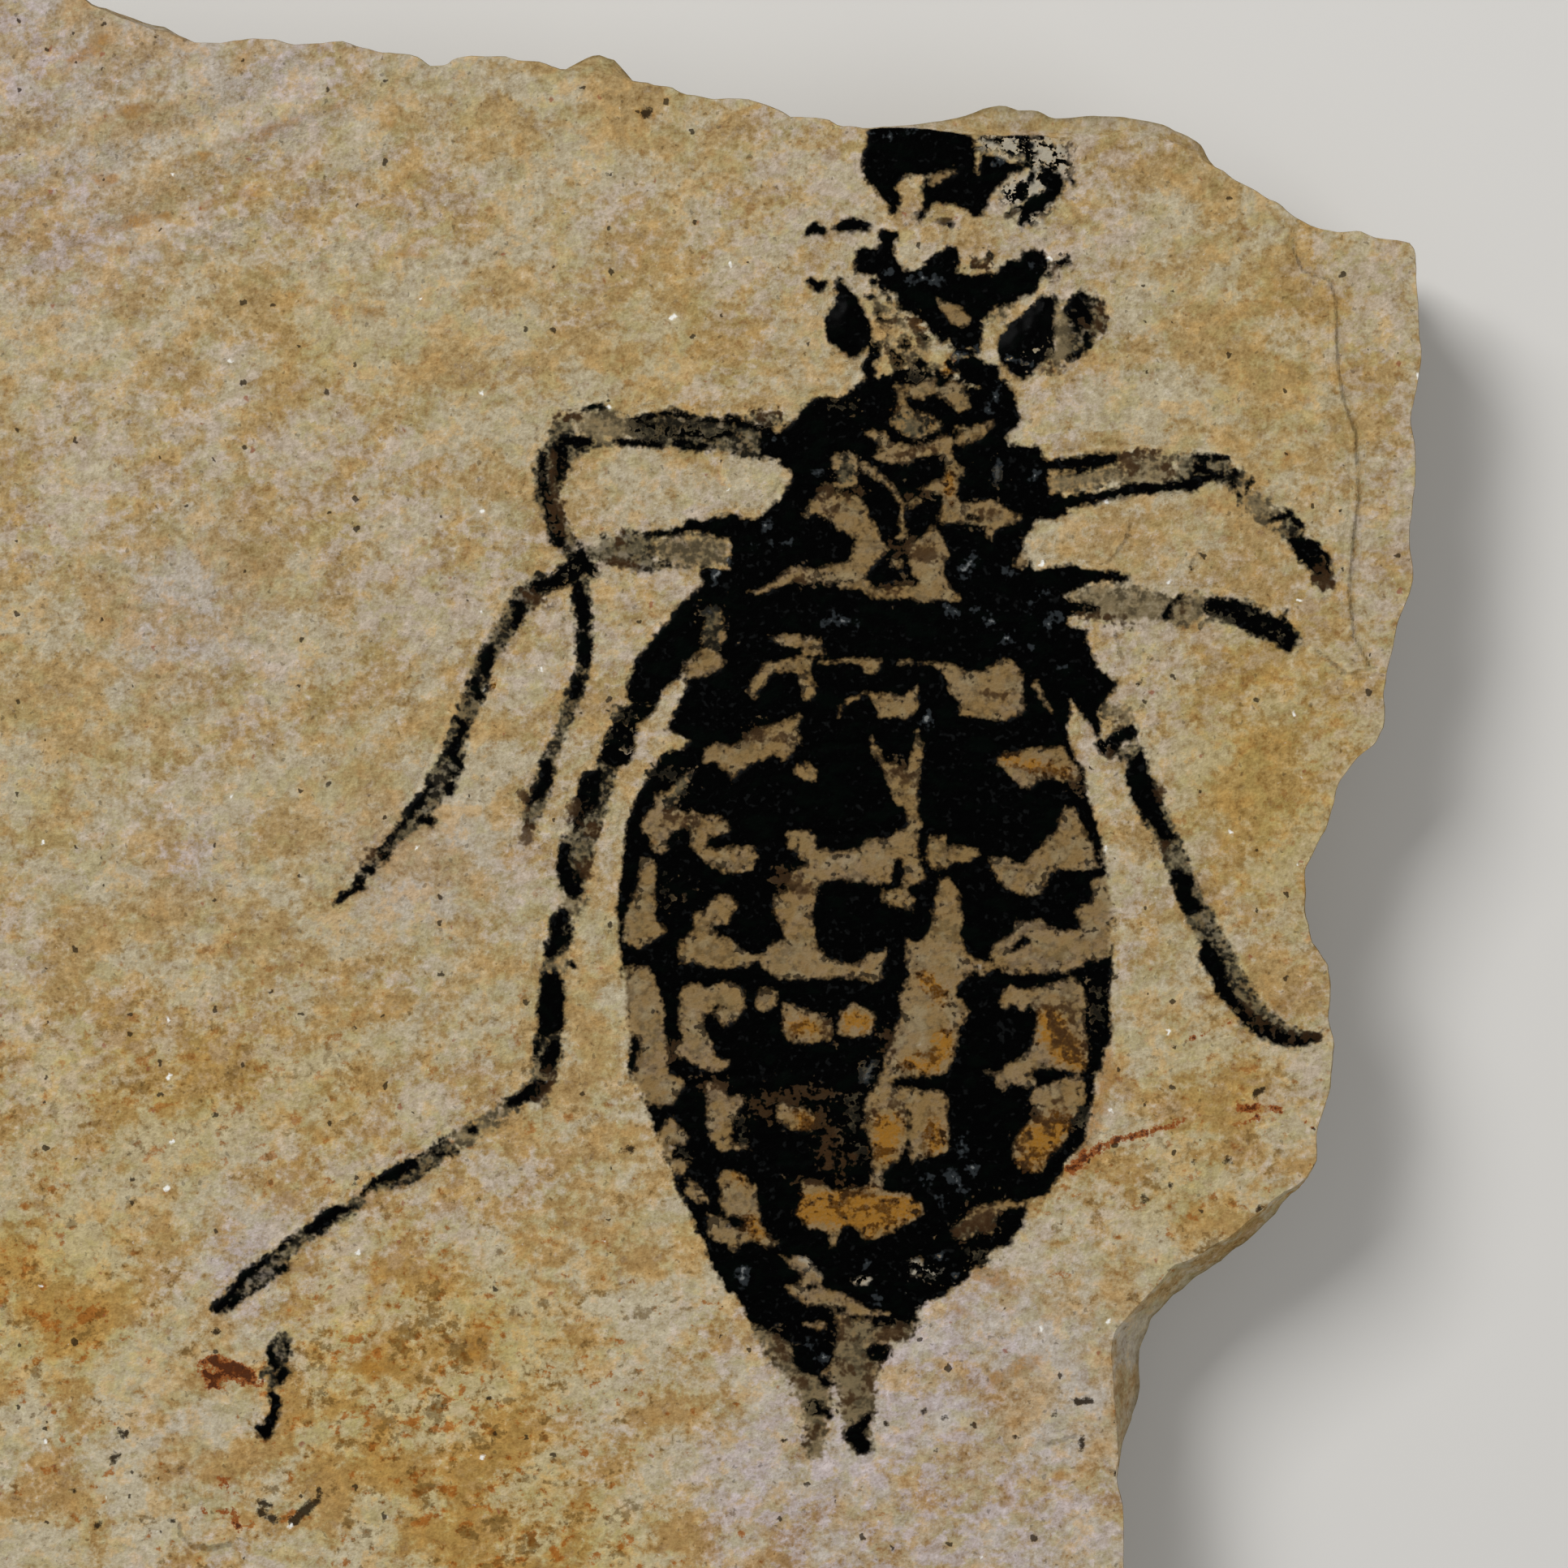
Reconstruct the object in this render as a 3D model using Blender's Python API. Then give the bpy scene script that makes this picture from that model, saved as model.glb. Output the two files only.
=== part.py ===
"""Fossil dragonfly nymph on a stone plate: a broken slab with the black film of the animal let into its top.

Plan sizes are in millimetres on the plate, x to the right and y towards the head, and are turned into metres
where a mesh is made. The underside of the plate rests on z = 0.
"""
import math
import random

import bpy
from mathutils import Vector
from mathutils.geometry import delaunay_2d_cdt

MM = 0.001
HALF_WIDTH = 36.0
HALF_LENGTH = 41.0
PLATE_TOP = 7.7
FILM_PROUD = 0.3
FILM_RIM = 0.08
FILM_DEPTH = 0.9
FILM_SLOPE = 0.5
GAP = 0.3
EYE_RISE = 0.32
EYE_SLOPE = 0.8

STONE = (0.52, 0.41, 0.27)
FILM = (0.018, 0.022, 0.021)
EYE_FILM = (0.008, 0.01, 0.011)

# The rim of the top face, from the top left corner round the right: x, y, then how far the broken side below
# stands out past the rim and how deep below the rim it does so. The rim is out of the picture after the last
# right-hand point at y = -30.3 and up the whole left side, and is finished plainly there.
RIM = [
    (-27.0, 41.0, 0.0, 0.4), (-24.8, 40.2, 0.1, 0.4), (-23.2, 39.1, 0.3, 1.0), (-21.9, 38.5, 0.5, 1.4),
    (-20.8, 38.1, 0.5, 1.4), (-19.9, 37.8, 0.6, 1.4), (-19.3, 37.6, 0.3, 0.8), (-18.6, 37.4, 0.1, 0.4),
    (-17.5, 37.35, 0.1, 0.4), (-16.2, 37.6, 0.1, 0.4), (-15.1, 37.55, 0.1, 0.4), (-14.2, 37.25, 0.1, 0.4),
    (-13.2, 37.35, 0.1, 0.4), (-11.9, 37.45, 0.1, 0.4), (-11.3, 37.2, 0.1, 0.4), (-10.5, 37.0, 0.1, 0.4),
    (-9.2, 36.9, 0.1, 0.4), (-8.6, 36.7, 0.1, 0.4), (-8.1, 36.35, 0.1, 0.4), (-7.4, 36.4, 0.1, 0.4),
    (-7.1, 36.75, 0.1, 0.4), (-6.5, 36.85, 0.1, 0.4), (-4.9, 36.8, 0.1, 0.4), (-3.4, 36.55, 0.1, 0.4),
    (-2.2, 36.2, 0.1, 0.4), (-1.6, 36.05, 0.6, 1.0), (-1.1, 36.0, 0.95, 1.0), (-0.55, 35.95, 1.05, 1.0),
    (0.0, 35.9, 0.95, 1.0), (0.4, 35.8, 0.6, 1.0), (0.9, 35.65, 0.1, 0.4), (1.9, 35.5, 0.1, 0.4),
    (2.6, 35.4, 0.1, 0.4), (3.3, 35.1, 0.1, 0.4), (4.3, 34.95, 0.1, 0.4), (6.0, 34.85, 0.1, 0.4),
    (6.8, 34.7, 0.1, 0.4), (7.5, 34.35, 0.1, 0.4), (7.9, 34.05, 0.1, 0.4), (8.9, 34.05, 0.1, 0.4),
    (9.6, 33.9, 0.1, 0.4), (10.1, 33.7, 0.1, 0.4), (11.2, 33.65, 0.1, 0.4), (12.4, 33.65, 0.1, 0.4),
    (13.4, 33.65, 0.2, 0.4), (14.3, 33.55, 0.45, 0.45), (15.2, 33.45, 0.8, 0.45), (15.9, 33.4, 1.3, 0.45),
    (16.7, 33.35, 1.55, 0.45), (17.5, 33.35, 1.35, 0.45), (18.3, 33.35, 1.3, 0.45), (19.1, 33.3, 0.9, 0.45),
    (20.0, 33.15, 1.2, 0.45), (21.0, 33.15, 1.25, 0.45), (21.9, 33.3, 1.1, 0.45), (22.7, 33.45, 0.8, 0.45),
    (23.6, 33.3, 0.75, 0.45), (24.5, 33.05, 0.75, 0.45), (25.3, 32.8, 0.65, 0.45), (25.9, 32.5, 0.5, 0.45),
    (26.3, 32.1, 0.3, 0.4), (26.8, 31.8, 0.1, 0.4), (27.9, 31.2, 0.1, 0.4), (28.9, 30.6, 0.1, 0.4),
    (30.0, 29.9, 0.1, 0.4), (30.8, 29.4, 0.1, 0.4), (31.5, 29.15, 0.1, 0.4), (32.3, 29.0, 0.1, 0.4),
    (33.2, 29.05, 0.1, 0.4), (34.0, 28.75, 0.1, 0.4), (35.0, 28.65, 0.1, 0.4), (35.55, 28.5, 0.1, 0.4),
    (35.75, 28.1, 0.1, 0.4), (35.8, 27.0, 0.1, 0.4), (35.8, 26.0, 0.1, 0.4), (35.9, 24.8, 0.1, 0.4),
    (35.9, 23.2, 0.1, 0.4), (35.75, 22.0, 0.1, 0.4), (35.5, 21.0, 0.1, 0.4), (35.6, 19.8, 0.1, 0.4),
    (35.75, 18.4, 0.1, 0.4), (35.6, 17.0, 0.1, 0.4), (35.45, 15.2, 0.1, 0.4), (35.6, 13.6, 0.1, 0.4),
    (35.5, 13.0, 0.1, 0.4), (35.1, 12.2, 0.1, 0.4), (34.8, 11.2, 0.1, 0.4), (34.6, 10.0, 0.1, 0.4),
    (34.3, 8.8, 0.1, 0.4), (34.25, 7.0, 0.1, 0.4), (33.85, 6.2, 0.1, 0.4), (33.1, 5.6, 0.1, 0.4),
    (32.4, 4.6, 0.1, 0.4), (32.0, 3.4, 0.1, 0.4), (31.7, 2.4, 0.1, 0.4), (31.2, 1.4, 0.1, 0.4),
    (30.8, 0.7, 0.1, 0.4), (30.75, -1.1, 0.1, 0.4), (31.1, -2.6, 0.1, 0.4), (31.8, -3.6, 0.1, 0.4),
    (31.9, -4.6, 0.1, 0.4), (31.85, -6.1, 0.1, 0.4), (32.05, -7.2, 0.1, 0.4), (31.95, -9.0, 0.1, 0.4),
    (31.4, -10.7, 0.1, 0.4), (31.2, -12.3, 0.1, 0.4), (30.9, -13.1, 0.2, 0.6), (29.9, -13.7, 0.5, 1.2),
    (28.6, -14.7, 0.95, 2.0), (27.5, -15.7, 1.0, 2.0), (26.3, -16.4, 1.2, 2.2), (25.0, -17.0, 1.4, 2.2),
    (24.2, -17.9, 1.2, 2.2), (23.3, -18.9, 1.2, 2.2), (22.4, -19.9, 1.7, 2.4), (22.2, -21.0, 2.1, 2.4),
    (22.3, -22.1, 1.8, 2.4), (22.3, -23.2, 1.3, 2.0), (22.4, -24.4, 0.6, 1.2), (22.5, -25.4, 0.2, 0.5),
    (22.4, -26.6, 0.1, 0.4), (22.7, -27.7, 0.1, 0.4), (22.7, -30.3, 0.1, 0.4), (23.1, -33.0, 0.0, 0.4),
    (22.5, -35.5, 0.0, 0.4), (20.9, -37.8, 0.0, 0.4), (17.9, -39.2, 0.0, 0.4), (13.9, -40.0, 0.0, 0.4),
    (9.0, -40.5, 0.0, 0.4), (3.0, -41.0, 0.0, 0.4), (-3.0, -40.6, 0.0, 0.4), (-9.0, -40.8, 0.0, 0.4),
    (-15.0, -40.1, 0.0, 0.4), (-21.0, -39.2, 0.0, 0.4), (-26.0, -38.5, 0.0, 0.4), (-30.0, -36.3, 0.0, 0.4),
    (-32.7, -32.8, 0.0, 0.4), (-34.3, -28.0, 0.0, 0.4), (-35.1, -22.0, 0.0, 0.4), (-34.5, -15.0, 0.0, 0.4),
    (-35.3, -8.0, 0.0, 0.4), (-36.0, -1.0, 0.0, 0.4), (-35.2, 6.0, 0.0, 0.4), (-34.6, 13.0, 0.0, 0.4),
    (-35.1, 20.0, 0.0, 0.4), (-35.7, 27.0, 0.0, 0.4), (-35.0, 33.0, 0.0, 0.4), (-33.3, 37.5, 0.0, 0.4),
    (-30.4, 40.0, 0.0, 0.4),
]

# A thin flake has come off the right margin: inside this line the stone keeps its full height.
FLAKE = [(30.2, 29.9), (30.2, 28.2), (30.6, 27.2), (31.8, 26.8), (32.1, 26.0), (32.2, 23.0), (32.5, 21.3),
         (33.0, 20.0), (33.1, 17.0), (32.9, 15.5), (32.7, 13.0), (32.9, 11.0), (33.6, 9.7), (34.6, 9.5)]
FLAKE_DROP = 0.3
FLAKE_STEP = 0.18
FLAKE_MARGIN = FLAKE + [(45.0, 9.5), (45.0, 45.0), (30.2, 45.0)]

# The bedding plane's unevenness: long low waves all over, and ripples round one spot at the upper left.
WAVES = [(0.31, 0.17, 0.0), (0.13, -0.29, 2.3), (0.47, 0.41, 0.0)]
WAVE_HEIGHT = 0.05
RIPPLE_AT = (-17.0, 32.0)
RIPPLE_REACH = (9.0, 5.0)
RIPPLE_HEIGHT = 0.16
RIPPLE_RUN = (-0.99, 1.96)

# The broken side, as beds of stone: share of the height at each ring, then how far it lies back from the rim.
BEDS = [(0.62, 0.15), (0.58, 0.5), (0.31, 0.3), (0.27, 0.65), (0.0, 0.9)]
BED_SWING = 0.35
BED_CHIP = 0.12
RIM_SPACING = 1.6
RIM_CHIP = 0.35
TOP_SPACING = 3.1
TOP_JITTER = 0.5

ABDOMEN = [
    (4.2, 11.5), (3.0, 8.9), (1.9, 6.3), (1.25, 3.9), (0.65, 2.5), (0.45, 0.7), (0.3, -1.5), (0.35, -3.1),
    (0.5, -5.0), (0.7, -7.1), (1.0, -8.7), (1.65, -10.5), (2.45, -12.7), (3.4, -14.8), (4.2, -16.4),
    (5.25, -18.3), (6.3, -20.1), (7.8, -21.7), (9.0, -22.0), (10.4, -21.9), (12.05, -20.9), (13.1, -20.0),
    (13.9, -18.5), (15.25, -17.6), (16.6, -16.5), (17.65, -15.5), (18.1, -14.5),
    (19.5, -13.2), (20.85, -11.6), (21.5, -9.7), (21.8, -7.3), (22.1, -4.7), (22.1, -3.1), (22.2, -0.9),
    (21.8, 1.2), (21.4, 2.5), (20.9, 4.4), (20.3, 6.8), (19.6, 9.0), (18.5, 12.0),
]
THORAX = [
    (11.5, 22.9), (10.8, 22.1), (9.4, 21.5), (8.4, 20.9), (7.4, 20.0), (8.2, 18.4), (7.6, 17.4), (6.3, 16.3),
    (5.2, 15.2), (4.6, 13.9), (3.9, 12.2), (2.9, 10.4), (2.7, 8.6), (6.0, 7.0), (12.0, 6.0), (18.0, 7.0),
    (20.2, 7.6), (21.6, 7.4), (22.2, 9.1), (21.2, 9.9), (20.8, 11.4), (20.4, 13.2), (18.8, 13.8), (18.2, 14.5),
    (18.8, 15.4), (19.6, 16.5), (20.4, 17.2), (19.6, 18.9), (18.6, 19.3), (17.4, 19.9), (18.0, 20.6),
    (17.8, 22.0), (16.9, 22.9), (14.0, 23.4),
]
HEAD = [
    (11.9, 22.6), (12.0, 24.4), (12.3, 25.5), (11.7, 26.5), (10.9, 27.2), (10.8, 28.2), (11.7, 28.9),
    (12.5, 28.9), (12.8, 27.7), (13.8, 27.3), (14.3, 27.9), (15.0, 28.3), (15.5, 27.7), (16.2, 27.2),
    (17.3, 27.8), (18.6, 28.1), (19.3, 27.7), (19.0, 26.8), (17.8, 26.1), (16.9, 25.6), (16.4, 24.6),
    (16.6, 22.6),
]
MASK = [
    (11.4, 33.15), (13.4, 33.15), (15.4, 32.95), (16.2, 32.5), (17.0, 32.3), (17.5, 31.6), (17.0, 30.6),
    (16.4, 29.7), (15.7, 29.8), (15.0, 30.1), (13.7, 29.6), (13.9, 31.2), (12.8, 31.2), (12.4, 29.9),
    (11.8, 30.6), (11.2, 31.3), (11.0, 32.3),
]
EYE_LEFT = [
    (10.1, 26.7), (10.8, 26.0), (11.3, 25.2), (11.5, 24.3), (11.1, 23.6), (10.5, 23.3), (9.9, 23.8),
    (9.5, 24.6), (9.5, 25.2), (9.9, 25.8),
]
EYE_RIGHT = [
    (19.5, 26.0), (18.6, 25.6), (17.9, 25.0), (17.2, 24.3), (17.0, 23.6), (17.4, 22.9), (18.2, 22.6),
    (18.9, 22.9), (19.3, 23.5), (19.3, 24.5), (19.6, 25.2),
]

# Each length of leg runs along its middle line: x, y, width. Thigh and shin are separate lengths that overlap
# at the knee.
LEGS = [
    [(8.2, 20.0, 1.7), (5.5, 19.95, 1.75), (3.0, 20.05, 1.6), (0.0, 20.15, 1.4), (-1.3, 20.2, 1.5),
     (-2.5, 19.8, 1.1)],
    [(-2.2, 20.1, 0.9), (-2.9, 19.2, 1.0), (-3.0, 17.7, 0.95), (-2.7, 16.5, 0.85), (-2.2, 15.4, 0.8),
     (-1.7, 14.2, 0.85), (-1.4, 12.2, 0.75), (-1.3, 10.6, 0.65), (-1.7, 8.7, 0.6), (-2.5, 6.3, 0.5),
     (-3.1, 4.6, 0.55), (-3.6, 3.2, 0.55), (-4.0, 2.0, 0.4)],
    [(6.5, 15.1, 2.1), (4.8, 15.1, 2.0), (3.0, 15.1, 1.8), (1.5, 14.95, 1.5), (0.0, 14.65, 1.4),
     (-1.4, 14.15, 1.3), (-2.3, 13.8, 1.0)],
    [(-1.6, 14.1, 1.0), (-2.8, 13.5, 1.0), (-3.8, 12.9, 0.95), (-4.5, 11.8, 0.9), (-5.4, 10.2, 0.9),
     (-6.2, 8.4, 0.75), (-7.0, 5.9, 0.9), (-8.0, 4.0, 0.8), (-9.2, 2.4, 0.6), (-10.6, 0.8, 0.45),
     (-12.3, -0.9, 0.25)],
    [(5.4, 13.2, 2.6), (3.6, 11.7, 2.4), (1.9, 9.6, 2.1), (0.9, 8.1, 1.5), (0.1, 6.5, 1.3), (-0.7, 4.7, 1.2),
     (-1.3, 2.7, 1.2), (-1.8, 0.5, 1.25), (-2.1, -1.4, 0.9), (-2.6, -3.4, 1.1), (-2.7, -5.8, 1.2),
     (-2.9, -7.6, 1.0), (-3.3, -9.0, 1.0), (-4.3, -9.6, 0.7)],
    [(-3.6, -9.3, 0.9), (-5.2, -10.5, 0.75), (-6.8, -11.5, 0.9), (-8.1, -12.15, 0.8), (-9.5, -12.85, 0.85),
     (-10.6, -13.5, 0.5), (-11.6, -14.2, 0.7), (-12.7, -14.95, 0.8), (-13.5, -15.5, 0.7), (-14.4, -16.1, 0.6),
     (-15.2, -16.9, 0.8), (-16.1, -17.6, 0.8), (-17.0, -18.4, 0.7), (-17.7, -19.0, 0.4)],
    [(18.2, 17.9, 2.5), (19.5, 17.8, 2.3), (21.0, 17.9, 2.0), (23.0, 18.15, 1.8), (25.0, 18.25, 1.5),
     (26.8, 18.4, 1.2), (27.7, 18.2, 0.9)],
    [(27.0, 18.4, 1.0), (28.2, 17.3, 1.0), (29.2, 16.5, 0.9), (29.9, 15.9, 1.0), (30.6, 15.0, 1.15),
     (31.2, 14.2, 1.15), (31.6, 13.2, 0.6)],
    [(18.6, 12.8, 2.2), (20.0, 12.8, 2.0), (21.5, 12.7, 1.9), (23.2, 12.5, 1.6), (24.6, 12.4, 1.2),
     (26.0, 12.25, 1.0), (27.0, 12.05, 1.1), (28.3, 11.6, 1.15), (29.4, 11.2, 1.05), (30.2, 10.8, 0.7)],
    [(20.9, 9.4, 2.2), (21.7, 8.0, 1.6), (22.4, 6.6, 1.3), (22.9, 5.1, 1.15), (23.5, 3.8, 1.1),
     (24.4, 2.3, 1.0), (24.9, 0.9, 0.8), (25.4, -0.2, 0.9), (26.0, -1.6, 0.9), (26.6, -3.2, 1.1), (27.1, -4.4, 1.0),
     (27.9, -5.7, 1.0), (28.9, -6.5, 0.9), (30.1, -6.85, 0.7), (31.3, -6.9, 0.5)],
]
TAILS = [
    [(9.3, -20.5, 1.8), (9.1, -22.5, 1.2), (9.0, -24.3, 0.8), (8.95, -25.4, 0.4)],
    [(10.9, -20.5, 1.9), (10.95, -22.5, 1.45), (10.9, -24.4, 1.2), (11.0, -25.3, 0.6)],
]
HIND_CLAW = [(-14.3, -20.0, 0.5), (-14.8, -20.8, 0.9), (-15.0, -21.8, 0.8), (-15.0, -22.8, 0.5),
             (-15.2, -23.7, 0.6), (-15.5, -24.4, 0.5)]

# Joints between the rings of the abdomen: y at the middle line, then the reach to either side.
RING_JOINTS = [(6.3, 7.6), (2.3, 8.6), (-3.9, 9.3), (-8.1, 8.6), (-12.1, 6.9), (-15.3, 4.8), (-17.7, 3.2)]
RING_GROOVE = 0.12
RING_GROOVE_HALF = 0.12
RING_SHOULDER = 0.4
RING_BOW = 0.9
MIDDLE_TOP = (13.2, 6.0)
MIDDLE_TAIL = (10.3, -20.0)

chance = random.Random(7)


def closed(outline):
    """The straight pieces of a closed outline, as pairs of points."""
    return list(zip(outline, outline[1:] + outline[:1]))


def inside(point, outline):
    """True when a plan point lies within a closed outline."""
    x, y = point
    hit = False
    for a, b in closed(outline):
        if (a[1] > y) != (b[1] > y) and x < a[0] + (b[0] - a[0]) * (y - a[1]) / (b[1] - a[1]):
            hit = not hit
    return hit


def distance(point, pieces):
    """Distance from a plan point to the nearest of some straight pieces."""
    nearest = math.inf
    for a, b in pieces:
        dx, dy = b[0] - a[0], b[1] - a[1]
        t = ((point[0] - a[0]) * dx + (point[1] - a[1]) * dy) / max(dx * dx + dy * dy, 1e-9)
        t = max(0.0, min(1.0, t))
        nearest = min(nearest, math.hypot(point[0] - a[0] - dx * t, point[1] - a[1] - dy * t))
    return nearest


def turn_of(outline):
    """1 for an outline that runs anticlockwise and -1 for one that runs clockwise."""
    area = sum(a[0] * b[1] - b[0] * a[1] for a, b in closed(outline))
    return 1.0 if area > 0 else -1.0


def grown(outline, by):
    """A closed outline moved outwards by a set amount, or inwards when it is negative."""
    turn = turn_of(outline)
    moved = []
    for i, here in enumerate(outline):
        before = (Vector(here) - Vector(outline[i - 1])).normalized()
        after = (Vector(outline[(i + 1) % len(outline)]) - Vector(here)).normalized()
        out = (Vector((before.y, -before.x)) + Vector((after.y, -after.x))).normalized() * turn
        spread = max(0.6, out.dot(Vector((before.y, -before.x))) * turn)
        moved.append(tuple(Vector(here) + out * by / spread))
    return moved


def ribbon(path, grow=0.0):
    """Outline of a length of leg from its middle line, made wider and longer all round by grow."""
    left = []
    right = []
    for i, (x, y, width) in enumerate(path):
        before = path[max(i - 1, 0)]
        after = path[min(i + 1, len(path) - 1)]
        run = Vector((after[0] - before[0], after[1] - before[1])).normalized()
        reach = grow * ((i == len(path) - 1) - (i == 0))
        side = Vector((-run.y, run.x)) * (width / 2 + grow)
        centre = Vector((x, y)) + run * reach
        left.append(centre + side)
        right.append(centre - side)
    return [(p.x, p.y) for p in left + right[::-1]]


def top_at(x, y):
    """Height of the bedding plane at a plan point."""
    waves = sum(math.sin(a * x + b * y + start) for a, b, start in WAVES)
    level = PLATE_TOP + WAVE_HEIGHT * (waves - 2.0)
    dx, dy = x - RIPPLE_AT[0], y - RIPPLE_AT[1]
    near = math.exp(-((dx / RIPPLE_REACH[0]) ** 2 + (dy / RIPPLE_REACH[1]) ** 2))
    level += RIPPLE_HEIGHT * near * math.sin(RIPPLE_RUN[0] * dx + RIPPLE_RUN[1] * dy)
    if inside((x, y), FLAKE_MARGIN):
        level -= FLAKE_DROP
    return level


def flat_union(outlines, points=()):
    """Triangles that fill several overlapping outlines as one area, with extra points inside it."""
    places = []
    faces = []
    for outline in outlines:
        faces.append(list(range(len(places), len(places) + len(outline))))
        places.extend(Vector(p) for p in (outline if turn_of(outline) > 0 else outline[::-1]))
    places.extend(Vector(p) for p in points)
    verts, _, triangles, _, _, owners = delaunay_2d_cdt(places, [], faces, 0, 1e-5)
    kept = [tuple(t) for t, own in zip(triangles, owners) if own]
    return [tuple(v) for v in verts], kept


def rim_edges(triangles):
    """The directed edges of a filled area that only one triangle uses."""
    directed = {(t[i], t[(i + 1) % 3]) for t in triangles for i in range(3)}
    return sorted((a, b) for a, b in directed if (b, a) not in directed)


def make_solid(name, corners, faces):
    """An object from plan millimetres, with its corners in metres."""
    mesh = bpy.data.meshes.new(name)
    mesh.from_pydata([(x * MM, y * MM, z * MM) for x, y, z in corners], [], faces)
    solid = bpy.data.objects.new(name, mesh)
    bpy.context.scene.collection.objects.link(solid)
    return solid


def thick(name, verts, triangles, top, floor):
    """A solid between a flat floor and a top whose height at x, y the function top gives."""
    used = sorted({i for t in triangles for i in t})
    place = {old: new for new, old in enumerate(used)}
    count = len(used)
    corners = [(*verts[i], top(*verts[i])) for i in used] + [(*verts[i], floor) for i in used]
    faces = [tuple(place[i] for i in t) for t in triangles]
    walls = [(place[a], place[a] + count, place[b] + count, place[b]) for a, b in rim_edges(triangles)]
    return make_solid(name, corners, faces + [tuple(i + count for i in reversed(f)) for f in faces] + walls)


def film(name, outlines, relief, points):
    """A thin solid with a flat underside whose top follows the stone, raised by relief at each depth in."""
    verts, triangles = flat_union(outlines)
    edge = [(verts[a], verts[b]) for a, b in rim_edges(triangles)]
    inner = [p for p in points if any(inside(p, outline) for outline in outlines)]
    inner = [p for p in inner if distance(p, edge) > FILM_SLOPE * 0.45]
    verts, triangles = flat_union(outlines, inner)

    def top(x, y):
        return top_at(x, y) + relief(x, y, distance((x, y), edge))

    return thick(name, verts, triangles, top, PLATE_TOP - FILM_DEPTH)


def paint(solid, colour, roughness):
    """Give one node its own plain material."""
    material = bpy.data.materials.new(solid.name + "_finish")
    material.use_nodes = True
    shader = material.node_tree.nodes["Principled BSDF"]
    shader.inputs["Base Color"].default_value = (*colour, 1.0)
    shader.inputs["Roughness"].default_value = roughness
    solid.data.materials.append(material)


def full_rim():
    """RIM run anticlockwise, with chipped points added along its longer straight pieces."""
    points = []
    for here, after in closed(RIM):
        points.append(here)
        pieces = max(1, round(math.hypot(after[0] - here[0], after[1] - here[1]) / RIM_SPACING))
        for k in range(1, pieces):
            x, y, foot, drop = (a + (b - a) * k / pieces for a, b in zip(here, after))
            inward = 1 - chance.uniform(0.0, RIM_CHIP) * min(1.0, pieces / 4) / math.hypot(x, y)
            points.append((x * inward, y * inward, foot, drop))
    return points[::-1]


def top_points(outline):
    """Points over the top face that carry its waves, clear of the rim and the flake, and the flake's step."""
    rim_pieces = closed(outline)
    flake_pieces = list(zip(FLAKE, FLAKE[1:]))
    rows = round(HALF_LENGTH / TOP_SPACING)
    columns = round(HALF_WIDTH / TOP_SPACING) + 1
    points = []
    for row in range(-rows, rows + 1):
        for column in range(-columns, columns + 1):
            x = (column + (row % 2) / 2) * TOP_SPACING + chance.uniform(-TOP_JITTER, TOP_JITTER)
            y = row * TOP_SPACING + chance.uniform(-TOP_JITTER, TOP_JITTER)
            clear = distance((x, y), rim_pieces) > 1.2 and distance((x, y), flake_pieces) > 1.0
            if clear and inside((x, y), outline):
                points.append((x, y))
    for side in (FLAKE_STEP / 2, -FLAKE_STEP / 2):
        points += grown(FLAKE_MARGIN, side)[1:len(FLAKE) - 1]
    return points


def side_ring(rim, share, back):
    """One ring round the broken side, at a share of its height and so far back from the rim's foot."""
    ring = []
    for i, (x, y, foot, drop) in enumerate(rim):
        uneven = BED_SWING * math.sin(0.21 * i + 9.0 * share) + chance.uniform(-BED_CHIP, BED_CHIP)
        out = foot if back == 0.0 else min(foot, foot - back + uneven)
        away = 1 + out / math.hypot(x, y)
        ring.append((x * away, y * away, (top_at(x, y) - drop) * share))
    return ring


def middle_at(y):
    """x of the abdomen's middle line at a given y."""
    t = (y - MIDDLE_TOP[1]) / (MIDDLE_TAIL[1] - MIDDLE_TOP[1])
    return MIDDLE_TOP[0] + (MIDDLE_TAIL[0] - MIDDLE_TOP[0]) * t


def joint_y(joint, x):
    """y of one ring joint at a given x: the joints bow towards the tail at the sides."""
    level, reach = joint
    return level - RING_BOW * ((x - middle_at(level)) / reach) ** 2


def body_relief(x, y, depth):
    """Low cushion of film, with a shallow groove at each joint of the abdomen."""
    height = FILM_RIM + (FILM_PROUD - FILM_RIM) * min(1.0, depth / FILM_SLOPE)
    for joint in RING_JOINTS:
        across = abs(x - middle_at(joint[0])) < joint[1]
        if across and abs(y - joint_y(joint, x)) < RING_GROOVE_HALF and depth > FILM_SLOPE / 2:
            height -= RING_GROOVE
    return height


def eye_relief(x, y, depth):
    """The lens of an eye stands up in a smooth dome."""
    return FILM_RIM + EYE_RISE * min(1.0, depth / EYE_SLOPE) ** 0.7


for old in list(bpy.data.objects):
    bpy.data.objects.remove(old, do_unlink=True)

# The slab: its top face on the bedding plane, then the broken side down to the flat underside.
rim = full_rim()
outline = [(x, y) for x, y, foot, drop in rim]
verts, faces = flat_union([outline], top_points(outline))
corners = [(x, y, top_at(x, y)) for x, y in verts]
ring = list(range(len(rim)))
for share, back in [(1.0, 0.0)] + BEDS:
    below = list(range(len(corners), len(corners) + len(rim)))
    corners += side_ring(rim, share, back)
    for i in range(len(rim)):
        after = (i + 1) % len(rim)
        faces.append((ring[i], below[i], below[after], ring[after]))
    ring = below
faces.append(tuple(ring[::-1]))
slab = make_solid("slab", corners, faces)
paint(slab, STONE, 0.9)

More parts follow.
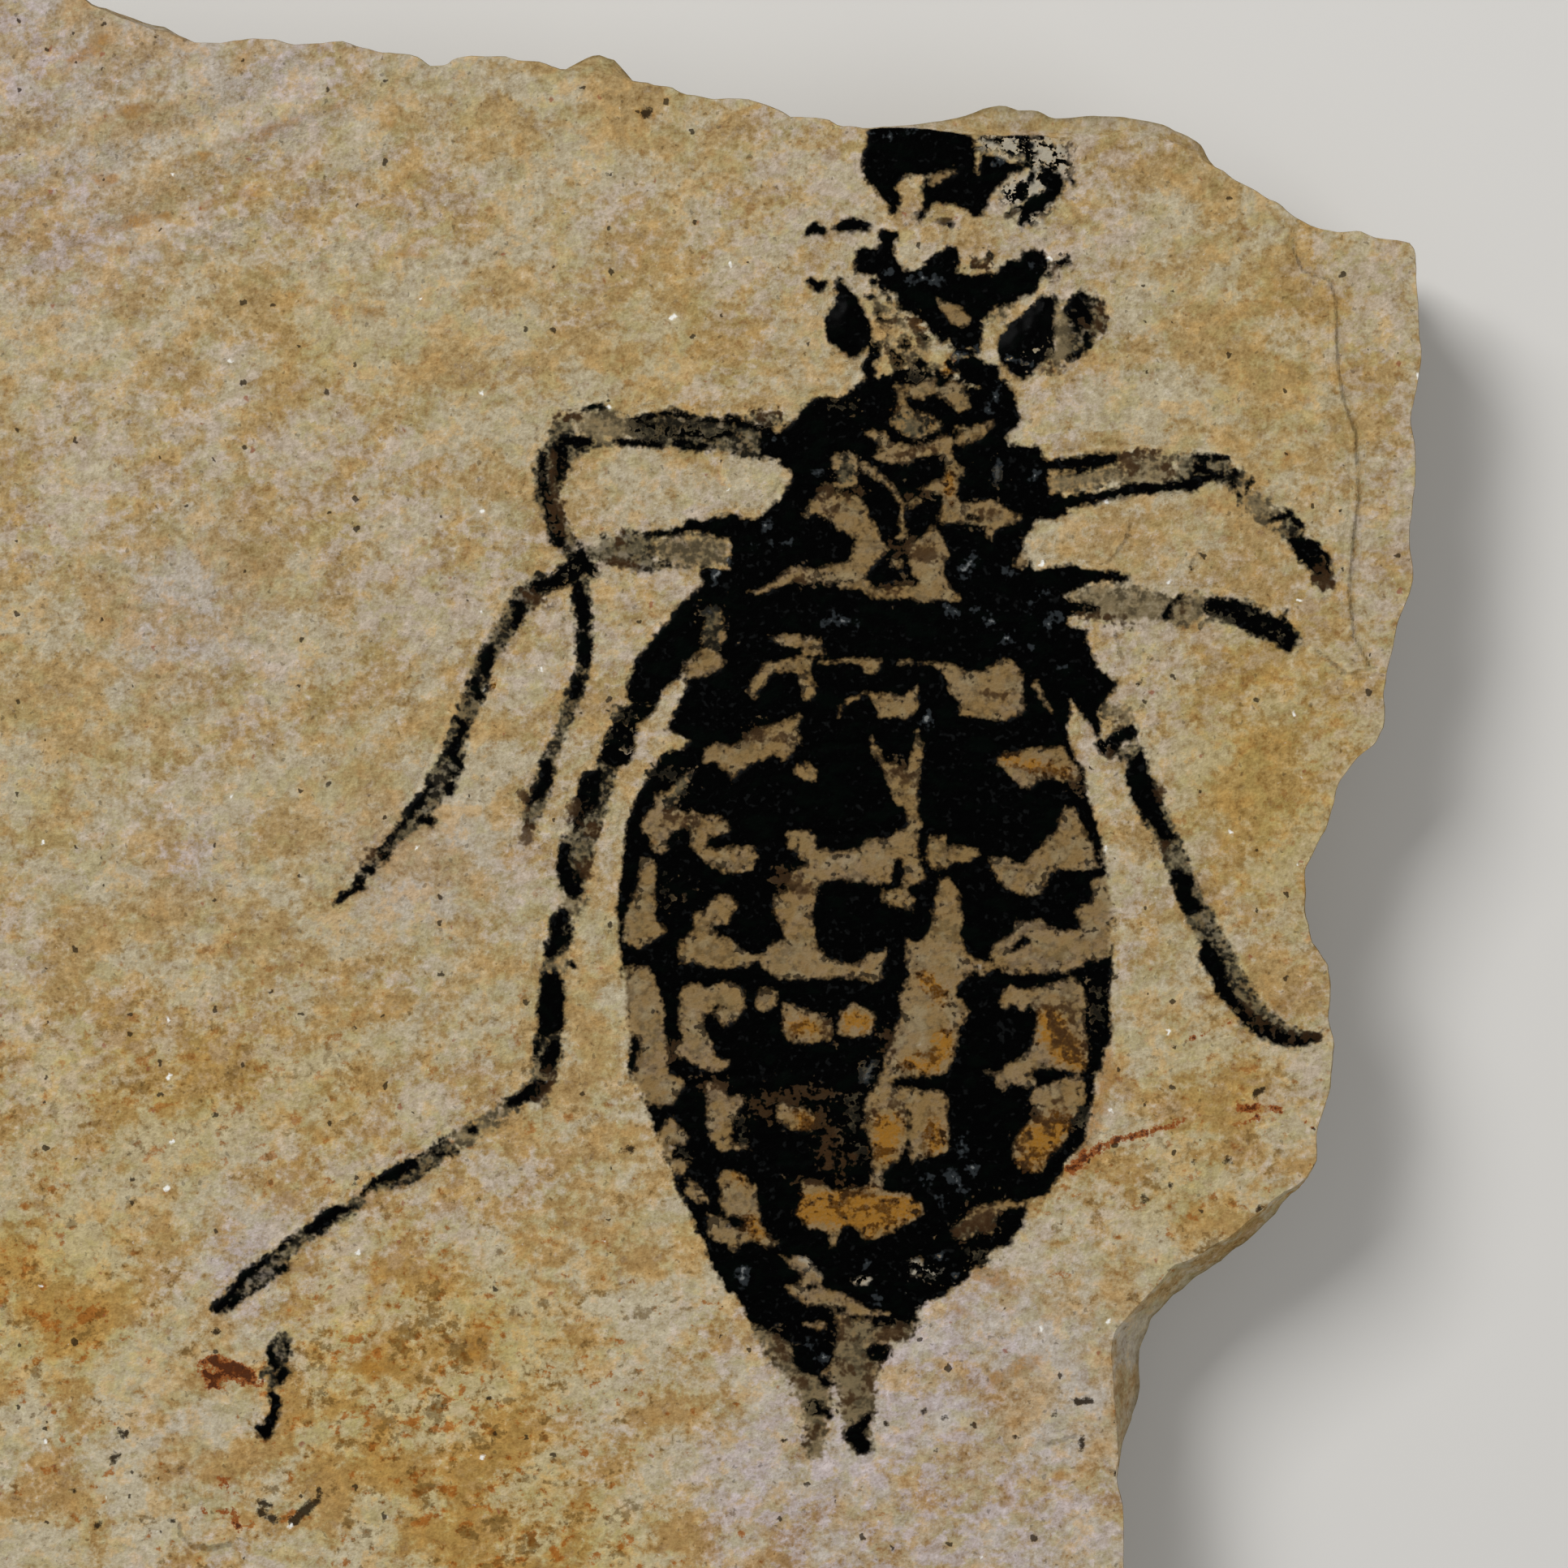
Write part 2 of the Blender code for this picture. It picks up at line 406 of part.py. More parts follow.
# The pockets in the stone, each a gap wider and a gap deeper than its film.
pockets = [grown(shape, GAP) for shape in (ABDOMEN, THORAX, HEAD, MASK, EYE_LEFT, EYE_RIGHT)]
pockets += [ribbon(path, GAP) for path in LEGS + TAILS + [HIND_CLAW]]
verts, triangles = flat_union(pockets)
pocket = thick("pocket_cutter", verts, triangles, lambda x, y: PLATE_TOP + 2.0, PLATE_TOP - FILM_DEPTH - GAP)
pocket.hide_render = True
pocket.display_type = "WIRE"
cut = slab.modifiers.new("pockets", "BOOLEAN")
cut.operation = "DIFFERENCE"
cut.solver = "EXACT"
cut.object = pocket

# The nymph: head, thorax, abdomen, tail points and all six legs in one film.
parts = [ABDOMEN, THORAX, HEAD] + [ribbon(path) for path in LEGS + TAILS]
inner = [(x, y) for path in LEGS + TAILS for x, y, width in path]
for shape in (ABDOMEN, THORAX, HEAD):
    inner += grown(shape, -FILM_SLOPE * 1.2)
for joint in RING_JOINTS:
    for k in range(-7, 8):
        x = middle_at(joint[0]) + joint[1] * k / 7.5
        inner += [(x, joint_y(joint, x) + shift) for shift in (-RING_SHOULDER, 0.0, RING_SHOULDER)]
paint(film("nymph", parts, body_relief, inner), FILM, 0.45)

# The mask ahead of the head, and the loose end of the left hind leg.
paint(film("labial_mask", [MASK], body_relief, grown(MASK, -FILM_SLOPE)), FILM, 0.4)
claw_line = [(x, y) for x, y, width in HIND_CLAW]
paint(film("hind_claw", [ribbon(HIND_CLAW)], body_relief, claw_line), FILM, 0.55)

# The two eyes.
for name, shape in (("eye_left", EYE_LEFT), ("eye_right", EYE_RIGHT)):
    middle = (sum(x for x, y in shape) / len(shape), sum(y for x, y in shape) / len(shape))
    paint(film(name, [shape], eye_relief, grown(shape, -0.35) + [middle]), EYE_FILM, 0.25)
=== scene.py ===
import math
import random

import bmesh
import bpy
import numpy as np
from mathutils import Matrix, Vector, noise


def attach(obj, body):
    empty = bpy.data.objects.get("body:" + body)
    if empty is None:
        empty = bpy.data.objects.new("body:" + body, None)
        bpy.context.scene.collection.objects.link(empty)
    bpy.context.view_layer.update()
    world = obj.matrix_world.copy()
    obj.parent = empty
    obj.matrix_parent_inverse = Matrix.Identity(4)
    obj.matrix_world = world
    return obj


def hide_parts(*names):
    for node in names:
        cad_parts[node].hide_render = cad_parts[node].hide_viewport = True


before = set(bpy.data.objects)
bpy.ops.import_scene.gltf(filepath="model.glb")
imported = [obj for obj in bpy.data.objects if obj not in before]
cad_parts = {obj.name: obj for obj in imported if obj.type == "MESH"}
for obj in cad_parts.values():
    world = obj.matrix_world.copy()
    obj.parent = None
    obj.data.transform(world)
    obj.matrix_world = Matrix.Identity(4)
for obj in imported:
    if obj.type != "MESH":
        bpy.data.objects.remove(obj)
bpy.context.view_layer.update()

# The plate: one broken slab of bedded limestone, laid flat on its back. Its top is a natural bedding
# plane with low ripples, its edge is rough fracture, and a thin flake has come off along the right
# margin. Places and sizes are in millimetres, seen from above.
MM = 0.001
PLATE_TOP = 7.7
WAVES = [(0.31, 0.17, 0.0), (0.13, -0.29, 2.3), (0.47, 0.41, 0.0)]
WAVE_HEIGHT = 0.05
WAVE_DROP = 2.0
RIPPLE_AT = (-17.0, 32.0)
RIPPLE_REACH = (9.0, 5.0)
RIPPLE_HEIGHT = 0.16
RIPPLE_RUN = (-0.99, 1.96)
FLAKE = [(30.2, 29.9), (30.2, 28.2), (30.6, 27.2), (31.8, 26.8), (32.1, 26.0), (32.2, 23.0), (32.5, 21.3),
         (33.0, 20.0), (33.1, 17.0), (32.9, 15.5), (32.7, 13.0), (32.9, 11.0), (33.6, 9.7), (34.6, 9.5)]
FLAKE_MARGIN = FLAKE + [(45.0, 9.5), (45.0, 45.0), (30.2, 45.0)]
FLAKE_DROP = 0.22
FLAKE_STEP = (-0.15, 0.2)
SLAB_PITCH = 0.3
SLAB_REACH = (36.6, 41.6)
UNDER_FILM = 0.25
FAR = 1.5

# The rim, clockwise from the top left corner: x, y, how far the broken side stands out past it, how deep
# that is. Where the edge is plain, only x and y are given.
PLAIN_EDGE = (0.1, 0.4)
HIDDEN_EDGE = (0.0, 0.4)
RIM_SEEN = [
    (-27.0, 41.0, 0.0, 0.4), (-24.8, 40.2), (-23.2, 39.1, 0.3, 1.0), (-21.9, 38.5, 0.5, 1.4),
    (-20.8, 38.1, 0.5, 1.4), (-19.9, 37.8, 0.6, 1.4), (-19.3, 37.6, 0.3, 0.8), (-18.6, 37.4),
    (-17.5, 37.35), (-16.2, 37.6), (-15.1, 37.55), (-14.2, 37.25), (-13.2, 37.35), (-11.9, 37.45),
    (-11.3, 37.2), (-10.5, 37.0), (-9.2, 36.9), (-8.6, 36.7), (-8.1, 36.35), (-7.4, 36.4), (-7.1, 36.75),
    (-6.5, 36.85), (-4.9, 36.8), (-3.4, 36.55), (-2.2, 36.2), (-1.6, 36.05, 0.6, 1.0),
    (-1.1, 36.0, 0.95, 1.0), (-0.55, 35.95, 1.05, 1.0), (0.0, 35.9, 0.95, 1.0), (0.4, 35.8, 0.6, 1.0),
    (0.9, 35.65), (1.9, 35.5), (2.6, 35.4), (3.3, 35.1), (4.3, 34.95), (6.0, 34.85), (6.8, 34.7),
    (7.5, 34.35), (7.9, 34.05), (8.9, 34.05), (9.6, 33.9), (10.1, 33.7), (11.2, 33.65), (12.4, 33.65),
    (13.4, 33.65, 0.2, 0.4), (14.3, 33.55, 0.45, 0.45), (15.2, 33.45, 0.8, 0.45), (15.9, 33.4, 1.3, 0.45),
    (16.7, 33.35, 1.55, 0.45), (17.5, 33.35, 1.35, 0.45), (18.3, 33.35, 1.3, 0.45), (19.1, 33.3, 0.9, 0.45),
    (20.0, 33.15, 1.2, 0.45), (21.0, 33.15, 1.25, 0.45), (21.9, 33.3, 1.1, 0.45), (22.7, 33.45, 0.8, 0.45),
    (23.6, 33.3, 0.75, 0.45), (24.5, 33.05, 0.75, 0.45), (25.3, 32.8, 0.65, 0.45), (25.9, 32.5, 0.5, 0.45),
    (26.3, 32.1, 0.3, 0.4), (26.8, 31.8), (27.9, 31.2), (28.9, 30.6), (30.0, 29.9), (30.8, 29.4),
    (31.5, 29.15), (32.3, 29.0), (33.2, 29.05), (34.0, 28.75), (35.0, 28.65), (35.55, 28.5), (35.75, 28.1),
    (35.8, 27.0), (35.8, 26.0), (35.9, 24.8), (35.9, 23.2), (35.75, 22.0), (35.5, 21.0), (35.6, 19.8),
    (35.75, 18.4), (35.6, 17.0), (35.45, 15.2), (35.6, 13.6), (35.5, 13.0), (35.1, 12.2), (34.8, 11.2),
    (34.6, 10.0), (34.3, 8.8), (34.25, 7.0), (33.85, 6.2), (33.1, 5.6), (32.4, 4.6), (32.0, 3.4),
    (31.7, 2.4), (31.2, 1.4), (30.8, 0.7), (30.75, -1.1), (31.1, -2.6), (31.8, -3.6), (31.9, -4.6),
    (31.85, -6.1), (32.05, -7.2), (31.95, -9.0), (31.4, -10.7), (31.2, -12.3), (30.9, -13.1, 0.2, 0.6),
    (29.9, -13.7, 0.5, 1.2), (28.6, -14.7, 0.95, 2.0), (27.5, -15.7, 1.0, 2.0), (26.3, -16.4, 1.2, 2.2),
    (25.0, -17.0, 1.4, 2.2), (24.2, -17.9, 1.2, 2.2), (23.3, -18.9, 1.2, 2.2), (22.4, -19.9, 1.7, 2.4),
    (22.2, -21.0, 2.1, 2.4), (22.3, -22.1, 1.8, 2.4), (22.3, -23.2, 1.3, 2.0), (22.4, -24.4, 0.6, 1.2),
    (22.5, -25.4, 0.2, 0.5), (22.4, -26.6), (22.7, -27.7), (22.7, -30.3),
]
# The part of the rim that lies outside the photograph.
RIM_HIDDEN = [
    (23.1, -33.0), (22.5, -35.5), (20.9, -37.8), (17.9, -39.2), (13.9, -40.0), (9.0, -40.5), (3.0, -41.0),
    (-3.0, -40.6), (-9.0, -40.8), (-15.0, -40.1), (-21.0, -39.2), (-26.0, -38.5), (-30.0, -36.3),
    (-32.7, -32.8), (-34.3, -28.0), (-35.1, -22.0), (-34.5, -15.0), (-35.3, -8.0), (-36.0, -1.0),
    (-35.2, 6.0), (-34.6, 13.0), (-35.1, 20.0), (-35.7, 27.0), (-35.0, 33.0), (-33.3, 37.5),
    (-30.4, 40.0),
]
RIM = [(spot + PLAIN_EDGE)[:4] for spot in RIM_SEEN] + [spot + HIDDEN_EDGE for spot in RIM_HIDDEN]
# Rings down the broken side: share of the height, and how far back from the foot the bed lies there. The
# first few only round the lip.
LIP_RINGS = 3
BEDS = [(1.0, 0.0)] * LIP_RINGS + [
    (1.0, 0.0), (0.95, 0.05), (0.88, 0.1), (0.8, 0.08), (0.71, 0.18), (0.63, 0.15), (0.6, 0.45),
    (0.52, 0.5), (0.43, 0.38), (0.34, 0.33), (0.3, 0.6), (0.22, 0.62), (0.12, 0.75), (0.05, 0.82),
    (0.0, 0.95),
]
CHIP_PITCH = 0.35
CHIP_NOISE = 1.1
CHIP_SWING = 0.11
CHIP_BITE = 0.07
CHIP_CHANCE = 0.05

chance = random.Random(11)


def segments(line, closed):
    """The straight pieces of a line of points, as a list of starts and ends."""
    ends = line[1:] + line[:1] if closed else line[1:]
    return list(zip(line, ends))


def near_segment(places, a, b):
    """Distance from each place to one straight piece, and how far along it the nearest point is."""
    run = np.array([b[0] - a[0], b[1] - a[1]])
    away = places - np.array(a[:2])
    along = np.clip(away @ run / max(run @ run, 1e-12), 0.0, 1.0)
    return np.hypot(*(away - along[:, None] * run).T), along


def close_to(places, marks):
    """Which places lie near enough to some points to be worth measuring."""
    spots = np.array(marks)[:, :2]
    return np.all((places > spots.min(0) - FAR) & (places < spots.max(0) + FAR), axis=1)


def depth_in(places, outline):
    """How deep each place lies inside a closed outline in millimetres, negative outside."""
    depth = np.full(len(places), -FAR)
    close = close_to(places, outline)
    if not close.any():
        return depth
    some = places[close]
    nearest = np.full(len(some), np.inf)
    within = np.zeros(len(some), bool)
    for a, b in segments(outline, True):
        nearest = np.minimum(nearest, near_segment(some, a, b)[0])
        if a[1] != b[1]:
            crosses = (a[1] > some[:, 1]) != (b[1] > some[:, 1])
            within ^= crosses & (some[:, 0] < a[0] + (b[0] - a[0]) * (some[:, 1] - a[1]) / (b[1] - a[1]))
    depth[close] = np.maximum(np.where(within, nearest, -nearest), -FAR)
    return depth


def depth_in_stroke(places, line):
    """How deep each place lies inside a stroke of varying width: x, y, width at each point."""
    depth = np.full(len(places), -FAR)
    close = close_to(places, line)
    if not close.any():
        return depth
    some = places[close]
    best = np.full(len(some), -FAR)
    for a, b in segments(line, False) or [(line[0], line[0])]:
        distance, along = near_segment(some, a, b)
        best = np.maximum(best, (a[2] + (b[2] - a[2]) * along) / 2 - distance)
    depth[close] = best
    return depth


def deepest(places, outlines, strokes=()):
    """The greatest depth inside any of several outlines and strokes."""
    depth = np.full(len(places), -FAR)
    for outline in outlines:
        depth = np.maximum(depth, depth_in(places, outline))
    for line in strokes:
        depth = np.maximum(depth, depth_in_stroke(places, line))
    return depth


def ease(values, low, high):
    """0 below low, 1 above high and a smooth step between."""
    t = np.clip((values - low) / (high - low), 0.0, 1.0)
    return t * t * (3.0 - 2.0 * t)


def bedding(places):
    """Height of the bedding plane in millimetres at each place."""
    x, y = places.T
    level = PLATE_TOP + WAVE_HEIGHT * (sum(np.sin(a * x + b * y + c) for a, b, c in WAVES) - WAVE_DROP)
    dx, dy = x - RIPPLE_AT[0], y - RIPPLE_AT[1]
    near = np.exp(-((dx / RIPPLE_REACH[0]) ** 2 + (dy / RIPPLE_REACH[1]) ** 2))
    level += RIPPLE_HEIGHT * near * np.sin(RIPPLE_RUN[0] * dx + RIPPLE_RUN[1] * dy)
    return level - FLAKE_DROP * ease(depth_in(places, FLAKE_MARGIN), *FLAKE_STEP)


def chipped(rim):
    """The rim with small chips added between its points."""
    points = []
    for here, after in segments(rim, True):
        pieces = max(1, round(math.hypot(after[0] - here[0], after[1] - here[1]) / CHIP_PITCH))
        for k in range(pieces):
            x, y, foot, drop = (p + (q - p) * k / pieces for p, q in zip(here, after))
            bite = noise.noise((x * CHIP_NOISE, y * CHIP_NOISE, 4.0)) * CHIP_SWING + CHIP_BITE
            left = 1 - (bite + chance.uniform(0.0, CHIP_CHANCE)) / math.hypot(x, y)
            points.append((x * left, y * left, foot, drop))
    return points


def lattice(low, high, pitch):
    """A flat grid of square cells from low to high, on one lattice that all pieces share."""
    start = [math.floor(v / pitch) for v in low]
    count = [math.ceil(v / pitch) - s for v, s in zip(high, start)]
    middle = [(s + c / 2) * pitch for s, c in zip(start, count)]
    flat = bmesh.new()
    bmesh.ops.create_grid(flat, x_segments=count[0], y_segments=count[1], size=0.5)
    size = Matrix.Diagonal((count[0] * pitch, count[1] * pitch, 1.0, 1.0))
    bmesh.ops.transform(flat, matrix=Matrix.Translation((*middle, 0.0)) @ size, verts=flat.verts)
    return flat


def places_of(corners):
    """Plan places of some corners, in millimetres."""
    return np.array([v.co[:2] for v in corners])


def keep_cells(flat, *worths):
    """Keep the cells whose corners' average worth is positive, but none that hangs by one corner."""
    flat.verts.ensure_lookup_table()
    poor = [f for f in flat.faces if any(sum(worth[v.index] for v in f.verts) <= 0.0 for worth in worths)]
    bmesh.ops.delete(flat, geom=poor, context="FACES")
    while True:
        pinched = [v for v in flat.verts if sum(e.is_boundary for e in v.link_edges) > 2]
        if not pinched:
            return
        hanging = {min(v.link_faces, key=lambda f: f.index) for v in pinched}
        bmesh.ops.delete(flat, geom=sorted(hanging, key=lambda f: f.index), context="FACES")


def finished(flat, name):
    """Turn a bmesh into an object of the scene."""
    mesh = bpy.data.meshes.new(name)
    flat.to_mesh(mesh)
    flat.free()
    made = bpy.data.objects.new(name, mesh)
    bpy.context.scene.collection.objects.link(made)
    return made


def closed_below(flat, rings, name):
    """Carry a sheet's open edge down through numbered rings, close the bottom and make it an object."""
    label = flat.verts.layers.int.new("ring")
    edge = [e for e in flat.edges if e.is_boundary]
    for ring in range(1, rings + 1):
        made = bmesh.ops.extrude_edge_only(flat, edges=edge)["geom"]
        for v in made:
            if isinstance(v, bmesh.types.BMVert):
                v[label] = ring
                v.co.z = -ring
        edge = [e for e in made if isinstance(e, bmesh.types.BMEdge) and e.is_boundary]
    bmesh.ops.triangle_fill(flat, use_beauty=True, use_dissolve=False, edges=edge)
    bmesh.ops.recalc_face_normals(flat, faces=flat.faces)
    return finished(flat, name)


def read_mesh(mesh):
    """A mesh's corners, their places in plan and the ring that each is on."""
    ring = np.empty(len(mesh.vertices), np.int32)
    mesh.attributes["ring"].data.foreach_get("value", ring)
    mesh.attributes.remove(mesh.attributes["ring"])
    corners = np.empty(len(mesh.vertices) * 3)
    mesh.vertices.foreach_get("co", corners)
    corners = corners.reshape(-1, 3)
    return corners, corners[:, :2].copy(), ring


def set_places(mesh, corners):
    """Put a mesh's corners where an array in millimetres says, in metres."""
    mesh.vertices.foreach_set("co", (corners * MM).ravel())
    mesh.update()


def dress(mesh, fields, crease, material):
    """Give a mesh its material and the fields that it reads, and smooth the mesh except at creases."""
    for name, values in fields.items():
        layer = mesh.attributes.new(name, "FLOAT", "POINT")
        layer.data.foreach_set("value", values.astype(np.float32))
    mesh.polygons.foreach_set("use_smooth", np.ones(len(mesh.polygons), bool))
    mesh.set_sharp_from_angle(angle=crease)
    mesh.materials.append(material)


def wobble(places, size, height, start):
    """Smooth unevenness at each place."""
    return np.array([noise.noise((x / size, y / size, z / size + start)) * height for x, y, z in places])


def shade(red, green, blue):
    """A colour as it looks in plain light, out of 255, as the shader wants it."""
    parts = [v / 255 for v in (red, green, blue)]
    return tuple(((v + 0.055) / 1.055) ** 2.4 if v > 0.0405 else v / 12.92 for v in parts) + (1.0,)


def put(tree, kind, values=None, **settings):
    """Add one node, with its settings and what goes into its inputs."""
    made = tree.nodes.new(kind)
    for name, value in settings.items():
        setattr(made, name, value)
    for name, value in (values or {}).items():
        if isinstance(value, bpy.types.NodeSocket):
            tree.links.new(value, made.inputs[name])
        else:
            made.inputs[name].default_value = value
    return made


def home(*values):
    """The shader tree that some values belong to."""
    return next(v.id_data for v in values if isinstance(v, bpy.types.NodeSocket))


def link(value, socket):
    """Feed a value to a socket."""
    home(value).links.new(value, socket)


def sums(operation, first, second=0.0, third=0.0):
    """One sum on one to three values."""
    given = {0: first, 1: second, 2: third}
    return put(home(first, second, third), "ShaderNodeMath", given, operation=operation).outputs[0]


def plus(first, second):
    """Two values added up."""
    return sums("ADD", first, second)


def times(first, second):
    """One value times another, or one mask within another."""
    return sums("MULTIPLY", first, second)


def scaled(value, factor, added):
    """A value times a factor, with something added."""
    return sums("MULTIPLY_ADD", value, factor, added)


def step(value, low, high, bottom=0.0, top=1.0):
    """A smooth step of a value from bottom to top."""
    given = {"Value": value, "From Min": low, "From Max": high, "To Min": bottom, "To Max": top}
    made = put(home(value), "ShaderNodeMapRange", given, interpolation_type="SMOOTHSTEP")
    return made.outputs["Result"]


def blend(share, under, over, kind="MIX"):
    """Lay one colour over another."""
    given = {0: share, 6: under, 7: over}
    made = put(home(share, under, over), "ShaderNodeMix", given, data_type="RGBA", blend_type=kind)
    return made.outputs[2]


def cloudy(vector, scale, detail=2.0, roughness=0.5):
    """Cloudy noise, most of it between 0.3 and 0.7."""
    given = {"Vector": vector, "Scale": scale, "Detail": detail, "Roughness": roughness}
    return put(home(vector), "ShaderNodeTexNoise", given).outputs["Fac"]


def moved(vector, shift=(0.0, 0.0, 0.0), turn=0.0, size=(1.0, 1.0, 1.0)):
    """A pattern's place, shifted, turned by an angle and stretched."""
    given = {"Vector": vector, "Rotation": (0.0, 0.0, turn), "Scale": size, "Location": shift}
    return put(home(vector), "ShaderNodeMapping", given).outputs[0]


def in_millimetres(place):
    """A place in metres, in millimetres."""
    given = {0: place, 1: (1000, 1000, 1000)}
    return put(home(place), "ShaderNodeVectorMath", given, operation="MULTIPLY").outputs[0]


def new_group(name, vectors, colours, numbers, outputs):
    """An empty shader node group with named inputs and outputs."""
    group = bpy.data.node_groups.new(name, "ShaderNodeTree")
    for kind, names in (("Vector", vectors), ("Color", colours), ("Float", numbers)):
        for socket in names:
            group.interface.new_socket(socket, in_out="INPUT", socket_type="NodeSocket" + kind)
    for socket, kind in outputs.items():
        group.interface.new_socket(socket, in_out="OUTPUT", socket_type="NodeSocket" + kind)
    return group, group.nodes.new("NodeGroupInput").outputs, group.nodes.new("NodeGroupOutput").inputs


# The stone's look: beige and lilac patches, sandy and mossy spots, ochre stains that thicken towards the
# foot of the plate, dark grains, a few white sparks painted as glints of light, and painted light towards
# the foot.
TAN = shade(173, 150, 106)
BEIGE = shade(175, 162, 132)
LILAC = shade(174, 158, 138)
MOSS = shade(158, 145, 98)
SAND = shade(174, 140, 87)
PALE = shade(192, 181, 158)
HONEY = shade(160, 121, 64)
ORANGE = shade(156, 96, 40)
AMBER = shade(150, 108, 50)
OLIVE = shade(100, 78, 42)
UMBER = shade(44, 33, 21)
RUBY = shade(140, 78, 54)
GLINT = shade(240, 238, 230)
RUST = shade(140, 78, 36)
RUST_DARK = shade(70, 28, 12)
FRACTURE = shade(119, 106, 72)
DARKENED = (0.52, 0.42, 0.27, 1.0)
LIGHTENED = (1.48, 1.57, 1.78, 1.0)
WARM_CAST = (0.99, 0.93, 0.7, 1.0)
COOL_CAST = (0.98, 1.0, 1.22, 1.0)
SMEAR_TURN = -0.22
SMEAR_SIZE = (0.82, 1.06, 1.0)
SOUTH_FROM = 8.0
SOUTH_TO = -26.0
WARM_SPREAD = -0.07
SHAKE = (0.42, 0.42, 0.0)
FLECK_EDGE = 0.02
FLECK_LEAST = 0.35
FLECK_SPREAD = 0.8
STONE_ROUGH = 0.86
SPARK_ROUGH = 0.35

limestone, given, out = new_group(
    "bedded_limestone", ["Place"], [], ["Stain", "Warm", "Rust", "Fracture", "Crack"],
    {"Colour": "Color", "Roughness": "Float", "Height": "Float"})
grain_place = in_millimetres(given["Place"])
smeared = moved(moved(grain_place, turn=SMEAR_TURN), size=SMEAR_SIZE)
south = put(limestone, "ShaderNodeSeparateXYZ", {"Vector": grain_place}).outputs["Y"]
south = step(south, SOUTH_FROM, SOUTH_TO)


def layer(under, shift, scale, detail=4.0, roughness=0.62):
    """One cloudy layer of the stone's colour, on its own part of the noise."""
    return cloudy(moved(under, shift), scale, detail, roughness)


wide = layer(smeared, (0, 0, 0), 0.11, 2.0, 0.5)
patch = layer(smeared, (31, 7, 3), 0.36)
spotty = layer(grain_place, (-17, 23, 9), 1.0)
dabs = layer(smeared, (52, -40, 6), 1.3)
smudges = layer(smeared, (-71, 15, 12), 0.9)
grain = layer(grain_place, (5, -9, 1), 2.3, 4.0, 0.68)
dust = cloudy(grain_place, 7.0, 1.0)
flecked = scaled(grain, 0.35, -0.175)
warmer = times(given["Warm"], WARM_SPREAD)


def lay(share, over, top=1.0):
    """Lay a colour over the stone so far."""
    return blend(times(share, top), colour, over)


def patches(pattern, low, high, unrest=1.0):
    """Where one cloudy layer passes a level, with a flecked edge."""
    return step(scaled(flecked, unrest, pattern), low, high)


def ochre(pattern, low, high, unrest, growth, least):
    """Patches that spread where the stone is warm and grow stronger towards the foot of the plate."""
    return times(patches(plus(pattern, warmer), low, high, unrest), scaled(south, growth, least))


def scattered(shift, scale, share, radius):
    """Flecks on the bedding plane: share is how many of the cells have one, radius is in cells."""
    there = {"Vector": moved(shaken, shift), "Scale": scale}
    cells = put(limestone, "ShaderNodeTexVoronoi", there, voronoi_dimensions="2D").outputs
    drawn = put(limestone, "ShaderNodeSeparateColor", {"Color": cells["Color"]}).outputs
    size = times(plus(times(drawn["Green"], FLECK_SPREAD), FLECK_LEAST), radius)
    size = times(size, sums("LESS_THAN", drawn["Red"], share))
    return times(step(sums("SUBTRACT", size, cells["Distance"]), -FLECK_EDGE, FLECK_EDGE), on_top)


colour = blend(patches(patch, 0.43, 0.57), TAN, BEIGE)
colour = lay(patches(spotty, 0.5, 0.62), SAND, 0.65)
colour = lay(patches(smudges, 0.5, 0.62), MOSS, 0.55)
colour = lay(times(patches(dabs, 0.46, 0.6), patches(wide, 0.46, 0.58)), LILAC, 0.8)
colour = lay(patches(spotty, 0.4, 0.3), PALE, 0.7)
colour = lay(ochre(patch, 0.5, 0.38, 1.4, 0.42, 0.18), HONEY)
colour = lay(ochre(dabs, 0.36, 0.27, 1.5, 0.7, 0.3), ORANGE, 0.85)
colour = lay(times(given["Stain"], step(grain, 0.38, 0.56, 0.35, 1.0)), AMBER, 0.8)
colour = lay(ochre(smudges, 0.37, 0.29, 1.5, 0.8, 0.2), OLIVE, 0.6)
colour = lay(given["Fracture"], FRACTURE, 0.8)
# The tone follows the grain and dust; the south term is painted light, a little lighter towards the foot of
# the plate.
tone = scaled(dust, 0.5, scaled(south, 0.08, -1.15))
for pattern, strength in ((grain, 1.5), (patch, 0.55), (spotty, 0.75)):
    tone = scaled(pattern, strength, tone)
colour = blend(1.0, colour, blend(tone, DARKENED, LIGHTENED), "MULTIPLY")
for cast, end in ((WARM_CAST, 1.0), (COOL_CAST, -1.0)):
    colour = blend(step(given["Warm"], 0.0, end), colour, cast, "MULTIPLY")
rusty = blend(step(plus(given["Rust"], grain), 1.25, 1.5), RUST, RUST_DARK)
colour = lay(step(given["Rust"], 0.0, 0.5), rusty, 0.95)
swirl = put(limestone, "ShaderNodeTexNoise", {"Vector": grain_place, "Scale": 3.6, "Detail": 2.0})
nudged = {0: swirl.outputs["Color"], 1: SHAKE, 2: grain_place}
shaken = put(limestone, "ShaderNodeVectorMath", nudged, operation="MULTIPLY_ADD").outputs[0]
on_top = sums("SUBTRACT", 1.0, given["Fracture"])
colour = lay(scattered((7, 3, 0), 1.6, 0.3, 0.12), UMBER, 0.4)
colour = lay(scattered((-4, 9, 0), 0.45, 0.15, 0.045), RUBY, 0.7)
colour = lay(scattered((0, 0, 0), 0.8, 0.11, 0.1), UMBER, 0.85)
colour = lay(given["Crack"], UMBER)
# White sparks on the stone: glints of light painted as colour, on a smoother surface.
painted_glints = scattered((3, 5, 0), 0.36, 0.12, 0.035)
link(blend(painted_glints, colour, GLINT), out["Colour"])
link(step(painted_glints, 0.0, 1.0, STONE_ROUGH, SPARK_ROUGH), out["Roughness"])
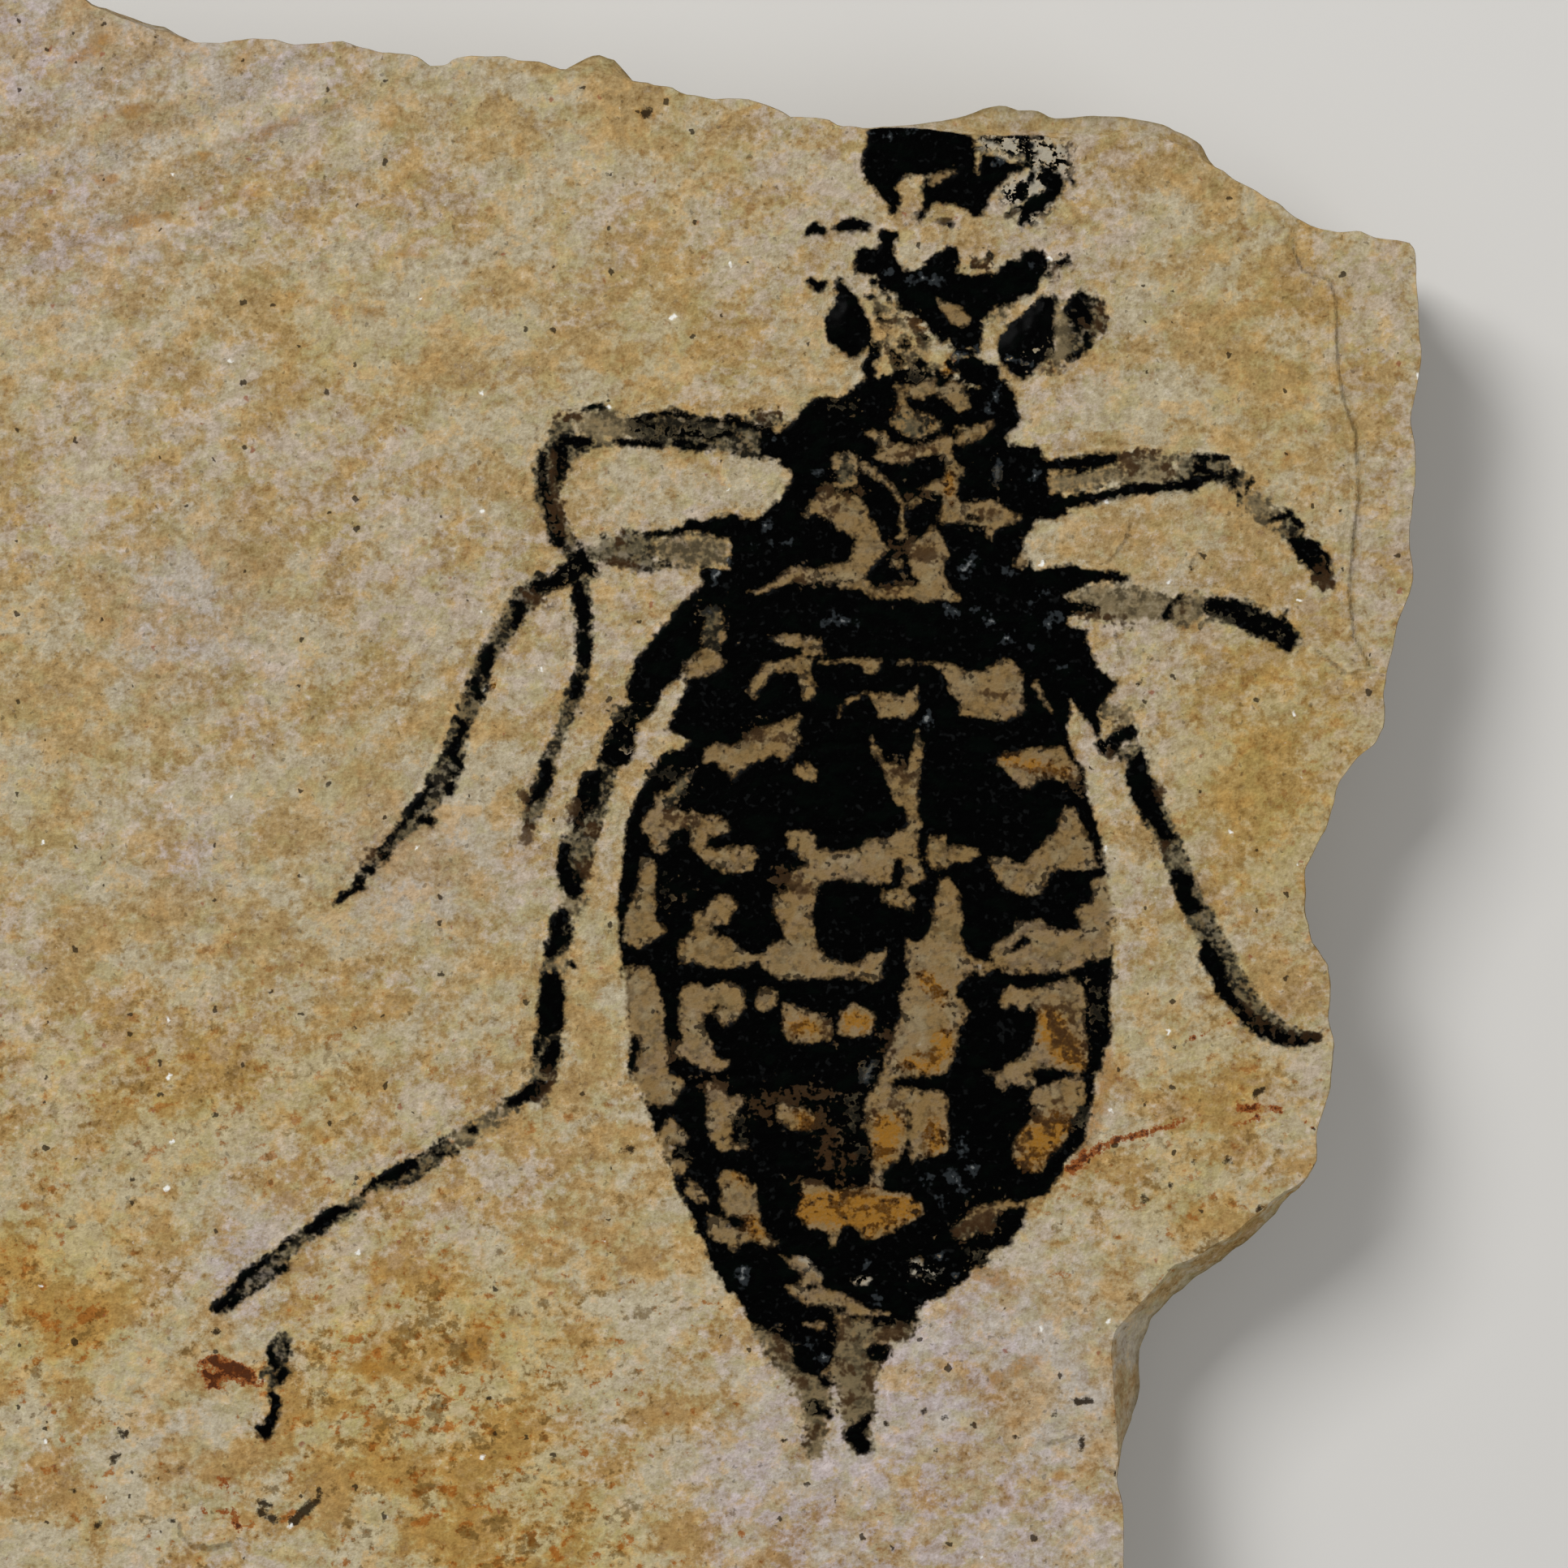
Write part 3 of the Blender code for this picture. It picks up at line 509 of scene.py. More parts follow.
relief = scaled(spotty, 0.7, scaled(grain, 0.6, times(dust, 0.2)))
link(sums("SUBTRACT", relief, times(given["Crack"], 0.5)), out["Height"])

MATT = 0.006
STAIN_FRAY = 900.0
STONE_RELIEF = 0.00016


def attribute(tree, name):
    """A number stored on the mesh."""
    return put(tree, "ShaderNodeAttribute", attribute_name=name).outputs["Fac"]


def new_material(name, roughness=STONE_ROUGH, specular=MATT):
    """A material with its tree, its shader and the place on the object."""
    made = bpy.data.materials.new(name)
    made.use_nodes = True
    tree = made.node_tree
    shader = tree.nodes["Principled BSDF"]
    shader.inputs["Roughness"].default_value = roughness
    shader.inputs["Specular IOR Level"].default_value = specular
    return made, tree, shader, put(tree, "ShaderNodeTexCoord").outputs["Object"]


def feed(shader, colour, rough, height, depth):
    """Give a shader its colour, its roughness and a fine relief, whose depth is in metres."""
    link(colour, shader.inputs["Base Color"])
    link(rough, shader.inputs["Roughness"])
    bump = put(home(height), "ShaderNodeBump", {"Height": height, "Distance": depth})
    link(bump.outputs["Normal"], shader.inputs["Normal"])


def stone_under(tree, place):
    """The stone's group in a material, with its warm zones and its frayed stains."""
    known = {"Place": place, "Warm": attribute(tree, "warm")}
    stone = put(tree, "ShaderNodeGroup", known, node_tree=limestone)
    fray = scaled(cloudy(place, STAIN_FRAY, 4.0, 0.6), 1.6, -0.8)
    link(step(plus(attribute(tree, "stain"), fray), -0.1, 0.35), stone.inputs["Stain"])
    return stone


plate_stone, tree, shader, place = new_material("plate_limestone")
stone = stone_under(tree, place)
link(attribute(tree, "side"), stone.inputs["Fracture"])
feed(shader, stone.outputs["Colour"], stone.outputs["Roughness"], stone.outputs["Height"], STONE_RELIEF)

# Ochre and orange stains on the plate: x, y, width along each.
STAINS = [
    [(-24.0, 36.6, 0.9), (-22.6, 37.3, 0.8)], [(-21.6, 34.3, 0.9), (-20.9, 34.4, 0.6)],
    [(1.3, 34.2, 0.5), (1.8, 34.1, 0.4)], [(16.3, -17.1, 0.8), (17.1, -17.6, 1.0), (18.0, -18.0, 0.6)],
    [(15.1, -18.6, 0.6), (15.7, -19.2, 0.6)], [(20.1, -12.8, 0.5), (21.3, -12.2, 0.6)],
    [(22.0, -6.8, 0.6), (21.9, -8.4, 1.0), (21.7, -9.6, 1.0), (21.3, -10.9, 1.0), (20.6, -12.3, 0.9)],
    [(17.0, -22.0, 0.9), (18.0, -21.4, 0.9), (18.8, -21.0, 0.6)], [(15.4, -22.5, 0.4), (16.5, -22.7, 0.6)],
    [(3.6, -20.8, 0.4), (4.9, -20.6, 0.4)], [(-5.8, -20.0, 1.2), (-6.4, -20.9, 0.9), (-5.0, -21.3, 0.7)],
    [(-4.5, -19.3, 0.8), (-4.0, -19.4, 0.6)], [(-10.9, -21.4, 1.0), (-9.8, -21.5, 0.7)],
    [(-10.4, -23.9, 1.2), (-9.9, -24.0, 0.8)], [(-10.6, -17.3, 0.6), (-10.7, -18.9, 0.7)],
    [(27.9, -9.9, 0.5), (28.8, -10.0, 0.5), (29.6, -10.0, 0.2)],
    [(-20.2, 31.9, 0.4), (-18.3, 32.3, 0.5), (-16.0, 33.1, 0.6), (-13.5, 34.1, 0.5), (-11.6, 34.7, 0.3)],
    [(-22.9, 31.3, 0.7), (-22.1, 31.2, 0.9)], [(-23.0, 29.1, 0.4), (-21.0, 29.4, 0.7), (-19.4, 29.8, 0.5)],
    [(-21.9, 28.1, 0.4), (-20.2, 28.4, 0.5)], [(-18.2, 30.0, 0.4), (-15.6, 30.7, 0.5)],
    [(-13.7, 25.9, 0.3), (-12.4, 25.5, 0.5), (-10.1, 25.4, 0.3)], [(-9.8, 34.3, 0.3), (-10.0, 33.6, 0.4)],
    [(-10.6, 28.1, 0.4), (-8.5, 27.9, 0.5)], [(17.4, -27.3, 0.7), (18.0, -27.2, 0.5)], [(19.7, -26.3, 0.6)],
    [(29.5, -5.3, 0.6), (29.9, -5.8, 0.4)],
]

# Warm ochre zones and cool lilac ones: middle, reach each way and how warm.
ZONES = [
    ((-22.0, 38.0), (14.0, 5.0), -1.0), ((-24.0, 29.0), (6.0, 5.0), -0.7),
    ((-19.0, 12.0), (4.0, 4.0), -1.0),
    ((-19.0, 1.0), (3.0, 3.0), -0.6), ((-9.0, 1.0), (4.0, 3.5), -0.9), ((29.5, 5.0), (5.0, 7.0), 1.2),
    ((30.0, 24.0), (6.0, 8.0), 0.5), ((-19.0, -9.0), (11.0, 5.0), 0.8), ((-25.0, -18.5), (3.5, 3.5), 1.6),
    ((-9.0, -22.0), (6.0, 5.0), 1.5), ((-3.0, -30.0), (6.0, 4.0), 1.4), ((-3.0, -20.0), (4.0, 3.0), 0.2),
    ((17.0, -23.0), (8.0, 6.0), -1.2), ((7.0, -28.0), (5.0, 5.0), -0.9), ((24.0, -14.0), (5.0, 2.5), 0.7),
    ((-19.0, -24.5), (3.0, 3.0), -0.5), ((3.0, 24.0), (5.0, 5.0), 0.5), ((-13.0, 24.0), (4.0, 4.0), 0.5),
    ((-16.5, -17.0), (2.0, 4.0), -1.0), ((17.0, -33.0), (8.0, 5.0), -0.8), ((27.0, -9.0), (4.0, 3.0), 0.7),
]

# How the broken side leaves the rim: beds that swing in and out, and roughness on them.
DEEP_LEDGE = 1.4
LEDGE_CURVE = 0.35
BED_SWING = 0.3
BED_RUN = (0.35, 9.0)
CHIP = 0.14
CHIP_SIZE = 0.9
SIDE_DEPTH = 7.0
CHIP_RISE = 0.1
LOWEST = 0.05
LIP_SIDE = 0.35
SLAB_CREASE = 0.7
NEAR_RIM = 1.0


def warmth(places):
    """How warm the stone's colour is at each place, from -1 to 1."""
    warm = np.zeros(len(places))
    for middle, reach, how_warm in ZONES:
        warm += how_warm * np.exp(-(((places - middle) / reach) ** 2).sum(1))
    return warm


rim = chipped(RIM)
rim_outline = [p[:2] for p in rim]


def onto_rim(places):
    """The nearest point of the rim to each place, with its foot, drop and distance round."""
    best = np.full(len(places), np.inf)
    found = np.zeros((len(places), 5))
    travelled = 0.0
    for a, b in segments(rim, True):
        distance, along = near_segment(places, a, b)
        closer = distance < best
        best = np.where(closer, distance, best)
        start, end = np.array(a), np.array(b)
        found[closer, :4] = start + along[closer, None] * (end - start)
        length = math.hypot(*(end - start)[:2])
        found[closer, 4] = travelled + along[closer] * length
        travelled += length
    return found


def depth_in_rim(places):
    """How deep each place lies inside the plate's rim, exact within a millimetre of it."""
    depth = depth_in(places, [p[:2] for p in RIM])
    close = depth < NEAR_RIM
    depth[close] = depth_in(places[close], rim_outline)
    return depth


flat = lattice([-reach for reach in SLAB_REACH], SLAB_REACH, SLAB_PITCH)
keep_cells(flat, depth_in(places_of(flat.verts), rim_outline))
border = [v for v in flat.verts if v.is_boundary]
for v, spot in zip(border, onto_rim(places_of(border))):
    v.co.x, v.co.y = spot[:2]
next_in = {w for v in border for e in v.link_edges for w in e.verts} - set(border)
bmesh.ops.smooth_vert(flat, verts=list(next_in), factor=0.5, use_axis_x=True, use_axis_y=True)
slab = closed_below(flat, len(BEDS), "plate")
corners, plan, ring = read_mesh(slab.data)
top = bedding(plan)
side = ring > 0
foot, drop, way = onto_rim(plan[side])[:, 2:].T
lip = np.clip(ring[side] / (LIP_RINGS + 1.0), 0.0, 1.0)
shares, backs = np.array(BEDS)[ring[side] - 1].T
ledge = np.where(foot > drop * DEEP_LEDGE, LEDGE_CURVE, 1.0)
uneven = BED_SWING * np.sin(BED_RUN[0] * way + BED_RUN[1] * shares) * (backs > 0.0)
standing = np.minimum(foot * lip, foot - backs + uneven)
rough = wobble(np.column_stack([plan[side], shares * SIDE_DEPTH]), CHIP_SIZE, 1.0, 3.0)
standing = np.where(ring[side] > LIP_RINGS, np.minimum(standing + CHIP * rough, foot), standing)
corners[side, :2] = plan[side] * (1.0 + standing / np.hypot(*plan[side].T))[:, None]
level = (top[side] - drop * lip ** ledge) * shares
corners[:, 2] = top
level = np.maximum(level + CHIP_RISE * rough * (shares < 1.0), LOWEST)
corners[side, 2] = np.where(shares > 0.0, level, 0.0)
set_places(slab.data, corners)
dress(slab.data, {"side": np.where(side, np.where(ring > LIP_RINGS, 1.0, LIP_SIDE), 0.0),
                  "stain": deepest(plan, [], STAINS), "warm": warmth(plan)}, SLAB_CREASE, plate_stone)
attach(slab, "root")
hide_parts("slab")

# The nymph's film: the carbon skin of the animal, a tenth of a millimetre thick, pressed flat on the
# bedding plane and broken through wherever the stone shows. All its pieces are cut from one lattice, so
# none overlaps. Outlines run round an area and strokes along one: x, y and for strokes the width.
FILM_PITCH = 0.12
MARGIN = 0.5
FILM_RISE = 0.1
FILM_BACK = 0.7

# The abdomen: the broad rear half of the film, ringed, black with windows where the stone is bared, and
# ending in two short tail points. It is pressed on the stone and joins the thorax in front.
ABDOMEN = [
    (4.0, 9.5), (3.0, 8.3), (2.8, 7.7), (2.4, 6.9), (3.5, 6.4), (3.2, 6.0), (2.6, 5.9), (2.1, 5.7),
    (1.9, 5.2), (1.2, 4.1), (0.6, 2.7), (0.45, 0.7), (0.25, -0.3), (0.2, -0.95), (0.7, -7.3), (0.65, -8.2),
    (0.8, -8.7), (1.5, -9.8), (2.15, -11.9), (2.75, -12.9), (2.8, -13.3), (3.1, -13.8), (3.85, -15.6),
    (4.15, -16.0), (4.2, -16.5), (4.5, -17.1), (4.8, -17.5), (5.0, -18.0), (5.4, -18.2), (5.75, -18.7),
    (6.5, -20.3), (6.8, -20.7), (7.15, -21.0), (7.4, -21.5), (8.3, -22.6), (8.5, -23.2), (8.75, -25.4),
    (9.1, -25.5), (9.6, -23.8), (9.7, -23.3), (9.7, -22.6), (9.9, -22.2), (10.15, -23.4), (10.4, -23.9),
    (10.25, -24.7), (10.7, -24.9), (10.85, -25.3), (11.2, -25.4), (11.45, -25.0), (11.5, -24.3),
    (11.65, -23.8), (11.55, -23.2), (11.6, -22.5), (12.0, -21.3), (12.4, -20.4), (13.3, -19.95),
    (13.6, -19.5), (13.4, -19.1), (13.7, -18.7), (14.1, -18.4), (14.5, -18.35), (15.7, -17.5),
    (15.9, -17.05), (16.5, -16.8), (16.7, -16.3), (17.1, -16.1), (17.6, -16.0), (17.8, -15.5),
    (18.2, -15.2), (18.3, -14.2), (18.7, -13.95), (19.2, -13.8), (19.9, -12.8), (20.1, -12.3),
    (20.5, -11.8), (20.95, -11.4), (21.05, -10.2), (21.3, -9.6), (21.4, -9.0), (21.3, -8.6), (21.65, -8.1),
    (21.8, -7.4), (22.1, -6.8), (22.1, -5.9), (22.0, -5.0), (22.1, -4.0), (22.2, -0.9), (22.0, 0.3),
    (21.8, 0.9), (21.7, 1.8), (21.5, 2.6), (21.2, 3.4), (21.0, 4.2), (20.9, 5.0), (20.25, 6.2), (20.1, 6.9),
    (20.3, 7.6), (20.3, 9.5),
]
ABDOMEN_WINDOWS = [
    [(6.9, 11.0), (7.5, 11.05), (8.5, 11.0), (9.25, 10.85), (9.4, 10.2), (9.0, 10.1), (8.5, 10.2),
     (8.3, 10.5), (7.2, 10.6)],
    [(9.0, 10.0), (8.3, 10.05), (6.7, 9.8), (6.4, 9.4), (5.9, 8.5), (6.3, 8.25), (6.9, 9.2), (7.3, 9.35),
     (8.1, 9.4), (8.5, 8.1), (8.9, 8.2), (9.0, 8.8), (8.6, 9.4)],
    [(10.5, 9.95), (11.9, 10.0), (11.9, 9.6), (11.6, 9.35), (11.2, 9.35), (11.0, 9.6)],
    [(8.3, 7.6), (8.0, 7.3), (6.3, 6.9), (5.8, 6.4), (5.3, 6.2), (4.5, 6.25), (4.1, 5.9), (4.0, 5.4),
     (4.6, 5.4), (5.0, 5.0), (5.3, 4.5), (5.6, 4.9), (6.1, 5.3), (7.2, 5.8), (7.5, 5.5), (7.8, 5.5),
     (8.0, 6.1), (8.4, 6.2), (8.2, 6.9), (8.4, 7.4)],
    [(8.1, 5.3), (8.6, 5.4), (9.0, 5.0), (9.0, 4.6), (8.5, 4.6), (8.0, 4.9)],
    [(3.7, 5.2), (3.0, 4.7), (2.6, 4.1), (1.9, 4.0), (1.8, 3.4), (1.5, 3.0), (2.3, 2.9), (2.6, 3.3)],
    [(14.0, 9.8), (14.95, 9.75), (15.6, 9.5), (16.4, 9.45), (16.9, 9.75), (17.3, 10.1), (17.7, 9.9),
     (18.1, 9.5), (18.25, 9.0), (18.2, 8.4), (18.35, 7.7), (17.9, 7.4), (17.3, 7.2), (15.4, 7.5),
     (15.3, 8.0), (14.95, 8.5), (14.8, 9.1), (14.5, 9.5)],
    [(11.2, 8.5), (12.3, 8.45), (12.8, 8.3), (13.5, 8.8), (13.6, 8.05), (13.35, 7.6), (13.0, 7.25),
     (12.4, 7.4), (11.85, 7.4), (11.7, 7.9)],
    [(11.45, 6.6), (12.1, 5.4), (12.6, 5.3), (13.0, 5.0), (13.2, 5.4), (13.3, 6.2), (13.5, 6.9),
     (13.75, 6.2), (13.7, 5.2), (13.55, 4.2), (13.6, 2.4), (13.0, 2.4), (13.0, 3.6), (12.6, 3.5),
     (12.1, 4.8), (11.4, 6.1)],
    [(16.9, 5.5), (17.2, 5.8), (18.0, 5.95), (19.0, 6.0), (19.9, 6.15), (20.3, 5.5), (20.8, 5.05),
     (20.6, 4.5), (19.45, 4.7), (18.9, 4.55), (18.5, 4.2), (18.0, 4.4), (17.3, 5.2)],
    [(18.5, 8.9), (18.8, 9.0), (19.6, 7.5), (19.3, 7.7)],
    [(1.2, 1.2), (1.7, 1.25), (1.9, 0.9), (1.9, -1.3), (2.1, -1.8), (2.4, -2.1), (1.2, -2.9), (0.5, -2.6),
     (0.1, -2.1), (0.15, -1.4), (0.7, -1.1), (1.15, 0.2)],
    [(1.3, 2.8), (1.6, 3.3), (2.2, 3.4), (2.8, 3.4), (3.3, 3.1), (3.4, 2.6), (2.5, 2.3), (2.4, 1.9),
     (2.5, 1.6), (2.2, 1.35), (1.8, 1.4), (1.6, 2.2), (1.2, 2.3)],
    [(3.5, 3.3), (4.0, 3.0), (4.6, 3.1), (5.1, 2.8), (5.25, 2.4), (4.95, 2.15), (4.2, 2.15), (4.15, 1.65),
     (4.6, 1.5), (5.0, 1.65), (5.7, 1.6), (6.4, 1.65), (6.4, 1.2), (6.15, 0.6), (5.5, 0.45), (5.0, 0.5),
     (4.0, 1.0), (3.45, 1.7), (3.4, 2.2), (3.5, 2.8)],
    [(7.7, 2.2), (8.0, 2.4), (8.7, 2.35), (9.0, 2.1), (9.1, 1.6), (9.8, 1.45), (10.5, 1.5), (11.0, 1.7),
     (11.3, 2.0), (11.9, 2.0), (12.4, 2.1), (12.6, 2.4), (13.0, 2.5), (13.1, 3.05), (13.6, 3.05),
     (13.7, 2.5), (13.5, 2.1), (13.6, 1.2), (13.9, 0.2), (13.6, 0.0), (12.9, 0.0), (12.9, 1.1),
     (12.45, 1.1), (12.4, 0.1), (11.7, 0.0), (9.9, 0.2), (9.15, 0.0), (8.85, -1.3), (9.05, -2.8),
     (9.5, -3.2), (10.7, -3.6), (11.4, -3.1), (12.1, -2.9), (12.2, -3.3), (12.0, -3.7), (12.0, -4.15),
     (11.7, -4.4), (11.0, -4.25), (9.9, -4.15), (8.1, -4.3), (7.4, -4.2), (6.6, -3.7), (6.4, -3.3),
     (7.2, -2.5), (7.65, -2.4), (7.6, -2.1), (7.0, -1.0), (7.2, -0.5), (8.0, -0.2), (7.7, 0.0), (7.9, 0.5),
     (8.6, 0.9), (7.8, 1.6)],
    [(4.3, -0.7), (4.6, -0.5), (5.2, -0.5), (5.6, -0.9), (5.1, -1.75), (4.5, -1.9), (4.7, -2.3),
     (5.3, -2.5), (6.4, -3.3), (5.9, -3.7), (4.2, -3.75), (3.5, -3.55), (3.0, -3.5), (2.9, -3.0),
     (3.0, -2.5), (3.5, -2.1), (3.6, -1.8), (3.5, -1.3), (4.1, -1.2)],
    [(0.4, -3.7), (1.6, -3.6), (2.2, -5.2), (2.3, -5.8), (2.25, -6.5), (2.5, -7.4), (2.4, -8.0),
     (2.45, -8.4), (3.0, -8.6), (3.2, -8.9), (2.85, -9.6), (2.6, -9.85), (2.0, -9.9), (1.6, -9.75),
     (0.9, -9.3), (0.5, -8.9), (0.3, -5.0)],
    [(3.1, -4.55), (3.65, -4.35), (4.1, -4.6), (4.6, -4.4), (5.1, -4.3), (5.8, -4.55), (5.9, -5.0),
     (5.9, -5.5), (5.3, -6.2), (4.95, -6.35), (4.4, -5.75), (4.0, -5.8), (4.05, -6.2), (4.4, -7.0),
     (4.5, -7.5), (4.7, -7.7), (5.2, -7.8), (5.25, -8.0), (5.0, -8.2), (4.6, -8.3), (4.0, -8.25),
     (3.3, -7.8), (2.95, -7.7), (2.75, -7.5), (2.85, -7.2), (3.1, -6.9), (2.85, -5.7)],
    [(6.4, -4.8), (6.85, -4.55), (7.3, -4.8), (7.25, -5.35), (6.85, -5.65), (6.45, -5.6), (6.3, -5.2)],
    [(7.5, -5.25), (8.1, -5.35), (9.1, -5.75), (9.5, -6.0), (9.75, -6.3), (9.7, -6.85), (8.6, -7.1),
     (7.8, -7.0), (7.6, -6.7), (7.5, -6.2)],
    [(10.1, -5.7), (10.6, -5.25), (11.45, -5.65), (11.65, -6.0), (11.6, -6.4), (11.4, -6.7), (11.0, -6.8),
     (10.3, -6.75), (10.0, -6.6)],
    [(12.0, -0.3), (12.5, -0.3), (12.9, 0.0), (13.2, -0.3), (13.4, -0.7), (13.3, -1.2), (12.0, -0.85),
     (11.9, -0.55)],
    [(14.0, 2.1), (14.7, 2.1), (14.8, 1.6), (15.1, 1.8), (16.2, 1.5), (16.2, 1.3), (15.8, 0.97),
     (15.1, 0.97), (14.8, 0.7), (14.2, 0.7), (13.9, 1.05), (13.9, 1.6)],
    [(14.5, 0.2), (14.9, 0.25), (15.4, -0.5), (15.5, -0.95), (15.5, -1.6), (15.4, -2.2), (15.6, -2.9),
     (16.0, -3.3), (16.6, -3.4), (17.0, -3.7), (16.4, -4.2), (16.0, -3.8), (15.3, -4.6), (15.2, -4.95),
     (15.6, -5.2), (15.8, -5.7), (15.6, -6.1), (15.3, -6.4), (15.3, -7.0), (15.2, -7.6), (14.9, -8.2),
     (14.5, -8.5), (12.5, -8.6), (12.4, -9.0), (13.3, -9.0), (13.8, -9.2), (14.2, -9.1), (14.6, -9.2),
     (14.9, -9.4), (14.8, -10.0), (14.9, -10.8), (14.9, -11.8), (14.6, -12.0), (14.0, -12.1), (13.3, -12.4),
     (13.0, -11.5), (12.8, -12.0), (12.0, -12.9), (12.0, -13.6), (13.2, -13.75), (13.7, -14.2),
     (13.75, -14.6), (13.4, -14.9), (12.2, -15.5), (11.2, -15.85), (11.0, -15.4), (10.5, -15.15),
     (10.0, -15.4), (9.95, -15.9), (9.7, -16.1), (9.6, -15.6), (9.2, -15.35), (8.7, -15.3), (8.4, -14.9),
     (8.0, -14.7), (8.4, -13.9), (8.4, -13.2), (8.8, -13.1), (9.3, -13.3), (9.6, -13.6), (10.2, -13.6),
     (11.4, -13.3), (11.5, -12.7), (11.5, -12.0), (11.4, -11.3), (11.1, -10.8), (11.2, -10.3), (11.1, -9.9),
     (12.0, -8.2), (12.1, -7.6), (12.3, -7.2), (12.8, -5.7), (12.7, -4.95), (13.2, -4.15), (13.0, -3.5),
     (13.0, -2.4), (13.4, -2.55), (13.8, -2.5), (14.1, -1.9)],
    [(16.7, 1.2), (17.4, 1.2), (17.7, 0.9), (18.4, 0.8), (18.6, 1.3), (19.0, 1.6), (19.3, 2.1), (19.7, 2.4),
     (19.85, 3.05), (20.1, 3.45), (20.6, 3.3), (20.7, 2.7), (21.3, 1.8), (21.6, 0.65), (21.2, 0.6),
     (20.6, 0.7), (19.9, 0.65), (19.4, 0.4), (19.0, -0.5), (18.6, -0.6), (18.2, -0.4), (17.7, -0.4),
     (17.3, -0.15), (16.8, 0.7)],
    [(21.3, 0.3), (22.1, 0.4), (22.5, -0.9), (22.4, -3.0), (21.9, -3.3), (21.0, -3.5), (20.1, -3.9),
     (19.5, -4.0), (18.6, -3.95), (17.4, -4.0), (17.0, -3.6), (16.7, -3.1), (17.0, -2.6), (17.8, -2.1),
     (17.9, -1.6), (19.0, -1.6), (19.4, -1.9), (20.1, -2.1), (20.7, -2.0), (20.6, -1.1), (21.2, -0.8)],
    [(17.6, -4.45), (18.3, -4.7), (18.9, -4.6), (20.5, -4.1), (20.8, -4.5), (21.1, -5.35), (20.85, -5.7),
     (21.1, -7.3), (21.1, -8.0), (20.9, -8.4), (20.4, -8.4), (19.9, -8.2), (19.2, -8.15), (18.6, -8.35),
     (18.4, -8.5), (18.8, -8.7), (18.7, -9.0), (18.5, -9.1), (18.1, -8.9), (17.6, -8.9), (17.3, -9.2),
     (17.1, -9.0), (16.9, -8.6), (16.4, -8.5), (16.5, -8.2), (17.1, -8.4), (17.4, -8.1), (18.4, -7.5),
     (18.9, -6.2), (18.8, -5.7), (18.5, -5.3), (18.2, -5.7), (17.7, -5.3), (17.3, -5.7), (17.1, -5.2)],
    [(18.6, -9.1), (19.3, -8.9), (20.0, -8.6), (20.5, -8.5), (20.9, -8.6), (20.95, -9.2), (20.9, -9.8),
     (20.5, -10.4), (19.9, -11.8), (19.5, -12.0), (19.0, -12.8), (18.6, -12.8), (18.0, -12.6),
     (17.7, -12.0), (17.8, -11.5), (18.1, -10.9), (18.9, -10.2), (18.7, -9.8), (18.5, -9.6)],
    [(15.0, -15.3), (15.5, -15.0), (15.9, -14.5), (16.3, -14.3), (16.9, -14.2), (17.3, -14.05),
     (18.0, -14.1), (18.6, -13.95), (18.3, -14.3), (17.7, -14.35), (17.1, -14.5), (16.8, -15.5),
     (16.2, -15.4), (15.6, -15.8), (15.1, -15.6)],
    [(2.0, -11.1), (2.2, -10.7), (2.5, -10.4), (2.7, -10.3), (3.0, -10.8), (3.3, -11.0), (3.4, -11.3),
     (3.1, -11.6), (2.7, -11.6), (2.6, -12.1), (2.2, -12.1), (1.9, -11.8)],
    [(2.5, -12.3), (3.0, -12.2), (3.4, -12.35), (3.2, -12.8), (3.0, -13.0), (2.7, -12.9)],
    [(3.2, -13.1), (3.7, -13.2), (4.3, -14.0), (4.2, -14.2), (3.7, -14.1), (3.3, -13.8), (3.2, -13.5)],
    [(4.15, -8.8), (4.8, -8.9), (5.2, -9.5), (5.6, -9.3), (5.9, -9.5), (5.3, -10.7), (5.2, -11.3),
     (5.5, -11.5), (5.9, -11.5), (6.1, -11.7), (5.6, -11.85), (5.2, -11.8), (4.9, -11.95), (4.4, -11.4),
     (4.15, -11.0), (4.1, -10.5), (4.2, -10.0), (4.1, -9.4)],
    [(4.7, -12.9), (5.1, -12.7), (5.8, -12.85), (6.0, -13.2), (6.4, -13.4), (6.6, -15.2), (6.85, -15.5),
     (7.4, -15.8), (7.4, -16.0), (6.9, -16.1), (6.5, -16.0), (6.3, -15.8), (5.9, -15.9), (5.5, -15.9),
     (5.6, -16.1), (5.5, -16.4), (5.2, -16.2), (5.1, -15.95), (4.5, -15.8), (4.15, -15.5), (4.2, -14.6),
     (4.6, -14.7), (5.4, -15.25), (5.7, -15.2), (5.8, -15.05), (5.5, -14.85), (5.0, -14.7), (4.8, -14.2),
     (4.8, -13.6), (4.6, -13.2)],
    [(7.3, -9.8), (7.6, -9.6), (8.0, -9.9), (8.5, -9.9), (9.0, -10.3), (9.0, -10.8), (8.6, -11.0),
     (8.1, -10.95), (7.6, -10.8), (7.3, -10.4)],
    [(7.4, -16.4), (7.8, -16.6), (8.2, -16.5), (8.7, -16.6), (9.0, -17.0), (9.3, -17.2), (9.4, -17.5),
     (9.2, -17.8), (9.5, -18.0), (10.6, -18.3), (11.0, -18.6), (11.2, -18.9), (12.2, -19.0), (12.2, -19.15),
     (10.8, -19.1), (10.4, -19.2), (10.1, -19.5), (9.9, -19.3), (9.7, -18.9), (9.0, -18.6), (8.6, -18.7),
     (7.8, -18.2), (7.7, -17.8), (8.1, -17.8), (8.4, -17.5), (8.2, -17.1), (7.9, -17.0)],
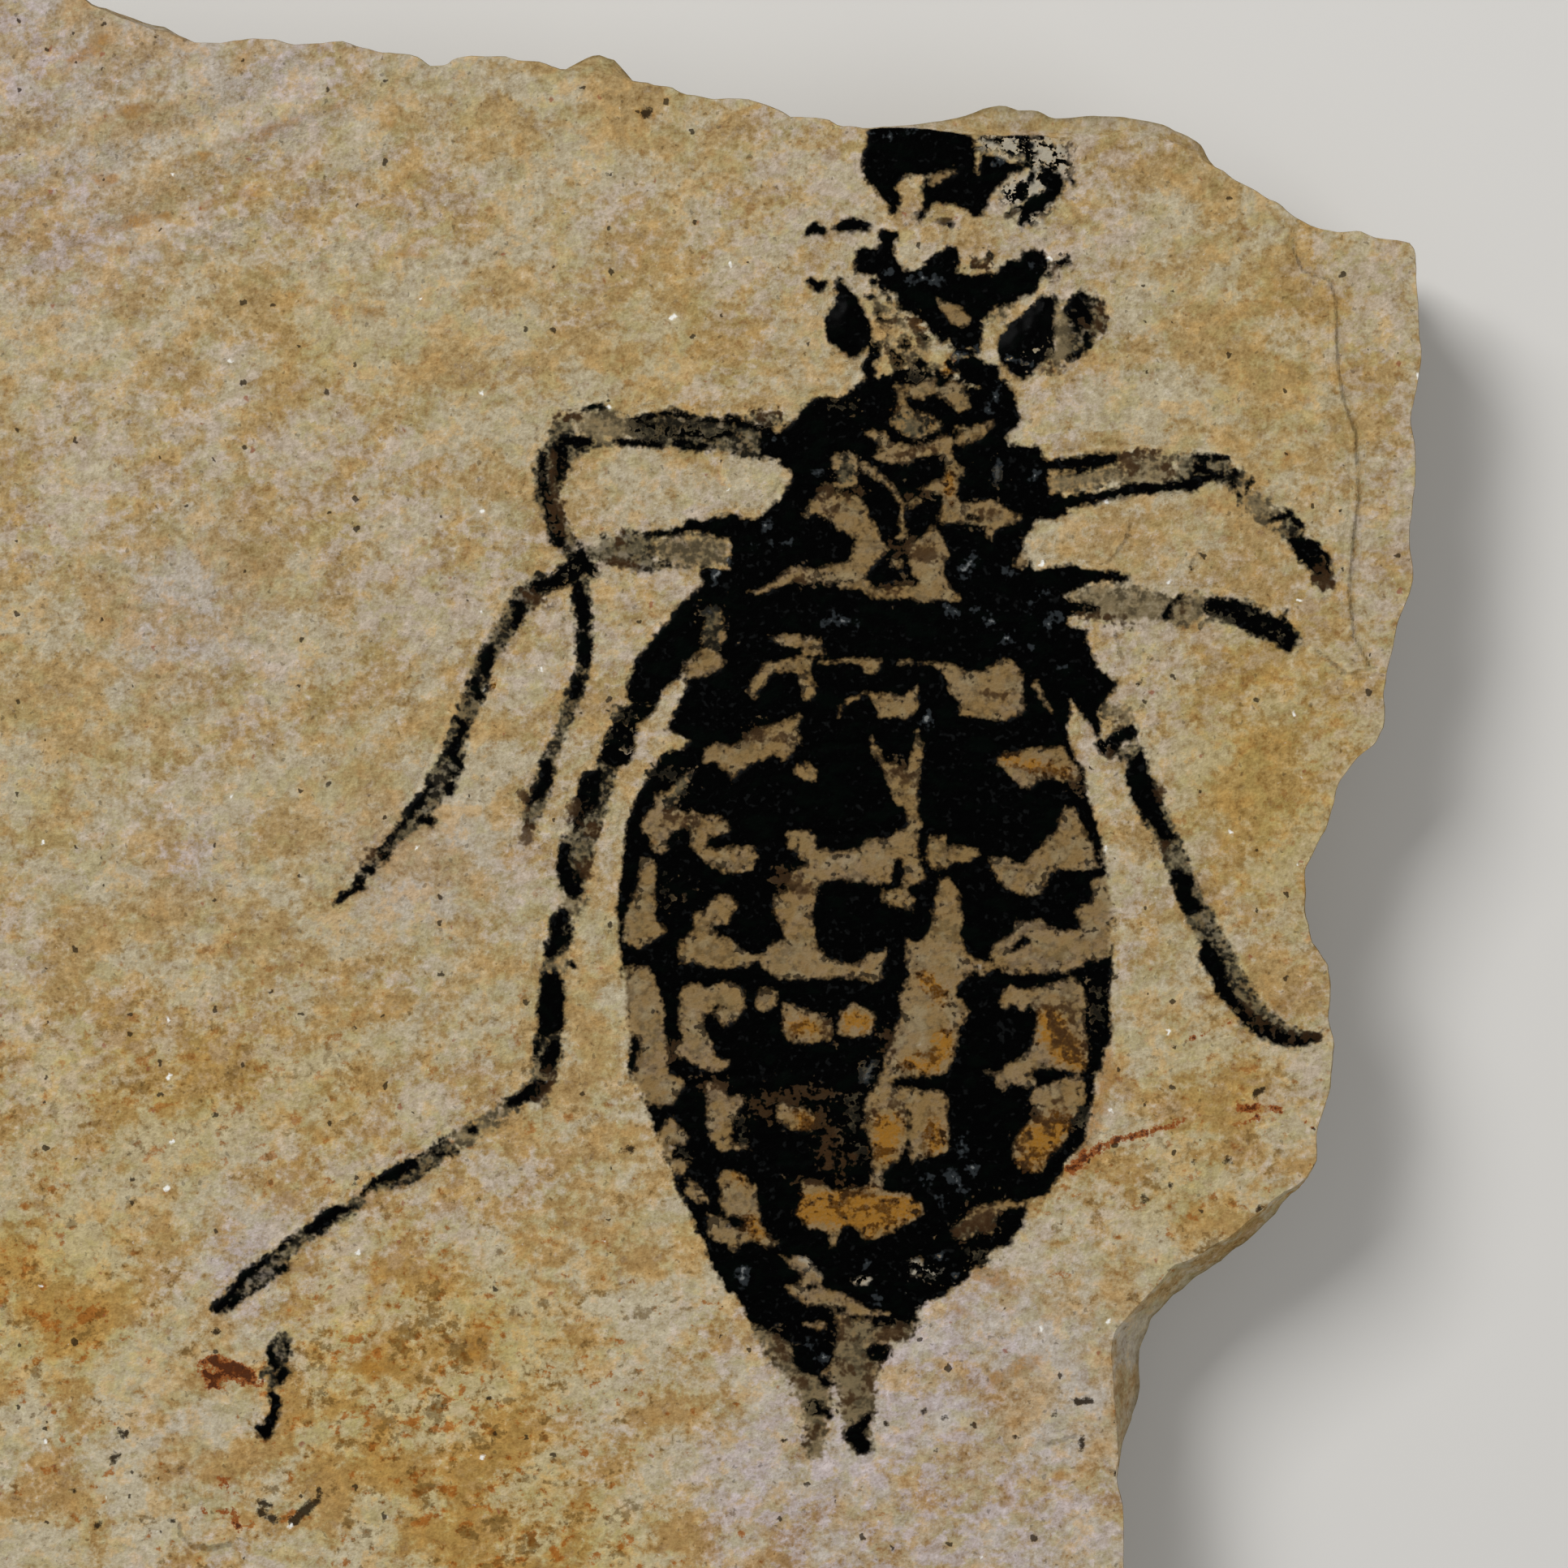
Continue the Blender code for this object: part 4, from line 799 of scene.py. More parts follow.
    [(8.5, -19.5), (9.0, -19.5), (9.4, -19.4), (9.5, -19.7), (9.2, -19.85)],
    [(7.0, -19.9), (7.9, -20.4), (8.0, -21.2), (8.4, -21.7), (9.0, -21.9), (9.7, -21.3), (10.0, -20.0),
     (10.0, -19.4), (11.4, -19.3), (11.6, -19.7), (13.2, -19.5), (13.8, -19.2), (13.8, -19.9),
     (12.6, -20.4), (12.2, -22.5), (11.9, -25.8), (8.2, -25.9), (7.6, -22.2), (6.2, -20.6), (6.0, -19.6),
     (6.6, -19.6)],
    [(13.1, -16.7), (13.6, -16.55), (13.75, -16.9), (13.6, -17.4), (13.2, -17.3), (13.4, -17.0)],
    [(10.6, -17.6), (11.0, -17.45), (11.5, -17.5), (11.4, -17.75), (10.8, -17.8)],
]
ABDOMEN_ISLANDS = [
    [(12.4, -8.65), (15.0, -8.6), (15.0, -9.0), (14.2, -9.05), (13.8, -9.2), (13.3, -9.0), (12.6, -8.95)],
    [(19.9, 0.6), (20.5, 0.3), (21.1, 0.4), (21.2, -0.2), (21.0, -0.8), (20.5, -0.95), (20.6, -1.6),
     (20.3, -2.0), (19.7, -1.9), (19.4, -1.4), (18.9, -1.1), (18.7, -0.8), (19.2, -0.5), (19.4, 0.2)],
    [(17.6, -2.7), (18.2, -2.3), (18.5, -2.5), (18.2, -2.8), (17.8, -3.0)],
    [(7.7, -19.9), (8.0, -20.3), (8.1, -21.1), (8.8, -21.6), (9.2, -21.4), (9.2, -20.8), (9.7, -20.9),
     (9.9, -20.3), (9.9, -19.8)], [(9.0, -21.8), (9.5, -21.9), (9.8, -22.2), (9.4, -22.3), (9.1, -22.1)],
]
ABDOMEN_STROKES = [
    [(0.4, -1.1, 0.25), (0.35, -2.6, 0.12)],
    [(0.95, -6.7, 0.15), (1.0, -7.2, 0.4), (0.85, -7.8, 0.2), (0.85, -8.2, 0.35)],
    [(2.6, -5.8, 0.5), (2.75, -6.6, 0.55), (2.6, -7.2, 0.25), (2.55, -7.8, 0.15)],
    [(4.5, -5.4, 0.2), (4.5, -5.5, 0.2)], [(13.55, 2.3, 0.12), (13.9, 0.7, 0.12)],
    [(20.1, 6.6, 0.12), (20.3, 5.8, 0.15), (20.8, 5.0, 0.12)],
    [(20.9, 3.4, 0.35), (21.15, 2.9, 0.35), (21.35, 2.0, 0.2), (21.6, 0.8, 0.2)],
    [(21.9, -3.5, 0.35), (21.7, -4.4, 0.5), (21.4, -5.3, 0.45)],
    [(21.5, -7.0, 0.4), (21.4, -7.6, 0.6), (21.4, -8.0, 0.4)],
    [(21.25, -8.6, 0.25), (21.15, -9.2, 0.3), (21.1, -9.8, 0.15)], [(20.7, -10.9, 0.4), (20.6, -11.4, 0.5)],
    [(20.1, -12.0, 0.4), (19.6, -12.6, 0.5)], [(2.85, -13.1, 0.3), (3.1, -13.4, 0.4)],
    [(13.15, -10.1, 0.1), (13.1, -11.9, 0.12)], [(7.8, -17.4, 0.3), (8.2, -17.4, 0.3)],
    [(10.0, -18.9, 0.25), (10.3, -18.9, 0.25)], [(8.8, -17.9, 0.3), (9.0, -17.9, 0.2)],
    [(11.7, -20.8, 0.8), (11.9, -20.75, 0.8)], [(8.9, -23.2, 0.7), (9.0, -23.35, 0.6)],
    [(9.45, -23.4, 0.4), (9.6, -23.6, 0.25)], [(10.6, -24.5, 0.6), (11.0, -24.1, 0.6), (11.4, -23.6, 0.3)],
    [(10.8, -24.5, 0.7), (11.1, -24.9, 0.8)], [(10.7, -13.0, 0.6), (11.2, -13.0, 0.5)],
]
# Thin breaks in the black where a line of stone shows.
ABDOMEN_SLITS = [
    [(9.1, 9.8, 0.12), (10.5, 9.95, 0.14)], [(10.0, 7.5, 0.1), (10.1, 7.9, 0.16), (11.2, 8.5, 0.14)],
    [(12.7, 9.75, 0.14), (12.9, 9.9, 0.2), (13.4, 9.8, 0.14), (14.0, 9.8, 0.14)],
]
ABDOMEN_THIN = [
    [(1.7, 5.0, 0.5), (3.2, 4.6, 0.5), (2.5, 3.6, 0.5)], [(2.3, 0.6, 0.15), (2.35, -0.9, 0.15)],
    [(3.4, -0.2, 0.2), (3.5, -0.7, 0.2)], [(5.7, -10.7, 0.3), (5.8, -11.3, 0.3)],
    [(2.9, -11.8, 0.3), (3.2, -12.0, 0.3)], [(9.4, -11.4, 0.8), (9.5, -12.2, 0.8)],
    [(10.7, -9.6, 0.5), (10.6, -10.9, 0.6), (10.9, -12.2, 0.5)], [(11.6, -7.9, 0.3), (11.2, -8.5, 0.5)],
    [(15.3, -15.4, 1.0), (16.6, -15.0, 0.9)], [(15.9, -16.3, 0.7), (16.4, -16.6, 0.6)],
    [(20.9, -10.0, 0.3), (20.7, -10.7, 0.4)], [(13.4, -17.2, 0.4), (14.5, -17.3, 0.4)],
    [(21.6, -4.8, 0.5), (21.7, -6.2, 0.5)], [(10.8, -21.4, 0.8), (10.9, -23.2, 0.8)],
    [(8.6, -22.4, 0.4), (9.1, -24.4, 0.4)],
]
# The olive-grey skin of the two tail points.
TAIL = [
    [(6.6, -19.9, 0.9), (7.4, -20.5, 1.2), (7.8, -21.4, 1.2), (8.8, -22.4, 1.6), (9.0, -23.0, 1.3),
     (9.0, -24.3, 0.9), (9.0, -25.2, 0.8)], [(10.4, -19.8, 0.9), (11.4, -19.9, 0.9), (12.9, -19.8, 0.9)],
    [(10.4, -20.4, 1.4), (10.8, -21.6, 2.0), (10.9, -22.6, 1.7), (10.9, -23.6, 1.5), (10.9, -24.6, 1.2)],
]
ABDOMEN_OCHRE = [
    [(8.7, -14.4, 1.5), (10.2, -14.4, 1.9), (12.0, -14.5, 1.8), (13.2, -14.4, 1.1)],
    [(11.3, -15.3, 0.8), (11.4, -15.6, 0.5)], [(8.2, -10.2, 0.5), (8.6, -10.6, 0.9)],
    [(8.0, -6.3, 0.7), (8.9, -6.4, 0.6)], [(10.5, -6.1, 0.9), (11.1, -6.1, 0.9)],
    [(19.4, -6.2, 1.5), (20.1, -7.4, 1.4), (20.7, -7.9, 0.7)],
    [(18.6, -11.4, 1.5), (19.8, -10.7, 1.3), (18.5, -12.3, 1.2)], [(13.9, -4.2, 0.7), (14.4, -4.9, 0.7)],
    [(14.7, -6.9, 0.8), (14.5, -7.6, 0.8)], [(12.2, -10.8, 1.3), (12.0, -11.8, 1.1)],
    [(14.3, -10.8, 0.8), (14.3, -11.7, 0.8)], [(17.4, 5.5, 0.4), (18.9, 5.2, 0.5), (20.2, 4.9, 0.3)],
    [(6.1, -15.1, 0.8), (6.5, -15.5, 0.6)], [(5.4, -12.9, 0.4), (5.8, -13.1, 0.3)],
    [(13.3, -8.0, 0.7), (14.3, -8.1, 0.6)], [(10.8, -19.9, 0.6), (12.0, -20.0, 0.4)],
    [(9.2, -24.0, 0.5), (9.2, -24.3, 0.4)],
]
ABDOMEN_BROWN = [
    [(6.1, 6.7, 0.4), (7.6, 6.5, 0.3)], [(12.5, 5.1, 0.4), (13.0, 4.6, 0.5)],
    [(16.5, 8.5, 0.3), (17.3, 8.3, 0.3)], [(2.4, 2.8, 0.5), (3.3, 2.8, 0.5)],
    [(20.4, 4.6, 0.3), (20.9, 4.3, 0.3)], [(11.6, -9.9, 0.15), (12.5, -9.8, 0.25)],
    [(4.1, -8.9, 0.4), (4.8, -8.9, 0.4)], [(6.4, -9.8, 0.6), (6.9, -10.3, 0.5)],
    [(6.9, -9.4, 0.5), (9.5, -9.3, 0.4)], [(9.3, -10.2, 0.4), (9.2, -11.0, 0.3)],
    [(15.4, -15.3, 0.5), (16.4, -14.8, 0.7), (16.6, -15.3, 0.4)], [(18.8, -10.3, 0.3), (19.3, -10.7, 0.5)],
    [(19.5, -9.7, 0.3), (19.8, -9.7, 0.3)], [(10.2, -19.5, 0.5), (10.2, -20.2, 0.4)],
    [(11.3, -22.2, 0.6), (11.5, -21.9, 0.4)], [(10.4, -22.9, 0.4), (10.6, -22.8, 0.3)],
    [(8.1, -22.0, 0.5), (8.3, -22.1, 0.4)], [(8.9, -24.3, 0.4), (8.9, -24.5, 0.4)],
    [(7.2, -20.2, 0.4), (7.6, -20.9, 0.5)], [(11.4, -21.4, 0.3), (11.5, -22.4, 0.4)],
    [(10.3, -23.0, 0.4), (10.5, -23.1, 0.3)], [(10.2, -21.4, 0.3), (10.4, -21.6, 0.3)],
    [(15.4, -15.5, 0.5), (15.9, -15.2, 0.4)], [(19.0, -5.4, 0.4), (20.4, -5.6, 0.5), (20.5, -6.6, 0.4)],
    [(19.6, -7.2, 0.5), (20.6, -7.4, 0.4)], [(18.2, -11.4, 0.4), (18.4, -12.2, 0.4)],
    [(9.6, -10.9, 0.5), (9.5, -12.4, 0.6)], [(10.4, -12.0, 0.4), (10.3, -12.8, 0.4)],
    [(8.2, -13.2, 0.3), (10.4, -13.4, 0.2)], [(4.5, -9.0, 0.3)], [(9.2, -6.2, 0.3), (9.6, -6.6, 0.3)],
    [(2.6, -7.1, 0.3), (2.6, -7.7, 0.3)], [(12.3, -6.6, 0.3), (12.2, -7.3, 0.3)],
    [(7.5, 0.3, 0.6), (8.4, -0.3, 0.7)], [(16.2, -14.5, 0.6), (16.9, -14.4, 0.5)], [(8.1, -9.3, 0.8)],
    [(12.0, -20.0, 0.6), (12.6, -19.9, 0.5)], [(19.6, -6.4, 0.7), (20.3, -7.0, 0.7)], [(8.3, 13.6, 0.5)],
]
# Painted highlights: grey and white glints of light laid as colour on the black film.
ABDOMEN_GLINTS = [
    [(13.9, 7.4, 0.3), (14.1, 7.0, 0.2)], [(15.1, -12.9, 0.3), (15.4, -13.6, 0.35)], [(13.9, -13.1, 0.4)],
    [(14.6, -14.0, 0.4)], [(14.6, -16.55, 0.25)], [(11.3, -16.8, 0.2)], [(11.75, -18.5, 0.25)],
    [(15.1, -17.3, 0.2)], [(11.2, -8.6, 0.4), (11.5, -8.0, 0.3)], [(5.8, -17.0, 0.3), (5.75, -17.5, 0.3)],
    [(8.8, -20.4, 0.2)], [(9.35, -21.0, 0.3)], [(15.4, -11.2, 0.2), (15.5, -11.8, 0.2)],
    [(16.0, -12.6, 0.3)], [(20.2, 9.4, 0.25)], [(17.5, 10.9, 0.4)], [(18.6, 10.6, 0.3)],
]

# The thorax: the narrower black film between abdomen and head, with the roots of all six legs. It is
# pressed on the stone, with large windows down its middle and scraps left towards the head.
THORAX = [
    (11.2, 22.3), (10.6, 22.0), (10.0, 21.5), (9.5, 21.65), (9.0, 21.5), (8.4, 21.15), (8.1, 20.6),
    (7.7, 20.2), (7.3, 20.1), (6.5, 20.3), (6.5, 18.9), (6.8, 18.95), (7.4, 18.9), (7.5, 18.5),
    (7.9, 18.35), (8.0, 18.0), (7.4, 17.1), (6.6, 16.4), (6.3, 16.2), (6.0, 16.15), (5.4, 16.4),
    (4.5, 16.25), (4.0, 16.05), (3.3, 16.15), (3.1, 15.8), (5.2, 15.4), (5.2, 14.0), (3.9, 14.0),
    (4.0, 13.3), (3.7, 13.0), (3.0, 12.5), (2.5, 11.7), (1.4, 10.45), (0.93, 9.8), (0.57, 8.5), (0.6, 8.3),
    (0.9, 8.0), (1.4, 8.0), (1.8, 7.9), (2.0, 8.1), (2.2, 8.5), (3.0, 9.2), (3.1, 9.9), (3.2, 9.0),
    (4.0, 8.4), (20.3, 8.2), (21.1, 7.2), (21.5, 7.2), (21.5, 7.6), (21.7, 8.1), (22.1, 8.5), (22.3, 9.0),
    (21.5, 9.6), (21.0, 10.7), (21.0, 11.2), (20.1, 11.5), (20.2, 11.9), (21.4, 12.05), (21.6, 12.2),
    (20.9, 12.3), (20.3, 12.5), (20.0, 12.85), (21.3, 13.45), (22.5, 13.5), (22.5, 13.85), (20.6, 14.0),
    (20.2, 14.25), (19.7, 13.9), (19.1, 13.85), (18.6, 14.0), (18.1, 15.3), (18.5, 15.6), (18.7, 16.0),
    (19.0, 16.2), (19.6, 16.2), (20.2, 16.4), (20.2, 16.8), (19.4, 18.1), (19.1, 18.8), (19.05, 19.2),
    (18.8, 19.4), (17.6, 19.45), (17.4, 19.8), (17.5, 20.1), (17.9, 20.2), (18.1, 20.6), (17.9, 21.2),
    (17.8, 21.8), (17.6, 22.2), (17.1, 22.4), (16.2, 22.0), (15.9, 22.1), (15.5, 22.4), (14.9, 22.6),
    (12.9, 22.8), (12.3, 22.4),
]
THORAX_WINDOWS = [
    [(8.4, 16.4), (8.9, 17.1), (9.2, 17.4), (10.2, 17.2), (10.9, 17.2), (11.3, 16.8), (11.5, 16.2),
     (11.8, 15.8), (11.9, 15.2), (12.3, 15.0), (11.3, 13.8), (11.4, 13.4), (11.1, 13.1), (10.6, 13.05),
     (10.1, 13.1), (9.9, 13.4), (9.6, 13.2), (9.2, 13.4), (8.8, 13.3), (8.4, 13.3), (8.0, 13.5),
     (7.0, 13.0), (6.4, 12.85), (6.0, 12.9), (6.7, 13.2), (7.2, 13.5), (7.6, 13.9), (8.0, 14.1),
     (8.8, 14.0), (9.4, 14.05), (10.4, 14.3), (10.9, 15.3), (10.1, 15.7), (9.8, 16.0), (9.0, 16.5),
     (8.6, 16.2)],
    [(9.7, 18.9), (9.9, 19.1), (10.5, 19.2), (10.9, 18.9), (10.8, 17.5), (10.2, 17.2), (9.4, 17.3),
     (9.3, 17.7), (10.0, 17.8), (10.0, 18.2), (9.7, 18.5)],
    [(11.0, 18.75), (11.4, 18.6), (12.4, 17.8), (12.9, 17.0), (13.0, 16.6), (12.9, 15.7), (13.1, 15.5),
     (13.2, 15.1), (13.3, 15.1), (14.0, 15.6), (14.1, 15.9), (14.3, 15.9), (14.8, 15.0), (14.9, 14.6),
     (14.7, 14.2), (14.6, 13.7), (15.3, 12.9), (15.4, 12.6), (15.0, 12.5), (14.4, 12.6), (13.5, 12.4),
     (13.2, 12.7), (12.0, 12.65), (11.5, 12.7), (11.2, 13.0), (11.5, 13.2), (12.1, 13.1), (13.3, 13.3),
     (13.2, 13.6), (13.3, 13.9), (13.2, 14.4), (13.0, 14.9), (12.6, 15.4), (12.6, 15.7), (12.8, 16.6),
     (12.6, 17.1), (12.2, 17.6), (11.6, 18.0), (11.1, 18.2), (11.0, 18.4)],
    [(12.4, 13.5), (12.9, 13.7), (12.8, 14.3), (12.4, 14.5), (12.2, 13.9)],
    [(12.3, 20.4), (12.5, 20.9), (12.6, 21.5), (12.5, 21.9), (13.0, 21.9), (13.0, 21.2), (13.4, 20.9),
     (14.0, 20.9), (14.5, 20.5), (14.6, 20.2), (13.5, 19.7), (13.0, 19.9)],
    [(11.1, 20.1), (11.7, 20.1), (12.1, 20.0), (12.4, 19.6), (13.5, 19.4), (14.2, 19.6), (14.6, 20.0),
     (15.0, 19.8), (15.1, 18.9), (15.3, 18.6), (15.6, 18.5), (15.6, 18.2), (15.3, 18.0), (15.4, 17.7),
     (15.2, 17.3), (15.5, 16.9), (16.0, 16.9), (16.5, 17.05), (17.0, 17.0), (17.6, 16.5), (18.1, 16.4),
     (18.1, 16.1), (17.6, 15.9), (17.2, 15.9), (16.9, 15.6), (16.8, 15.2), (16.6, 15.4), (16.5, 15.8),
     (15.9, 15.95), (15.2, 16.0), (14.7, 15.9), (14.4, 16.1), (14.6, 16.6), (14.6, 17.1), (14.4, 17.3),
     (13.8, 17.4), (13.7, 17.6), (14.7, 18.0), (14.8, 18.4), (14.7, 19.0), (14.2, 19.1), (13.4, 18.9),
     (13.1, 18.6), (12.0, 18.75), (11.5, 19.0), (12.0, 19.2)],
    [(13.1, 16.95), (13.5, 17.1), (13.75, 17.0), (13.4, 16.75), (13.1, 16.7)],
    [(12.5, 22.1), (13.6, 22.4), (14.3, 22.5), (15.0, 22.4), (15.5, 22.2), (15.8, 21.7), (15.8, 21.1),
     (15.3, 20.9), (14.7, 21.5), (14.2, 21.7), (13.6, 21.5), (13.0, 21.6), (12.9, 21.9)],
    [(15.2, 20.3), (15.8, 20.3), (16.9, 20.6), (17.0, 20.4), (16.1, 19.6), (15.6, 19.35), (15.3, 19.5),
     (15.3, 19.9)], [(17.7, 14.2), (18.3, 14.9), (18.6, 14.6), (18.4, 14.1), (18.1, 13.9)],
    [(3.2, 9.9), (4.2, 10.6), (4.6, 10.4), (4.95, 9.9), (4.8, 9.5), (4.4, 9.3), (3.3, 9.05)],
    [(3.9, 10.7), (4.3, 12.3), (4.8, 12.2), (5.0, 11.0), (4.7, 10.5)],
]
THORAX_ISLANDS = [
    [(2.0, 7.9), (0.9, 8.0), (0.3, 7.7), (-0.35, 6.5), (-0.65, 5.6), (-0.4, 5.3), (0.0, 5.1), (0.6, 5.3),
     (0.85, 5.6), (1.1, 7.0)],
    [(11.3, 24.0), (11.8, 24.0), (11.9, 23.5), (11.8, 23.2), (11.5, 23.1), (11.5, 22.7), (11.7, 22.45),
     (12.7, 22.4), (12.9, 22.8), (13.5, 22.8), (13.9, 22.7), (13.9, 22.4), (13.4, 22.1), (12.7, 22.1),
     (12.2, 22.2), (10.6, 22.0), (11.2, 22.3), (11.1, 23.1), (11.3, 23.5)],
    [(15.2, 23.2), (15.6, 23.4), (16.0, 23.5), (16.7, 23.0), (17.1, 23.0), (17.2, 22.7), (17.1, 22.3),
     (17.5, 22.1), (17.6, 21.7), (15.9, 22.1), (15.5, 22.4), (15.2, 22.8)],
]
THORAX_STROKES = [
    [(11.5, 13.5, 0.4), (11.9, 13.8, 0.9), (12.5, 13.6, 0.8)], [(13.0, 13.7, 0.3), (13.4, 13.4, 0.35)],
    [(9.8, 17.5, 0.3), (10.9, 17.4, 0.5)], [(11.4, 17.2, 0.7), (11.9, 16.5, 1.1), (12.4, 15.7, 0.8)],
    [(12.2, 15.1, 0.4), (12.9, 15.2, 0.4)], [(9.6, 20.9, 0.3), (10.6, 21.6, 0.3)],
    [(15.8, 16.3, 0.3), (16.2, 16.2, 0.2)], [(12.3, 20.7, 0.3), (12.4, 21.2, 0.3)],
]
# Small black scraps between head and thorax, and last of all the feeler's dab.
NECK_SCRAPS = [
    [(12.4, 23.6, 0.4), (12.6, 23.1, 0.5)], [(12.9, 24.3, 0.3), (13.1, 23.9, 0.3)],
    [(12.6, 22.6, 0.5), (13.4, 22.55, 0.7), (13.6, 22.9, 0.3)],
    [(11.75, 25.3, 0.25), (11.95, 25.0, 0.3), (12.2, 25.0, 0.2)], [(11.2, 26.1, 0.2), (11.6, 26.0, 0.15)],
    [(15.3, 23.65, 0.35), (16.0, 23.6, 0.4)], [(14.9, 23.2, 0.2), (15.1, 22.9, 0.2)],
    [(14.5, 22.2, 0.3), (15.0, 22.5, 0.3)], [(12.0, 22.5, 0.3), (12.4, 22.3, 0.3)],
    [(13.6, 24.4, 0.15), (13.9, 24.2, 0.2)], [(11.6, 23.7, 0.4), (11.6, 23.3, 0.3)], [(11.4, 22.7, 0.5)],
    [(13.5, 23.2, 0.35), (13.8, 23.0, 0.3)], [(12.9, 23.9, 0.3)], [(14.4, 22.6, 0.3), (14.6, 22.4, 0.3)],
    [(11.8, 25.1, 0.3)], [(14.2, 24.6, 0.3), (14.6, 24.3, 0.4)], [(12.7, 23.3, 0.4), (12.9, 23.1, 0.3)],
    [(16.2, 23.9, 0.25)], [(8.75, 26.75, 0.3), (9.1, 26.5, 0.5), (9.45, 26.6, 0.25)],
]
THORAX_THIN = [
    [(4.4, 10.9, 0.9), (4.5, 12.0, 0.9)], [(0.3, 7.5, 0.8), (0.6, 7.5, 0.7)],
    [(0.65, 6.3, 0.4), (0.7, 6.6, 0.4)], [(10.3, 18.0, 0.7), (10.4, 18.5, 0.8)], [(12.4, 20.6, 0.3)],
    [(9.7, 21.2, 0.2), (10.7, 21.1, 0.2)], [(17.0, 17.9, 0.3), (17.0, 18.7, 0.3)],
    [(13.2, 20.4, 1.0), (13.7, 20.3, 0.9)], [(11.8, 23.9, 0.3)], [(13.2, 22.5, 0.3), (13.4, 22.5, 0.2)],
    [(6.1, 20.7, 0.5), (7.2, 20.7, 0.7)],
]
THORAX_BROWN = [
    [(9.3, 17.4, 0.3), (10.9, 17.4, 0.4)], [(9.4, 16.6, 0.2), (10.0, 16.6, 0.25)],
    [(13.4, 14.6, 0.6), (14.1, 14.7, 0.7)], [(12.3, 14.9, 0.5), (13.3, 15.0, 0.5)],
    [(12.2, 13.1, 0.3), (13.0, 13.1, 0.3)], [(12.3, 23.5, 0.4), (12.7, 23.0, 0.3)],
    [(13.4, 24.9, 0.3), (13.7, 24.6, 0.2)], [(13.2, 17.2, 0.2), (13.7, 17.3, 0.2)],
    [(13.1, 24.15, 0.3), (13.35, 24.15, 0.3)], [(12.0, 25.0, 0.35), (12.15, 25.0, 0.3)],
    [(6.6, 20.9, 0.3), (7.3, 20.9, 0.3)], [(12.6, 19.0, 0.3), (14.5, 19.4, 0.25)],
    [(16.0, 16.4, 0.3), (17.0, 16.5, 0.3)],
]
THORAX_OCHRE = [
    [(13.3, 24.7, 0.4), (13.8, 24.75, 0.4)], [(14.8, 22.5, 0.5), (14.8, 23.1, 0.4)], [(12.2, 21.1, 0.5)],
    [(13.3, 20.5, 0.4), (14.0, 20.4, 0.4)], [(14.9, 18.1, 0.3), (15.0, 17.2, 0.4)],
]
THORAX_GLINTS = [
    [(6.75, 15.95, 0.4)], [(7.2, 19.7, 0.35)], [(7.3, 15.1, 0.2), (7.8, 15.1, 0.2)], [(9.1, 18.25, 0.25)],
    [(4.4, 12.1, 0.25)], [(6.4, 15.1, 0.2)], [(18.7, 18.1, 0.3)], [(15.5, 13.8, 0.4), (16.0, 14.4, 0.3)],
    [(17.5, 13.9, 0.3)], [(16.0, 12.3, 0.25)], [(16.6, 11.75, 0.4), (17.0, 11.6, 0.3)], [(18.6, 12.3, 0.3)],
    [(19.1, 12.9, 0.25)], [(19.4, 11.5, 0.25)], [(19.7, 11.8, 0.25)],
    [(14.8, 12.2, 0.2), (15.2, 12.1, 0.2)], [(9.4, 11.6, 0.2), (10.6, 11.6, 0.3)], [(16.9, 21.6, 0.3)],
    [(16.7, 21.0, 0.2)], [(17.1, 22.0, 0.2)], [(5.0, 14.6, 0.4), (4.6, 13.6, 0.3)],
    [(17.0, 18.0, 0.3), (17.1, 18.7, 0.3)],
]

# The head: a ragged black cap of film on the stone, with faint skin behind it down to the neck, and
# the dots of the feelers ahead of it on the left.
HEAD = [
    (11.9, 29.0), (12.2, 29.05), (12.7, 28.9), (12.4, 28.0), (12.9, 27.3), (13.4, 27.25), (13.7, 27.3),
    (13.9, 27.7), (14.5, 28.0), (15.0, 28.35), (15.3, 28.1), (15.4, 27.8), (15.3, 27.1), (16.0, 27.0),
    (16.5, 27.1), (17.0, 27.1), (17.5, 27.7), (18.0, 27.6), (18.2, 28.0), (18.7, 28.1), (19.1, 28.1),
    (19.2, 27.7), (19.4, 27.5), (19.2, 27.0), (18.9, 26.7), (18.7, 26.3), (18.4, 26.1), (18.0, 26.0),
    (17.8, 25.8), (16.9, 25.6), (16.7, 25.2), (16.4, 24.9), (16.3, 24.0), (16.2, 23.7), (15.5, 23.7),
    (15.0, 23.8), (15.0, 24.2), (14.6, 24.4), (14.2, 24.5), (13.4, 25.2), (12.6, 25.6), (12.6, 26.0),
    (12.3, 26.35), (11.9, 26.3), (11.7, 26.6), (11.7, 27.05), (11.2, 27.0), (10.8, 27.1), (10.75, 28.1),
    (10.9, 28.3), (11.8, 28.1), (11.9, 28.4), (11.8, 28.8),
]
HEAD_WINDOWS = [
    [(14.3, 26.0), (14.7, 25.9), (15.5, 25.5), (15.8, 25.2), (15.8, 24.9), (15.4, 24.7), (15.0, 24.9),
     (14.5, 25.5)],
]
HEAD_STROKES = [
    [(8.6, 28.85, 0.25), (8.9, 29.1, 0.5), (9.35, 28.9, 0.35)],
    [(9.95, 29.1, 0.35), (10.4, 29.25, 0.55), (11.15, 29.2, 0.5)], [(15.0, 29.25, 0.25), (14.6, 29.4, 0.2)],
    [(19.7, 27.5, 0.3), (20.1, 27.6, 0.35)], [(19.2, 27.3, 0.3), (19.4, 27.0, 0.2)], [(11.6, 26.7, 0.35)],
]
